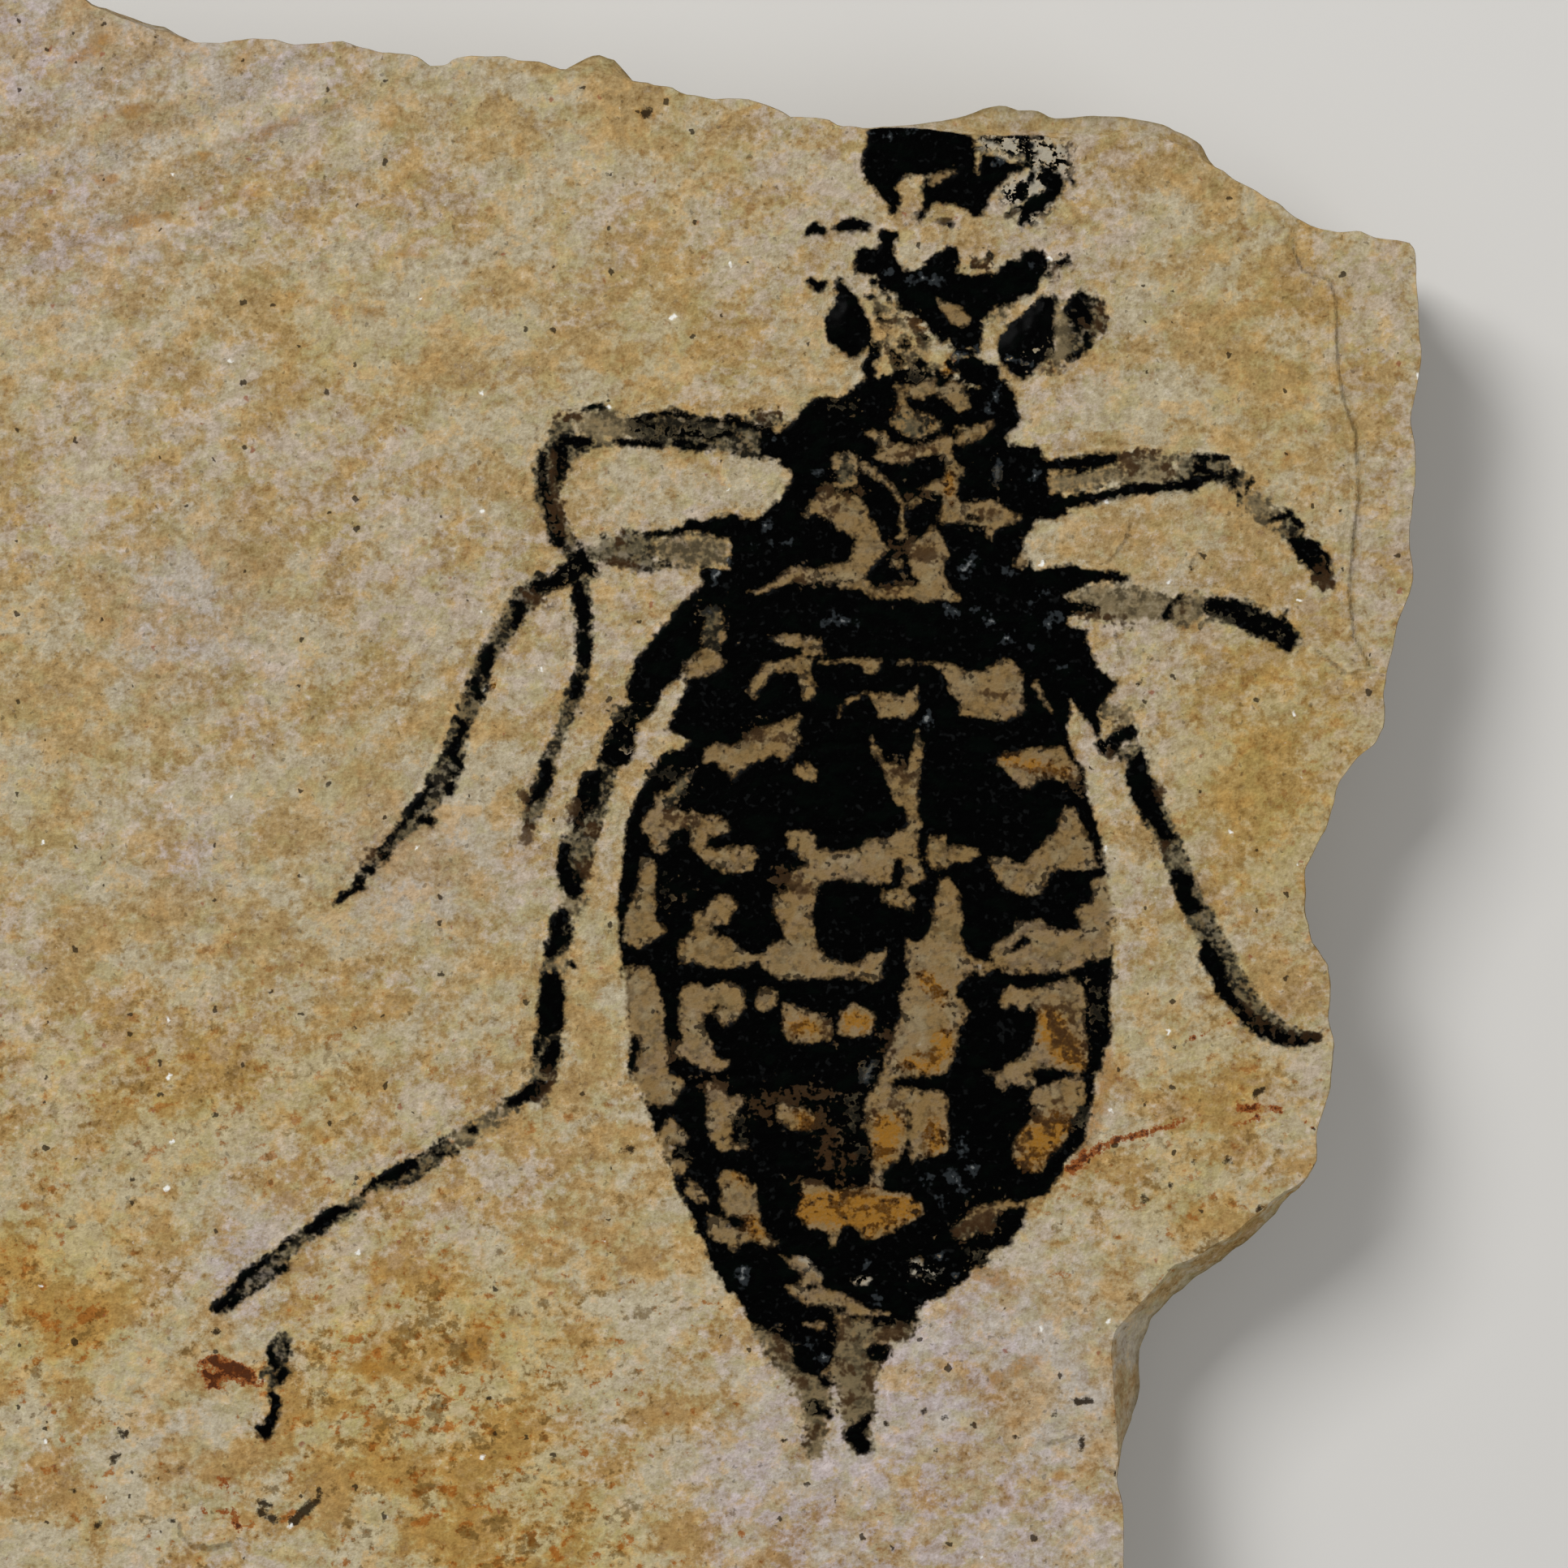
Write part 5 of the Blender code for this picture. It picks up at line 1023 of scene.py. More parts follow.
HEAD_THIN = [
    [(15.9, 27.5, 0.5), (16.6, 27.7, 0.5)], [(19.9, 27.6, 0.2), (20.15, 27.65, 0.25)],
    [(12.2, 26.0, 0.2), (12.3, 25.4, 0.2)],
]
HEAD_BROWN = [
    [(19.6, 27.1, 0.25), (19.6, 27.2, 0.2)], [(16.0, 27.6, 0.25), (16.6, 27.4, 0.25)],
    [(14.7, 29.3, 0.2), (15.1, 29.35, 0.2)],
]
HEAD_GLINTS = [
    [(13.3, 26.85, 0.2), (14.4, 26.85, 0.25)], [(15.2, 23.5, 0.2), (15.7, 23.5, 0.2)], [(16.0, 23.75, 0.2)],
    [(12.2, 27.1, 0.2)], [(18.6, 27.4, 0.3)],
]
HEAD_SKIN = [
    [(11.6, 26.0, 0.5), (12.2, 25.2, 0.4), (13.4, 24.5, 0.4), (13.9, 23.9, 0.6)],
    [(12.2, 24.0, 0.3), (13.4, 23.3, 0.5), (14.3, 22.9, 0.4)],
]

# The eyes: two glossy black lenses of film, slightly domed, one each side of the head. The right one has
# a brown oval of thinner skin beside it.
EYE_LEFT = [
    (10.05, 26.9), (11.0, 25.8), (11.45, 24.7), (11.5, 24.3), (11.4, 23.8), (10.7, 23.3), (10.4, 23.4),
    (9.6, 24.1), (9.45, 24.6), (9.45, 25.1), (9.6, 25.5), (9.95, 25.8), (9.95, 26.2), (9.8, 26.4),
]
EYE_RIGHT = [
    (19.5, 26.1), (19.6, 25.9), (19.6, 23.6), (19.2, 23.3), (18.6, 22.6), (18.2, 22.4), (17.8, 22.6),
    (17.1, 23.3), (17.1, 24.0), (17.6, 24.8), (18.0, 25.1), (18.8, 25.9), (19.1, 26.1),
]
EYE_OVAL = [
    (20.0, 25.8), (20.6, 26.2), (21.0, 26.3), (21.5, 26.1), (21.8, 25.7), (21.9, 25.2), (21.9, 24.7),
    (21.5, 24.4), (20.9, 23.5), (20.4, 23.3), (19.9, 23.2), (19.7, 22.9), (19.5, 22.9), (19.7, 23.3),
]
EYE_SKIN = [
    [(17.0, 25.2, 0.4), (17.6, 25.7, 0.4)], [(19.6, 25.6, 0.7), (19.8, 24.4, 0.9), (19.8, 23.3, 0.7)],
]
EYE_DARK = [
    [(20.4, 25.9, 0.3), (20.8, 26.1, 0.35), (21.3, 25.9, 0.2)],
    [(20.2, 25.5, 0.35), (20.5, 25.1, 0.45), (20.7, 24.6, 0.35)], [(20.6, 25.6, 0.9), (20.9, 25.1, 0.9)],
    [(21.0, 24.4, 0.25), (21.0, 23.9, 0.3)], [(20.2, 23.35, 0.15), (20.7, 23.55, 0.15)],
]
EYE_THIN = [
    [(19.4, 23.4, 0.1), (19.4, 24.3, 0.15)], [(18.0, 22.9, 0.1), (18.3, 23.2, 0.1)],
    [(19.75, 25.0, 0.35), (19.85, 24.3, 0.5), (19.8, 23.6, 0.4)],
]
EYE_GLINTS = [
    [(17.6, 23.3, 0.1), (18.6, 23.0, 0.1)], [(19.9, 23.7, 0.15)], [(20.4, 23.9, 0.15), (20.6, 24.3, 0.1)],
]
EYE_BROWN = [
    [(21.5, 25.45, 0.2), (21.7, 25.0, 0.3), (21.5, 24.65, 0.25)], [(19.4, 22.75, 0.2), (19.8, 22.95, 0.2)],
    [(20.9, 24.9, 0.3)],
]

# The mask: the catching lip ahead of the head, a black patch of film on the stone that breaks up into
# crumbs and loose flakes towards its right tip.
MASK = [
    (11.35, 33.6), (12.0, 33.75), (13.2, 33.7), (15.8, 33.3), (16.0, 33.0), (16.05, 32.6), (16.1, 32.2),
    (16.1, 31.6), (16.2, 31.45), (16.35, 32.35), (16.9, 32.3), (17.5, 32.0), (18.1, 32.0), (18.3, 31.9),
    (17.6, 31.5), (17.4, 31.2), (16.8, 30.6), (16.3, 29.6), (16.0, 29.6), (15.8, 29.8), (15.0, 30.2),
    (14.5, 30.25), (14.2, 30.2), (13.8, 29.6), (13.5, 29.4), (13.4, 29.6), (13.7, 29.9), (13.8, 30.4),
    (13.7, 30.9), (13.9, 31.45), (12.8, 31.4), (12.5, 30.8), (12.7, 30.6), (12.8, 30.3), (12.5, 29.75),
    (12.3, 29.9), (11.9, 30.5), (11.2, 31.3), (11.1, 31.9), (11.15, 32.4), (11.3, 32.9),
]
MASK_TIP = [
    (19.0, 31.85), (19.5, 31.75), (19.9, 31.5), (20.0, 31.0), (19.95, 30.6), (19.6, 30.35), (19.3, 30.1),
    (19.0, 29.85), (18.6, 29.7), (18.3, 29.3), (18.1, 28.95), (17.95, 29.3), (18.1, 29.9), (17.5, 29.55),
    (17.35, 29.8), (18.0, 30.1), (18.4, 30.3), (18.6, 30.6), (19.0, 30.6), (19.2, 30.8), (19.15, 31.3),
]
MASK_WINDOWS = [
    [(14.1, 31.0), (14.1, 31.4), (15.1, 31.8), (15.3, 31.7), (15.2, 31.45), (14.8, 31.3), (14.5, 31.05),
     (14.2, 30.95)],
]
MASK_STROKES = [
    [(18.15, 32.85, 0.2), (18.4, 32.8, 0.35), (18.6, 32.75, 0.2)],
    [(16.1, 32.65, 0.12), (16.35, 32.65, 0.15)], [(18.65, 32.3, 0.15), (18.85, 32.5, 0.15)],
    [(18.2, 32.2, 0.15), (18.25, 32.45, 0.15)], [(18.5, 31.15, 0.25), (18.6, 31.5, 0.15)],
    [(17.9, 31.75, 0.35), (18.35, 31.9, 0.2)],
    [(16.55, 33.0, 0.1), (16.95, 33.0, 0.12), (17.1, 32.8, 0.15)], [(20.1, 31.2, 0.12)],
    [(20.45, 31.15, 0.15)], [(18.35, 33.2, 0.15)],
    [(18.3, 29.9, 0.25), (18.2, 29.5, 0.3), (18.15, 29.1, 0.2)],
]
MASK_BROWN = [
    [(20.0, 33.0, 0.15), (20.15, 32.75, 0.25), (19.9, 32.6, 0.15)],
    [(17.6, 33.1, 0.12), (17.75, 33.3, 0.15)], [(17.55, 29.7, 0.2), (17.8, 29.75, 0.2)],
    [(18.15, 33.15, 0.2)], [(19.35, 32.6, 0.12), (19.6, 32.65, 0.12)], [(17.55, 32.65, 0.15)],
    [(18.0, 29.05, 0.2)], [(16.4, 32.8, 0.25)],
]
MASK_GLINTS = [
    [(11.4, 33.45, 0.15), (11.7, 33.5, 0.15)], [(13.3, 33.5, 0.2), (13.9, 33.5, 0.15)],
    [(12.0, 33.1, 0.2), (12.3, 33.2, 0.2)], [(17.1, 32.1, 0.2)], [(17.9, 33.0, 0.15)],
]

# The six legs: thin grey-brown skin pressed on the stone, with black left in patches and along the edges.
# Each leg is given as its thin skin, areas and lines, and then as the black on it.
LEG_SKINS = {
    "leg_left_fore": (
        [[(6.5, 20.2), (5.0, 20.6), (2.6, 20.95), (0.8, 20.7), (0.2, 21.0), (-0.5, 21.2), (-1.2, 21.1),
          (-1.6, 20.8), (-2.4, 20.7), (-2.8, 20.2), (-3.0, 19.6), (-3.4, 19.0), (-3.5, 18.0), (-3.45, 17.0),
          (-3.0, 16.4), (-2.8, 15.0), (-1.4, 15.0), (-1.7, 15.4), (-2.0, 16.0), (-2.4, 17.2), (-2.3, 17.8),
          (-1.6, 18.9), (-0.9, 19.3), (-0.3, 19.5), (4.0, 19.25), (4.4, 19.3), (6.3, 18.9), (7.0, 19.1)]],
        [[(-2.1, 15.6, 0.7), (-1.9, 14.9, 0.6), (-1.5, 13.6, 0.8), (-1.4, 12.5, 0.8), (-1.3, 11.6, 0.7),
          (-1.25, 10.6, 0.65), (-1.3, 9.7, 0.6), (-1.6, 8.9, 0.8), (-2.1, 7.3, 0.55), (-2.7, 5.8, 0.5)],
         [(-2.75, 5.7, 0.5), (-2.95, 5.0, 0.7), (-3.2, 4.2, 0.9), (-3.5, 3.4, 0.9), (-3.75, 2.8, 0.6)]]),
    "leg_left_middle": (
        [[(5.3, 15.3), (4.3, 15.45), (2.6, 15.45), (0.7, 15.6), (0.0, 15.3), (-0.5, 15.45), (-0.7, 15.0),
          (-1.3, 15.1), (-1.0, 14.4), (0.9, 13.9), (1.7, 13.8), (2.3, 14.1), (5.1, 13.9)]],
        [[(-3.2, 13.3, 1.0), (-4.0, 12.6, 1.0), (-5.2, 10.6, 0.8), (-5.7, 9.8, 0.9), (-6.3, 8.0, 0.85),
          (-6.7, 7.2, 0.9), (-7.0, 6.2, 0.9), (-7.2, 5.5, 1.1), (-8.1, 3.8, 0.95), (-8.7, 3.1, 1.0),
          (-9.5, 2.2, 0.65), (-11.0, 0.5, 0.5), (-11.5, -0.15, 0.35), (-12.0, -0.55, 0.25),
          (-12.3, -0.9, 0.25)]]),
    "leg_left_hind": (
        [],
        [[(-0.2, 5.2, 0.9), (-0.7, 4.4, 1.3), (-1.0, 3.2, 1.4), (-1.3, 2.3, 1.4), (-1.7, 1.3, 1.4),
          (-1.8, 0.5, 1.4), (-1.7, -0.3, 1.1), (-1.8, -0.9, 0.8), (-2.2, -1.5, 0.9), (-2.4, -2.5, 1.0),
          (-2.6, -3.5, 1.0), (-2.7, -4.1, 1.0)], [(-2.8, -7.0, 1.1), (-3.0, -8.2, 1.1), (-3.4, -9.1, 0.8)],
         [(-4.4, -9.8, 0.7), (-5.3, -10.5, 0.6), (-7.3, -11.6, 0.9), (-8.2, -12.3, 0.8), (-9.0, -12.8, 0.9),
          (-10.5, -13.3, 0.6)],
         [(-11.2, -14.1, 0.5), (-12.2, -14.6, 0.7), (-13.4, -15.4, 0.7), (-14.4, -16.2, 0.6),
          (-15.3, -17.1, 1.0), (-16.4, -17.9, 0.9), (-17.5, -18.8, 0.6)]]),
    "leg_right_fore": (
        [[(22.7, 19.1), (23.5, 19.2), (27.3, 18.9), (27.3, 18.5), (27.9, 18.4), (28.4, 17.9), (28.2, 17.5),
          (27.7, 16.9), (27.5, 17.4), (27.2, 17.7), (26.7, 17.9), (23.0, 17.3), (22.5, 17.5)]],
        [[(28.4, 17.0, 0.8), (29.0, 16.4, 0.9), (29.6, 16.1, 0.9), (30.1, 15.6, 0.9)],
         [(31.2, 14.2, 0.6), (31.4, 13.7, 0.8), (31.5, 13.2, 0.5)],
         [(19.8, 17.8, 0.8), (22.3, 18.2, 0.9)]]),
    "leg_right_middle": (
        [[(20.0, 12.9), (20.9, 13.25), (21.6, 13.4), (23.6, 13.1), (24.4, 12.9), (25.4, 12.9), (26.3, 12.8),
          (26.3, 11.5), (25.0, 11.5), (23.5, 11.6), (22.5, 11.55), (21.3, 11.7), (20.9, 12.0)]],
        [[(26.5, 12.3, 1.0), (28.0, 11.9, 1.3), (29.3, 11.3, 1.2), (30.1, 10.9, 0.9)]]),
    "leg_right_hind": (
        [],
        [[(23.1, 5.8, 0.6), (23.3, 5.0, 1.0), (23.9, 3.4, 1.1), (24.8, 1.6, 1.0), (25.2, 0.3, 1.0),
          (25.8, -1.0, 1.1), (26.4, -2.2, 1.15), (27.0, -3.4, 1.3), (27.5, -4.4, 1.2), (28.2, -5.3, 1.0),
          (29.0, -6.2, 0.9), (30.2, -6.8, 0.7), (31.2, -6.8, 0.4)],
         [(21.8, 7.8, 0.6), (22.6, 7.5, 0.8), (23.0, 6.9, 0.5)], [(22.3, 5.9, 0.5), (23.0, 5.7, 0.5)]]),
}
LEG_BLACK = {
    "leg_left_fore": (
        [[(-2.6, 19.55), (-2.2, 19.8), (-1.7, 19.9), (-1.2, 19.85), (-0.8, 19.6), (-1.0, 19.45),
          (-1.5, 19.3)]],
        [[(0.9, 20.5, 0.35), (2.0, 20.85, 0.3), (2.7, 20.95, 0.35), (3.2, 20.75, 0.25), (3.8, 20.6, 0.2),
          (5.2, 20.5, 0.35), (7.0, 20.15, 0.25)], [(5.0, 20.7, 0.25), (5.6, 20.7, 0.2)],
         [(0.2, 19.65, 0.25), (1.0, 19.55, 0.3), (1.6, 19.6, 0.4), (2.1, 19.45, 0.25)],
         [(2.7, 19.55, 0.35), (3.3, 19.55, 0.5), (3.7, 19.4, 0.3), (4.2, 19.45, 0.2)],
         [(4.2, 19.75, 0.25), (4.7, 19.85, 0.3)], [(-2.3, 19.2, 0.7), (-2.3, 18.6, 0.6), (-2.4, 18.0, 0.4)],
         [(1.0, 20.2, 0.5), (2.0, 20.15, 0.7), (3.2, 20.1, 0.7), (4.4, 20.0, 0.6), (5.2, 20.0, 0.4)],
         [(-3.1, 19.0, 0.3), (-3.1, 18.0, 0.4), (-2.9, 17.0, 0.45), (-2.6, 16.0, 0.6), (-2.3, 15.2, 0.6)],
         [(-1.3, 21.05, 0.2), (-0.9, 21.1, 0.3), (-0.5, 21.2, 0.15)],
         [(-1.6, 13.2, 0.5), (-1.4, 12.5, 0.65), (-1.35, 12.1, 0.7), (-1.3, 11.6, 0.6)],
         [(-1.3, 11.0, 0.5), (-1.25, 10.2, 0.7), (-1.2, 9.8, 0.5)],
         [(-1.5, 9.1, 0.4), (-1.6, 8.8, 0.6), (-1.7, 8.35, 0.5)],
         [(-2.95, 5.35, 0.5), (-2.95, 4.9, 0.6), (-3.0, 4.4, 0.6), (-3.3, 4.0, 0.5), (-3.7, 3.6, 0.3)]]),
    "leg_left_middle": (
        [[(-1.3, 15.0), (-1.1, 14.5), (-0.8, 14.2), (-0.65, 13.8), (-0.9, 13.6), (-1.3, 13.75),
          (-1.5, 13.5), (-1.9, 13.3), (-2.4, 13.1), (-2.9, 13.0), (-3.3, 12.95), (-3.7, 13.2), (-3.6, 13.5),
          (-3.0, 13.5), (-2.6, 13.8), (-2.5, 14.1), (-2.0, 14.3), (-1.8, 14.7)]],
        [[(1.5, 15.55, 0.15), (2.2, 15.55, 0.3), (2.8, 15.65, 0.25), (3.4, 15.8, 0.35), (3.7, 16.0, 0.35),
          (4.2, 15.7, 0.4), (5.2, 15.5, 0.5)], [(2.0, 14.25, 0.15), (2.5, 14.2, 0.2)],
         [(-3.4, 13.15, 0.6), (-2.9, 13.3, 0.6)], [(-4.2, 12.3, 0.6), (-4.2, 11.9, 0.6), (-4.3, 11.5, 0.4)],
         [(-5.4, 10.5, 0.3), (-5.5, 10.1, 0.6), (-5.6, 9.8, 0.6), (-5.6, 9.4, 0.4)],
         [(-6.2, 9.1, 0.3), (-6.1, 8.7, 0.4), (-5.9, 8.3, 0.4)],
         [(-6.9, 7.3, 0.3), (-6.6, 7.0, 0.3), (-7.0, 6.1, 0.4), (-7.1, 5.8, 0.5), (-6.9, 5.4, 0.3),
          (-6.75, 5.15, 0.25)], [(-7.5, 5.9, 0.2), (-7.2, 5.75, 0.3)],
         [(-7.1, 5.0, 0.25), (-7.1, 4.5, 0.3), (-7.3, 4.1, 0.35)],
         [(-8.2, 4.3, 0.3), (-8.4, 3.9, 0.3), (-8.9, 3.3, 0.35), (-8.95, 3.0, 0.35)],
         [(-8.5, 2.9, 0.3), (-8.1, 2.8, 0.5)],
         [(-9.1, 2.9, 0.25), (-10.0, 1.9, 0.15), (-10.4, 1.5, 0.2), (-10.1, 1.2, 0.35)],
         [(-10.9, 0.6, 0.35), (-10.6, 0.6, 0.3)], [(-11.3, 0.2, 0.3), (-11.2, -0.1, 0.35)],
         [(-11.5, -0.3, 0.15), (-11.9, -0.5, 0.2), (-12.1, -0.65, 0.12), (-12.3, -0.9, 0.2)]]),
    "leg_left_hind": (
        [[(-3.1, -4.0), (-2.7, -3.85), (-2.25, -3.95), (-2.1, -6.0), (-2.2, -6.5), (-2.9, -6.7),
          (-3.1, -6.9), (-3.3, -6.6), (-3.35, -5.3)]],
        [[(-0.6, 4.9, 0.5), (-1.0, 4.4, 1.0), (-1.15, 3.8, 1.0), (-1.4, 3.2, 0.5), (-1.6, 2.6, 0.35)],
         [(-2.05, 1.6, 0.5), (-2.2, 1.1, 0.5), (-2.2, 0.6, 0.6), (-1.85, 0.15, 1.0), (-1.7, -0.25, 0.8)],
         [(-2.2, -1.4, 0.6), (-2.5, -1.9, 0.6), (-2.4, -2.5, 0.6), (-2.8, -3.1, 0.5)],
         [(-2.0, -1.9, 0.3), (-1.95, -2.4, 0.3)], [(-1.8, -3.6, 0.25)],
         [(-3.4, -7.1, 0.25), (-3.4, -7.5, 0.2)], [(-2.6, -7.3, 0.7), (-2.8, -7.8, 0.8), (-3.0, -8.2, 0.5)],
         [(-3.2, -8.9, 0.5), (-3.6, -9.2, 0.8), (-4.6, -9.7, 0.25)], [(-6.2, -10.9, 0.4)],
         [(-7.9, -11.9, 0.25), (-7.5, -12.0, 0.25), (-6.9, -11.9, 0.15)], [(-7.7, -11.6, 0.2)],
         [(-8.9, -12.4, 0.6), (-10.0, -13.0, 0.5), (-10.6, -13.2, 0.35), (-10.9, -13.5, 0.15)],
         [(-8.3, -12.6, 0.25)], [(-10.9, -13.5, 0.15), (-11.1, -13.8, 0.12)],
         [(-11.6, -14.4, 0.35), (-12.0, -14.5, 0.4), (-12.3, -14.5, 0.6), (-13.1, -15.2, 0.65),
          (-13.5, -15.4, 0.45)], [(-14.3, -15.8, 0.2), (-14.6, -15.9, 0.25), (-14.8, -16.2, 0.3)],
         [(-14.9, -16.6, 0.2), (-15.4, -16.7, 0.25), (-16.3, -17.3, 0.45), (-16.6, -17.8, 0.4),
          (-16.9, -18.1, 0.35), (-17.2, -18.5, 0.4), (-17.6, -18.9, 0.4)],
         [(-14.5, -17.0, 0.25), (-14.9, -17.2, 0.2)],
         [(-15.8, -18.0, 0.12), (-16.2, -18.2, 0.15), (-16.6, -18.4, 0.3), (-17.0, -18.7, 0.35)]]),
    "leg_right_fore": (
        [],
        [[(19.0, 18.6, 0.5), (20.0, 18.6, 0.5), (21.5, 18.8, 0.6), (22.2, 18.9, 0.5)],
         [(20.1, 16.9, 0.5), (22.3, 17.35, 0.45), (23.6, 17.6, 0.55), (24.3, 17.55, 0.4),
          (25.0, 17.65, 0.5), (25.6, 17.7, 0.5), (26.3, 18.0, 0.35), (26.9, 18.05, 0.3)],
         [(25.9, 19.0, 0.3), (26.4, 18.9, 0.3), (27.2, 18.85, 0.2)], [(26.0, 18.4, 0.5), (26.5, 18.2, 0.4)],
         [(27.6, 18.3, 0.2), (27.5, 17.8, 0.15), (27.75, 17.2, 0.2)],
         [(28.1, 17.4, 0.15), (28.3, 17.9, 0.15)],
         [(29.3, 16.2, 0.3), (29.8, 16.3, 0.35), (30.0, 16.45, 0.25)],
         [(30.2, 16.2, 0.25), (30.5, 15.9, 0.3)],
         [(30.2, 15.2, 0.5), (30.8, 14.8, 1.1), (31.3, 14.3, 1.1), (31.6, 13.7, 0.6)],
         [(19.8, 18.2, 0.15), (20.6, 18.3, 0.25), (21.2, 18.35, 0.2)]]),
    "leg_right_middle": (
        [],
        [[(18.8, 13.6, 0.7), (19.6, 13.75, 0.6), (20.3, 13.8, 0.7), (21.2, 13.65, 0.5), (22.0, 13.65, 0.35),
          (22.6, 13.55, 0.35), (22.85, 13.6, 0.2)], [(20.3, 12.3, 0.5), (21.5, 12.25, 0.15)],
         [(24.5, 11.9, 0.4), (24.7, 12.3, 0.3), (25.0, 12.6, 0.3), (25.3, 12.85, 0.15)],
         [(26.6, 12.3, 0.7), (27.4, 12.2, 0.9), (28.3, 11.7, 1.1), (29.3, 11.3, 1.0), (29.8, 10.9, 0.8)],
         [(29.9, 11.3, 0.5), (30.1, 10.9, 0.5), (30.0, 10.5, 0.4)],
         [(29.7, 11.6, 0.1), (29.9, 12.2, 0.08)]]),
    "leg_right_hind": (
        [[(23.2, 7.25), (22.7, 6.95), (22.2, 6.7), (21.8, 6.35), (21.45, 6.5), (21.4, 6.1), (21.7, 5.75),
          (22.0, 5.55), (22.3, 5.75), (22.45, 6.1), (22.8, 6.4), (23.15, 6.4)]],
        [[(21.1, 7.9, 0.6), (21.4, 7.2, 0.45), (21.5, 6.7, 0.3)],
         [(23.4, 5.8, 0.35), (23.3, 5.3, 0.8), (23.3, 4.7, 1.1), (23.5, 4.1, 1.15), (23.8, 3.5, 1.0),
          (24.1, 2.9, 0.75), (24.5, 2.2, 0.6), (24.9, 2.1, 0.4)],
         [(25.0, 0.4, 0.6), (25.4, 0.1, 0.75), (25.35, -0.5, 0.75), (25.6, -1.0, 0.75), (26.0, -1.1, 0.35)],
         [(26.3, -2.7, 0.5), (26.5, -3.3, 0.9), (26.8, -3.9, 0.8), (27.0, -4.6, 0.6), (27.6, -5.3, 0.5),
          (28.1, -5.9, 0.7), (28.9, -6.5, 0.8), (29.7, -6.85, 0.6), (30.5, -6.95, 0.6),
          (31.2, -6.8, 0.4)]]),
}
LEG_BROWN = [
    [(-2.4, 20.7, 0.15), (-1.4, 20.7, 0.15)],
    [(-2.55, 18.8, 0.35), (-2.5, 18.2, 0.35), (-2.65, 17.5, 0.3), (-2.4, 16.4, 0.35), (-2.2, 15.8, 0.45),
     (-2.0, 15.5, 0.4)], [(-3.9, 3.9, 0.25), (-3.9, 3.4, 0.3)], [(-3.9, 2.5, 0.35), (-3.95, 2.1, 0.4)],
    [(-0.7, 14.25, 0.15), (1.0, 14.1, 0.15)], [(0.2, 15.2, 0.3), (0.5, 15.0, 0.25)],
    [(-3.0, 12.5, 0.4), (-3.6, 12.8, 0.5)], [(-10.6, 1.4, 0.5)], [(-1.6, 3.4, 0.5), (-1.6, 2.9, 0.4)],
    [(-1.3, 0.8, 0.4), (-1.0, 0.3, 0.4)], [(-0.8, 2.3, 0.5)], [(-3.0, -8.3, 0.4), (-2.8, -8.6, 0.4)],
    [(-2.9, -9.0, 0.35), (-3.2, -9.5, 0.4)], [(23.4, 19.15, 0.15), (24.2, 19.1, 0.15)], [(24.7, 18.4, 0.4)],
    [(20.8, 11.95, 0.12), (22.8, 11.6, 0.08)], [(25.3, 12.1, 0.3)], [(22.4, 7.25, 0.25)],
    [(22.0, 5.8, 0.25)], [(24.2, 4.0, 0.2)], [(24.3, 1.7, 0.35)],
    [(28.0, -5.5, 0.4), (28.4, -6.0, 0.4), (29.2, -6.5, 0.4)], [(30.2, -6.8, 0.4), (31.2, -6.8, 0.4)],
    [(31.3, 14.0, 0.5), (31.6, 13.4, 0.6)], [(22.7, 18.8, 0.5), (23.1, 18.4, 0.4)],
]
LEG_OCHRE = [[(-5.1, 8.85, 0.35)]]
# Where a leg's black is worn through in patches, and where its skin is only a breath.
LEG_WORN = [
    [(1.0, 20.1, 0.8), (2.5, 20.1, 1.0), (5.0, 20.1, 0.6)],
    [(-3.0, 18.6, 0.3), (-2.8, 16.6, 0.3), (-2.2, 15.4, 0.3)], [(26.8, 11.9, 0.4), (27.4, 11.8, 0.2)],
    [(28.4, 11.9, 0.2), (29.4, 11.0, 0.2)], [(-1.4, 14.2, 0.3), (-2.8, 13.3, 0.3)],
    [(31.6, 13.9, 0.2), (31.6, 13.4, 0.3)], [(0.4, 7.3, 0.2), (-0.2, 6.3, 0.1)], [(-0.9, 4.2, 0.2)],
]
FAINT_AREAS = [
    [(19.5, 14.0), (26.5, 13.6), (26.5, 11.0), (19.5, 11.0)],
    [(1.9, 16.0), (5.4, 15.4), (5.4, 13.5), (1.9, 13.5)],
]
FAINT_LINES = [
    [(28.4, 17.2, 1.8), (29.2, 16.6, 1.4)], [(-1.0, 20.4, 1.4), (0.3, 20.2, 1.2)],
    [(-4.9, -10.2, 1.2), (-6.6, -11.2, 1.2)], [(-1.7, -0.7, 1.1), (-1.9, -1.1, 1.0)],
    [(-1.9, -3.6, 0.9), (-2.6, -3.8, 0.6)], [(21.8, 7.7, 1.2), (23.1, 7.3, 1.2)],
    [(19.7, 17.8, 1.0), (22.0, 18.2, 1.2), (22.8, 18.2, 1.4), (24.2, 18.4, 1.6)],
]
FAINT_EDGE = 0.05
FORELEG_GAP = [
    (19.2, 18.1), (20.3, 17.9), (21.0, 18.3), (22.3, 18.5), (22.3, 18.0), (21.5, 17.6), (20.4, 17.5),
    (20.2, 17.3), (19.4, 17.3),
]

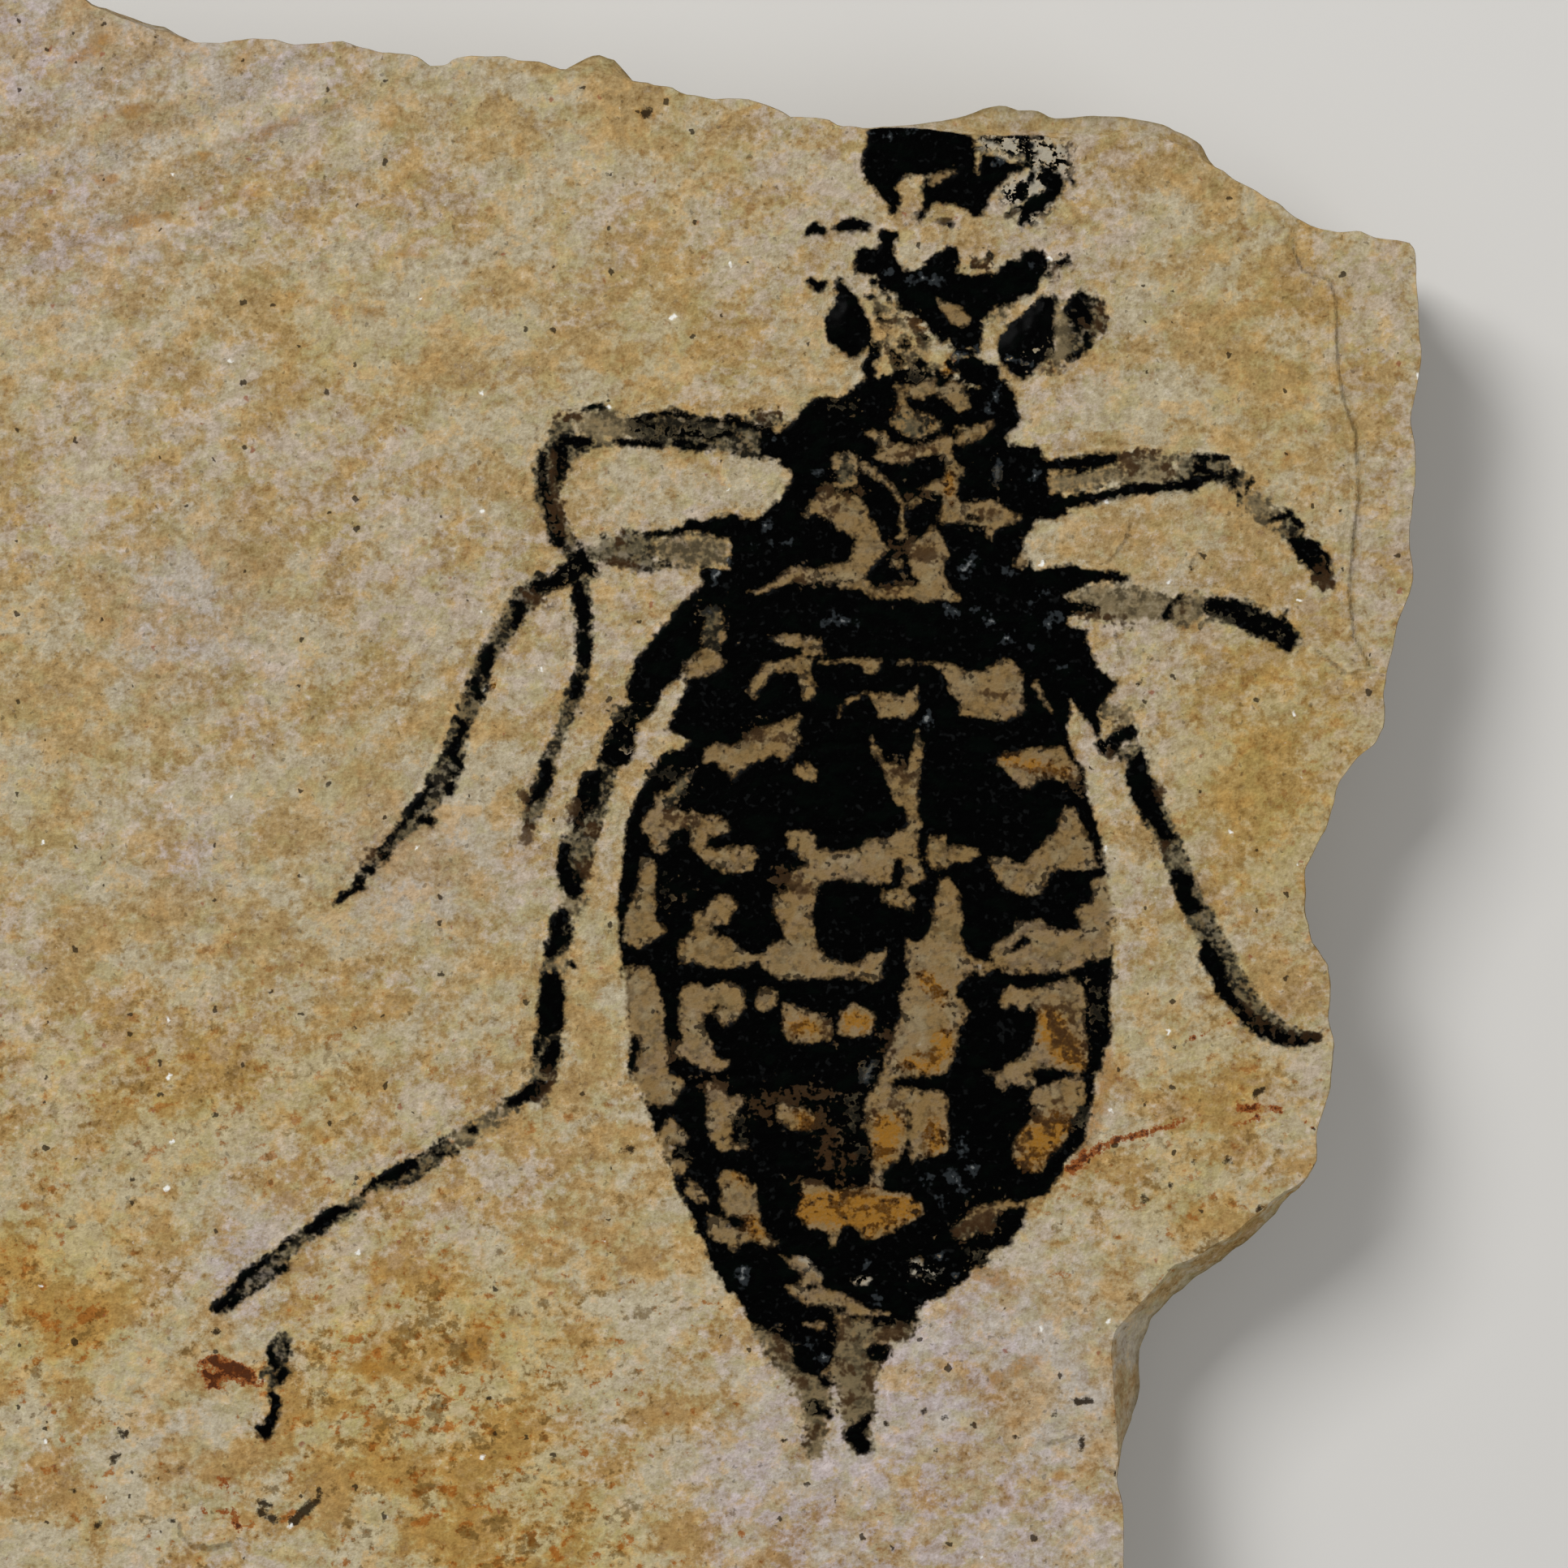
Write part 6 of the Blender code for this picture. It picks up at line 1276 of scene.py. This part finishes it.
# The loose claw: the end of the left hind leg, lying free on the stone past the leg's tip.
CLAW_THIN = [
    [(-14.5, -20.2, 0.6), (-14.8, -20.8, 0.9), (-14.9, -21.5, 0.9), (-15.0, -22.0, 0.7)],
    [(-15.4, -21.7, 0.3), (-15.8, -22.0, 0.2)],
]
CLAW_BLACK = [
    [(-14.5, -20.5, 0.35), (-14.4, -20.8, 0.25)],
    [(-15.2, -20.8, 0.4), (-15.1, -21.2, 0.4), (-14.9, -21.5, 0.3)],
    [(-14.7, -21.6, 0.35), (-14.8, -22.0, 0.35)],
    [(-15.2, -22.5, 0.2), (-14.95, -23.0, 0.45), (-15.0, -23.4, 0.4), (-15.2, -23.9, 0.5),
     (-15.4, -24.25, 0.7), (-15.8, -24.1, 0.3)],
]

# Small marks on the stone itself, in one sheet: rusty cracks, a rusty stain by the claw, dark specks
# and hairlines, the longest along the flake scar.
CRACKS = [
    [(21.8, -11.6, 0.25), (22.9, -11.2, 0.25), (24.7, -10.75, 0.2), (25.4, -10.4, 0.15)],
    [(27.9, -9.9, 0.3), (28.8, -10.0, 0.3), (29.6, -10.0, 0.12)],
    [(28.0, -10.6, 0.15), (28.6, -10.3, 0.15)],
    [(29.3, -10.1, 0.08), (30.1, -10.2, 0.08), (30.8, -10.7, 0.08), (31.2, -10.9, 0.08)],
    [(-17.5, -26.3, 0.1), (-17.2, -26.6, 0.3), (-17.0, -26.8, 0.15)],
    [(-18.5, -28.0, 0.1), (-17.6, -27.8, 0.15), (-16.9, -27.9, 0.25), (-16.7, -28.4, 0.2),
     (-16.5, -28.8, 0.12)], [(25.4, -7.0, 0.08), (26.6, -6.5, 0.1), (27.3, -6.2, 0.08)],
    [(-18.3, -21.2, 0.3), (-17.8, -21.2, 0.7), (-17.2, -21.35, 0.8), (-16.6, -21.6, 0.8),
     (-16.2, -21.9, 0.8), (-15.8, -22.15, 0.5)],
    [(-18.1, -21.6, 0.6), (-17.6, -22.0, 0.8), (-17.9, -22.3, 0.4)],
    [(20.3, -12.6, 0.5), (20.9, -12.2, 0.45), (21.8, -11.6, 0.25)],
]
SPOTS = [
    [(25.65, 13.95, 0.2)], [(23.7, -12.25, 0.2)], [(25.8, -12.3, 0.2)], [(27.3, -12.25, 0.4)],
    [(24.75, -13.45, 0.25)], [(23.6, -14.0, 0.35)], [(28.5, -9.35, 0.3), (28.9, -9.1, 0.25)],
    [(28.7, -14.4, 0.2)], [(1.5, 34.2, 0.5)], [(13.8, -23.4, 0.2)], [(14.7, -23.7, 0.2)],
    [(12.1, -23.9, 0.2)], [(7.6, -24.7, 0.2)], [(17.9, -24.6, 0.2)], [(14.4, -25.1, 0.2)],
    [(0.3, -11.8, 0.15), (0.85, -11.8, 0.2)], [(-12.7, -22.7, 0.25)], [(-7.6, -22.7, 0.2)],
    [(-7.5, -23.2, 0.2)], [(-5.5, -22.8, 0.2)], [(-6.0, -14.0, 0.2)], [(-11.4, -13.4, 0.2)],
    [(-21.9, -24.3, 0.2), (-21.6, -24.5, 0.35)], [(-21.9, -25.3, 0.2), (-22.2, -25.6, 0.35)],
    [(-23.9, -26.9, 0.3)], [(-17.6, -19.8, 0.25), (-17.4, -20.1, 0.15)], [(-18.1, -20.8, 0.2)],
    [(-15.7, -27.4, 0.3), (-15.2, -27.6, 0.2)], [(-15.6, -27.9, 0.35), (-15.0, -28.2, 0.4)],
    [(-14.1, -28.2, 0.45), (-13.7, -27.8, 0.4), (-13.1, -27.4, 0.35), (-13.0, -26.9, 0.15)],
    [(-19.4, -28.2, 0.25)], [(-22.8, -28.4, 0.3)],
    [(20.3, -22.95, 0.08), (21.0, -23.0, 0.3), (21.3, -23.05, 0.1)], [(19.7, -23.65, 0.25)],
    [(17.9, -24.5, 0.2)], [(20.8, -24.7, 0.25), (20.8, -25.1, 0.15)], [(22.3, -26.1, 0.3)],
    [(22.5, -23.8, 0.35)], [(23.8, 9.95, 0.15)], [(23.4, 8.9, 0.25)],
]
FINE_LINES = [
    [(x, y, 0.05) for x, y in FLAKE[1:-1]],
    [(-19.2, -28.4, 0.1), (-19.2, -28.9, 0.1), (-18.6, -29.4, 0.15), (-17.8, -29.5, 0.2),
     (-17.0, -29.3, 0.12)],
    [(19.3, -24.9, 0.12), (19.9, -24.7, 0.15), (20.5, -24.5, 0.1)],
    [(23.0, 16.0, 0.05), (22.8, 15.3, 0.06), (22.3, 14.6, 0.05), (21.9, 14.2, 0.05)],
    [(26.0, 14.8, 0.06), (25.7, 14.2, 0.08)], [(31.2, 10.4, 0.05), (32.6, 9.3, 0.06), (33.9, 9.6, 0.05)],
    [(22.3, 11.2, 0.05), (22.6, 10.0, 0.05)],
]
# Where the film is broken up into crumbs, black and chalky.
CRUMBS = [
    [(16.6, 32.9, 0.7), (18.0, 32.8, 1.3), (19.4, 32.4, 1.4), (20.0, 31.8, 0.8)],
    [(17.6, 30.6, 0.9), (18.7, 31.0, 1.3), (19.5, 31.6, 1.2)], [(18.5, 29.6, 0.8), (19.0, 30.2, 1.0)],
    [(13.4, -17.0, 0.9), (14.4, -17.2, 0.5)], [(8.6, -16.4, 0.9), (10.2, -17.2, 1.2), (12.6, -17.9, 1.0)],
]

# Which skin lies where: outlines and strokes of each piece. A cell of the lattice goes to one piece only.
PIECES = {
    "abdomen": ([ABDOMEN], ABDOMEN_THIN + TAIL),
    "thorax": ([THORAX] + THORAX_ISLANDS,
               THORAX_THIN + THORAX_BROWN[3:] + THORAX_OCHRE[:2] + NECK_SCRAPS[:-1]),
    "head": ([HEAD], HEAD_SKIN + HEAD_STROKES + HEAD_THIN + HEAD_BROWN + NECK_SCRAPS[-1:]),
    "eye_left": ([EYE_LEFT], []),
    "eye_right": ([EYE_RIGHT, EYE_OVAL], EYE_SKIN + EYE_THIN[2:]),
    "labial_mask": ([MASK, MASK_TIP], MASK_STROKES + MASK_BROWN + CRUMBS[:3]),
    "hind_claw": ([], CLAW_THIN + CLAW_BLACK),
    "plate_marks": ([], CRACKS + SPOTS + FINE_LINES),
}
for leg, (areas, lines) in LEG_SKINS.items():
    PIECES[leg] = (areas + LEG_BLACK[leg][0], lines + LEG_BLACK[leg][1])
for line in LEG_BROWN:
    near = {leg: deepest(np.array([line[0][:2]]), *PIECES[leg])[0] for leg in LEG_SKINS}
    PIECES[max(near, key=near.get)][1].append(line)


def gathered(legs):
    """The areas and the lines of all legs, each in one list."""
    return [[mark for marks in kind for mark in marks] for kind in zip(*legs.values())]


# Black film with windows in it, then black film without, then the thin skin.
WINDOWED = [
    ([ABDOMEN, THORAX], [], ABDOMEN_WINDOWS + THORAX_WINDOWS),
    ([HEAD], HEAD_STROKES, HEAD_WINDOWS),
    ([MASK, MASK_TIP], MASK_STROKES, MASK_WINDOWS),
]
LEG_AREAS, LEG_LINES = gathered(LEG_SKINS)
BLACK_AREAS, BLACK_LINES = gathered(LEG_BLACK)
BLACK_AREAS += ABDOMEN_ISLANDS + THORAX_ISLANDS + [EYE_LEFT, EYE_RIGHT]
BLACK_LINES += ABDOMEN_STROKES + THORAX_STROKES + NECK_SCRAPS + CLAW_BLACK + EYE_DARK
# What else the material reads from the mesh, each from strokes alone.
STROKE_FIELDS = {
    "worn": ABDOMEN_THIN + THORAX_THIN + HEAD_THIN + EYE_THIN + LEG_WORN,
    "ochre": ABDOMEN_OCHRE + THORAX_OCHRE + LEG_OCHRE,
    "brown": ABDOMEN_BROWN + THORAX_BROWN + HEAD_BROWN + EYE_BROWN + MASK_BROWN + LEG_BROWN,
    # Where the painted highlights of glints lie on the black.
    "glint": ABDOMEN_GLINTS + THORAX_GLINTS + HEAD_GLINTS + EYE_GLINTS + MASK_GLINTS,
    "crumbs": CRUMBS,
    "stain": STAINS,
    "rust": CRACKS,
    "spot": SPOTS,
    "seam": FINE_LINES,
}

# The joints between the rings of the abdomen: height at its middle line and reach to each side.
RING_JOINTS = [(6.3, 7.6), (2.3, 8.6), (-3.9, 9.3), (-8.1, 8.6), (-12.1, 6.9), (-15.3, 4.8), (-17.7, 3.2)]
RING_GROOVE = 0.06
GROOVE_WIDTH = 0.14
GROOVE_REACH = 1.05
RING_BOW = 0.9
MIDDLE_TOP = (13.2, 6.0)
MIDDLE_TAIL = (10.3, -20.0)


def grooves(places):
    """How deep the ring joints press into the film at each place."""
    depth = np.zeros(len(places))
    for level, reach in RING_JOINTS:
        share = (level - MIDDLE_TOP[1]) / (MIDDLE_TAIL[1] - MIDDLE_TOP[1])
        out = (places[:, 0] - MIDDLE_TOP[0] - (MIDDLE_TAIL[0] - MIDDLE_TOP[0]) * share) / reach
        off = places[:, 1] - level + RING_BOW * out ** 2
        pressed = RING_GROOVE * np.exp(-(off / GROOVE_WIDTH) ** 2)
        depth = np.maximum(depth, pressed * (np.abs(out) < GROOVE_REACH))
    return depth


def film_fields(places):
    """Every number that the film's material reads, at each place."""
    fields = {name: deepest(places, [], lines) for name, lines in STROKE_FIELDS.items()}
    black = deepest(places, BLACK_AREAS, BLACK_LINES)
    for areas, lines, windows in WINDOWED:
        whole = deepest(places, areas, lines)
        black = np.maximum(black, np.minimum(whole, -deepest(places, windows)))
    fields["black"] = np.minimum(black, -deepest(places, [FORELEG_GAP], ABDOMEN_SLITS))
    thin = deepest(places, LEG_AREAS + [EYE_OVAL], LEG_LINES + CLAW_THIN)
    faint = np.minimum(thin, deepest(places, FAINT_AREAS, FAINT_LINES))
    fields["thin"] = np.minimum(thin, -faint - FAINT_EDGE)
    fields["faint"] = np.maximum(faint, deepest(places, [], TAIL + HEAD_SKIN + EYE_SKIN))
    fields["body"] = deepest(places, [ABDOMEN, THORAX, HEAD, MASK])
    fields["warm"] = warmth(places)
    return fields


# Stone bared inside the animal is darker. Thin skin is grey-brown, whole skin is black with a green cast,
# its grey partly the film's own mottling and partly painted sheen; the glint colours are painted
# highlights.
BARED = shade(124, 99, 61)
BARED_PALE = shade(139, 122, 90)
BARED_DARK = shade(94, 74, 44)
FAINT = shade(116, 102, 75)
SKIN = shade(88, 80, 60)
SKIN_DARK = shade(34, 31, 24)
FILM_BLACK = shade(2, 2, 2)
FILM_GREEN = shade(3, 6, 4)
FILM_GREY = shade(18, 19, 19)
FILM_GLINT = shade(44, 48, 50)
FILM_BRIGHT = shade(120, 122, 120)
OCHRE = shade(146, 101, 36)
OCHRE_DARK = shade(88, 55, 16)
TOFFEE = shade(62, 42, 24)
CHALK = shade(168, 160, 142)
FILM_INPUTS = ["Black", "Thin", "Faint", "Worn", "Body", "Ochre", "Brown", "Glint", "Crumbs"]

pressed_film, given, out = new_group(
    "pressed_film", ["Place"], ["Stone"], FILM_INPUTS,
    {"Colour": "Color", "Cover": "Float", "Height": "Float"})
film_place = in_millimetres(given["Place"])
coarse = cloudy(film_place, 1.3)
ragged = cloudy(film_place, 3.6, 1.0)
powder = cloudy(moved(film_place, (3, 8, 0)), 8.0, 1.0)
blobs = cloudy(moved(film_place, (5, 1, 0)), 1.8)
mottle = cloudy(moved(film_place, (9, 4, 2), 0.5, (0.7, 1.2, 1.0)), 1.1, 5.0, 0.62)
crumble = scaled(coarse, 0.45, scaled(ragged, 0.5, -0.475))
crumble = plus(crumble, scaled(powder, 0.16, -0.08))
mottled = plus(mottle, crumble)


def film_mask(name, low, high, unrest=1.0):
    """Where one stored depth passes its edge, made ragged."""
    return step(scaled(crumble, unrest, given[name]), low, high)


in_body = film_mask("Body", -0.15, 0.25)
bared = blend(step(mottled, 0.45, 0.6), BARED, BARED_DARK)
bared = blend(step(coarse, 0.5, 0.66, 0.0, 0.75), bared, BARED_PALE)
colour = blend(times(in_body, 0.85), given["Stone"], bared)
ochre_share = times(film_mask("Ochre", -0.25, 0.25, 2.5), step(powder, 0.3, 0.6, 0.75, 1.0))
colour = blend(ochre_share, colour, blend(step(mottled, 0.48, 0.6), OCHRE, OCHRE_DARK))
halo = times(film_mask("Black", -0.4, 0.25, 4.0), times(in_body, 0.5))
colour = blend(halo, colour, TOFFEE)
skin_tone = blend(step(mottled, 0.35, 0.62), SKIN, SKIN_DARK)
skin_share = sums("MAXIMUM", film_mask("Thin", -0.17, 0.09, 0.9), film_mask("Worn", -0.15, 0.15, 2.0))
patchy = step(scaled(powder, 0.4, ragged), 0.55, 0.8, 0.75, 1.0)
colour = blend(times(skin_share, patchy), colour, skin_tone)
faint_tone = blend(step(mottled, 0.44, 0.66, 0.0, 0.6), FAINT, SKIN_DARK)
colour = blend(times(film_mask("Faint", -0.2, 0.25, 1.6), patchy), colour, faint_tone)
colour = blend(times(film_mask("Brown", -0.25, 0.2, 2.5), 0.85), colour, TOFFEE)
broken = scaled(powder, 0.35, blobs)
in_crumbs = film_mask("Crumbs", -0.3, 0.3, 1.5)
colour = blend(times(in_crumbs, step(broken, 0.66, 0.61, 0.45, 0.95)), colour, CHALK)
# The black: grey patches partly its own mottling and partly painted sheen, glints painted highlights.
black_tone = blend(step(mottle, 0.5, 0.66), FILM_BLACK, FILM_GREEN)
black_tone = blend(times(step(ragged, 0.57, 0.72), step(mottle, 0.56, 0.46)), black_tone, FILM_GREY)
glint_tone = blend(film_mask("Glint", 0.1, 0.2), FILM_GLINT, FILM_BRIGHT)
black_tone = blend(times(film_mask("Glint", -0.1, 0.12, 2.0), 0.9), black_tone, glint_tone)
stipple = times(film_mask("Black", 0.15, 0.35, 5.5), times(in_body, 0.65))
black_share = sums("MAXIMUM", film_mask("Black", -0.15, 0.08, 0.7), stipple)
for name, low, high, unrest, share in (("Worn", 0.1, 0.35, 5.0, 0.75), ("Brown", -0.1, 0.2, 4.0, 0.6)):
    lost = times(film_mask(name, low, high, unrest), share)
    black_share = times(black_share, sums("SUBTRACT", 1.0, lost))
black_share = sums("MAXIMUM", black_share, times(in_crumbs, step(broken, 0.665, 0.7)))
link(blend(black_share, colour, black_tone), out["Colour"])
link(black_share, out["Cover"])
relief = scaled(mottle, 0.8, times(ragged, 0.35))
link(scaled(black_share, 0.25, relief), out["Height"])

FILM_RELIEF = 0.00012
FILM_ROUGH = 0.5
COAT_ROUGH = 0.3
FILM_SHEEN = 0.012
EYE_SHEEN = 0.02
RUST_FRAY = 2800.0


def film_material(name, sheen):
    """Stone with the film over it, the film as glossy as its sheen."""
    made, tree, shader, place = new_material(name)
    shader.inputs["Coat Roughness"].default_value = COAT_ROUGH
    stone = stone_under(tree, place).outputs
    film = put(tree, "ShaderNodeGroup", {"Place": place, "Stone": stone["Colour"]}, node_tree=pressed_film)
    for socket in FILM_INPUTS:
        link(attribute(tree, socket.lower()), film.inputs[socket])
    film = film.outputs
    link(times(film["Cover"], sheen), shader.inputs["Coat Weight"])
    rough = step(film["Cover"], 0.0, 1.0, STONE_ROUGH, FILM_ROUGH)
    feed(shader, film["Colour"], rough, plus(stone["Height"], film["Height"]), FILM_RELIEF)
    return made


carbon_film = film_material("carbon_film", FILM_SHEEN)
eye_film = film_material("eye_film", EYE_SHEEN)

marked_stone, tree, shader, place = new_material("marked_limestone")
stone = stone_under(tree, place)
worked = scaled(cloudy(place, RUST_FRAY, 3.0, 0.7), 1.2, -0.6)
link(step(plus(attribute(tree, "rust"), worked), -0.08, 0.22), stone.inputs["Rust"])
spot = step(scaled(worked, 0.6, attribute(tree, "spot")), -0.06, 0.1, 0.0, 0.95)
seam = step(scaled(worked, 0.25, attribute(tree, "seam")), -0.1, 0.02, 0.0, 0.4)
link(sums("MAXIMUM", spot, seam), stone.inputs["Crack"])
feed(shader, stone.outputs["Colour"], stone.outputs["Roughness"], stone.outputs["Height"], FILM_RELIEF)

# How each sheet of film lies: its edge let into the stone, its top crinkled, the eyes domed.
RIM_INSET = 0.9985
SHEET_REACH = 0.6
EDGE_SUNK = 0.03
EDGE_RISE = 0.045
EDGE_RUN = -0.2
FILM_EDGE = (-0.12, 0.14)
THIN_EDGE = 0.1
THIN_RISE = 0.5
CRINKLE_SIZE = 0.45
CRINKLE = 0.035
EYE_DOME = 0.18
FILM_CREASE = 1.0
STANDS_FOR = {name: name for name in ("eye_left", "eye_right", "labial_mask", "hind_claw")}


def skin_patch(name):
    """One piece of film on the stone: its top as it lies, its edge let into the stone and its back flat."""
    spots = np.array([p[:2] for marks in PIECES[name] for mark in marks for p in mark])
    low, high = spots.min(0) - MARGIN, spots.max(0) + MARGIN
    flat = lattice(low - SHEET_REACH, high + SHEET_REACH, FILM_PITCH)
    places = places_of(flat.verts)
    own = deepest(places, *PIECES[name])
    others = np.full(len(places), -FAR)
    for other, marks in PIECES.items():
        if other != name:
            others = np.maximum(others, deepest(places, *marks))
    keep_cells(flat, own + MARGIN, own - others, depth_in_rim(places))
    border = [v for v in flat.verts if v.is_boundary]
    spots = places_of(border)
    for v, spot, depth in zip(border, onto_rim(spots), depth_in_rim(spots)):
        if depth < FILM_PITCH:
            v.co.x, v.co.y = spot[:2] * RIM_INSET
    piece = closed_below(flat, 1, name)
    corners, plan, ring = read_mesh(piece.data)
    own = deepest(plan, *PIECES[name])
    fields = film_fields(plan)
    skin = (np.maximum(fields["thin"], fields["worn"]) - THIN_EDGE) * THIN_RISE
    film = ease(np.maximum(fields["black"], skin), *FILM_EDGE)
    crinkle = wobble(np.column_stack([plan, np.zeros(len(plan))]), CRINKLE_SIZE, CRINKLE, 1.0)
    rise = -EDGE_SUNK + EDGE_RISE * ease(own, -MARGIN, EDGE_RUN)
    rise += film * (FILM_RISE + crinkle - grooves(plan))
    for eye in (EYE_LEFT, EYE_RIGHT):
        rise += EYE_DOME * np.sin(math.pi / 2 * ease(depth_in(plan, eye), 0.0, 1.0))
    level = bedding(plan)
    corners[:, 2] = np.where(ring > 0, level - FILM_BACK, level + rise)
    set_places(piece.data, corners)
    film_kind = eye_film if name.startswith("eye") else carbon_film
    dress(piece.data, fields, FILM_CREASE, marked_stone if name == "plate_marks" else film_kind)
    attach(piece, "root")
    if name != "plate_marks":
        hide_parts(STANDS_FOR.get(name, "nymph"))


# The stone lies a quarter of a millimetre lower under the film.
UNDER_EDGE = (-0.3, 0.1)
UNDER_RIM = (0.05, 0.4)

cover = np.full(len(plan), -FAR)
for areas, lines in PIECES.values():
    cover = np.maximum(cover, deepest(plan, areas, lines))
sunk = UNDER_FILM * ease(cover, *UNDER_EDGE) * ease(depth_in_rim(plan), *UNDER_RIM)
corners[:, 2] -= np.where(side, 0.0, sunk)
set_places(slab.data, corners)
for name in PIECES:
    skin_patch(name)


# What the photograph is taken with: a plain pale floor, soft light mostly from the upper left, and a
# camera that looks straight down over the middle of the picture.
FLOOR_HALF = 1.5
FLOOR_GREY = shade(214, 212, 208)
FLOOR_ROUGH = 0.8
FLOOR_SHINE = 0.3
SIGHT = (7.6, 4.43)
SIGHT_WIDTH = 69.55
LENS = 100.0
SENSOR = 36.0
NEAREST = 0.01
WORLD_WHITE = (1.0, 1.0, 1.0, 1.0)
WORLD_LIGHT = 0.25

flat = bmesh.new()
bmesh.ops.create_grid(flat, x_segments=1, y_segments=1, size=FLOOR_HALF)
floor = finished(flat, "floor")
pale, tree, shader, place = new_material("pale_floor", FLOOR_ROUGH, FLOOR_SHINE)
shader.inputs["Base Color"].default_value = FLOOR_GREY
floor.data.materials.append(pale)


def soft_light(name, spot, size, power):
    """A square soft light that faces the plate."""
    lamp = bpy.data.lights.new(name, "AREA")
    lamp.size = size
    lamp.energy = power
    made = bpy.data.objects.new(name, lamp)
    bpy.context.scene.collection.objects.link(made)
    made.location = spot
    made.rotation_euler = (-Vector(spot)).to_track_quat("-Z", "Y").to_euler()


soft_light("light_key", (-0.35, 0.35, 0.5), 0.3, 4.0)
soft_light("light_fill", (0.5, -0.2, 0.5), 0.5, 1.4)

world = bpy.data.worlds.new("studio")
bpy.context.scene.world = world
world.use_nodes = True
background = world.node_tree.nodes["Background"]
background.inputs["Color"].default_value = WORLD_WHITE
background.inputs["Strength"].default_value = WORLD_LIGHT

camera = bpy.data.objects.new("camera", bpy.data.cameras.new("camera"))
bpy.context.scene.collection.objects.link(camera)
camera.data.lens = LENS
camera.data.sensor_width = SENSOR
camera.data.clip_start = NEAREST
camera.location = (SIGHT[0] * MM, SIGHT[1] * MM, (PLATE_TOP + SIGHT_WIDTH * LENS / SENSOR) * MM)
bpy.context.scene.camera = camera
bpy.context.scene.view_settings.view_transform = "Standard"
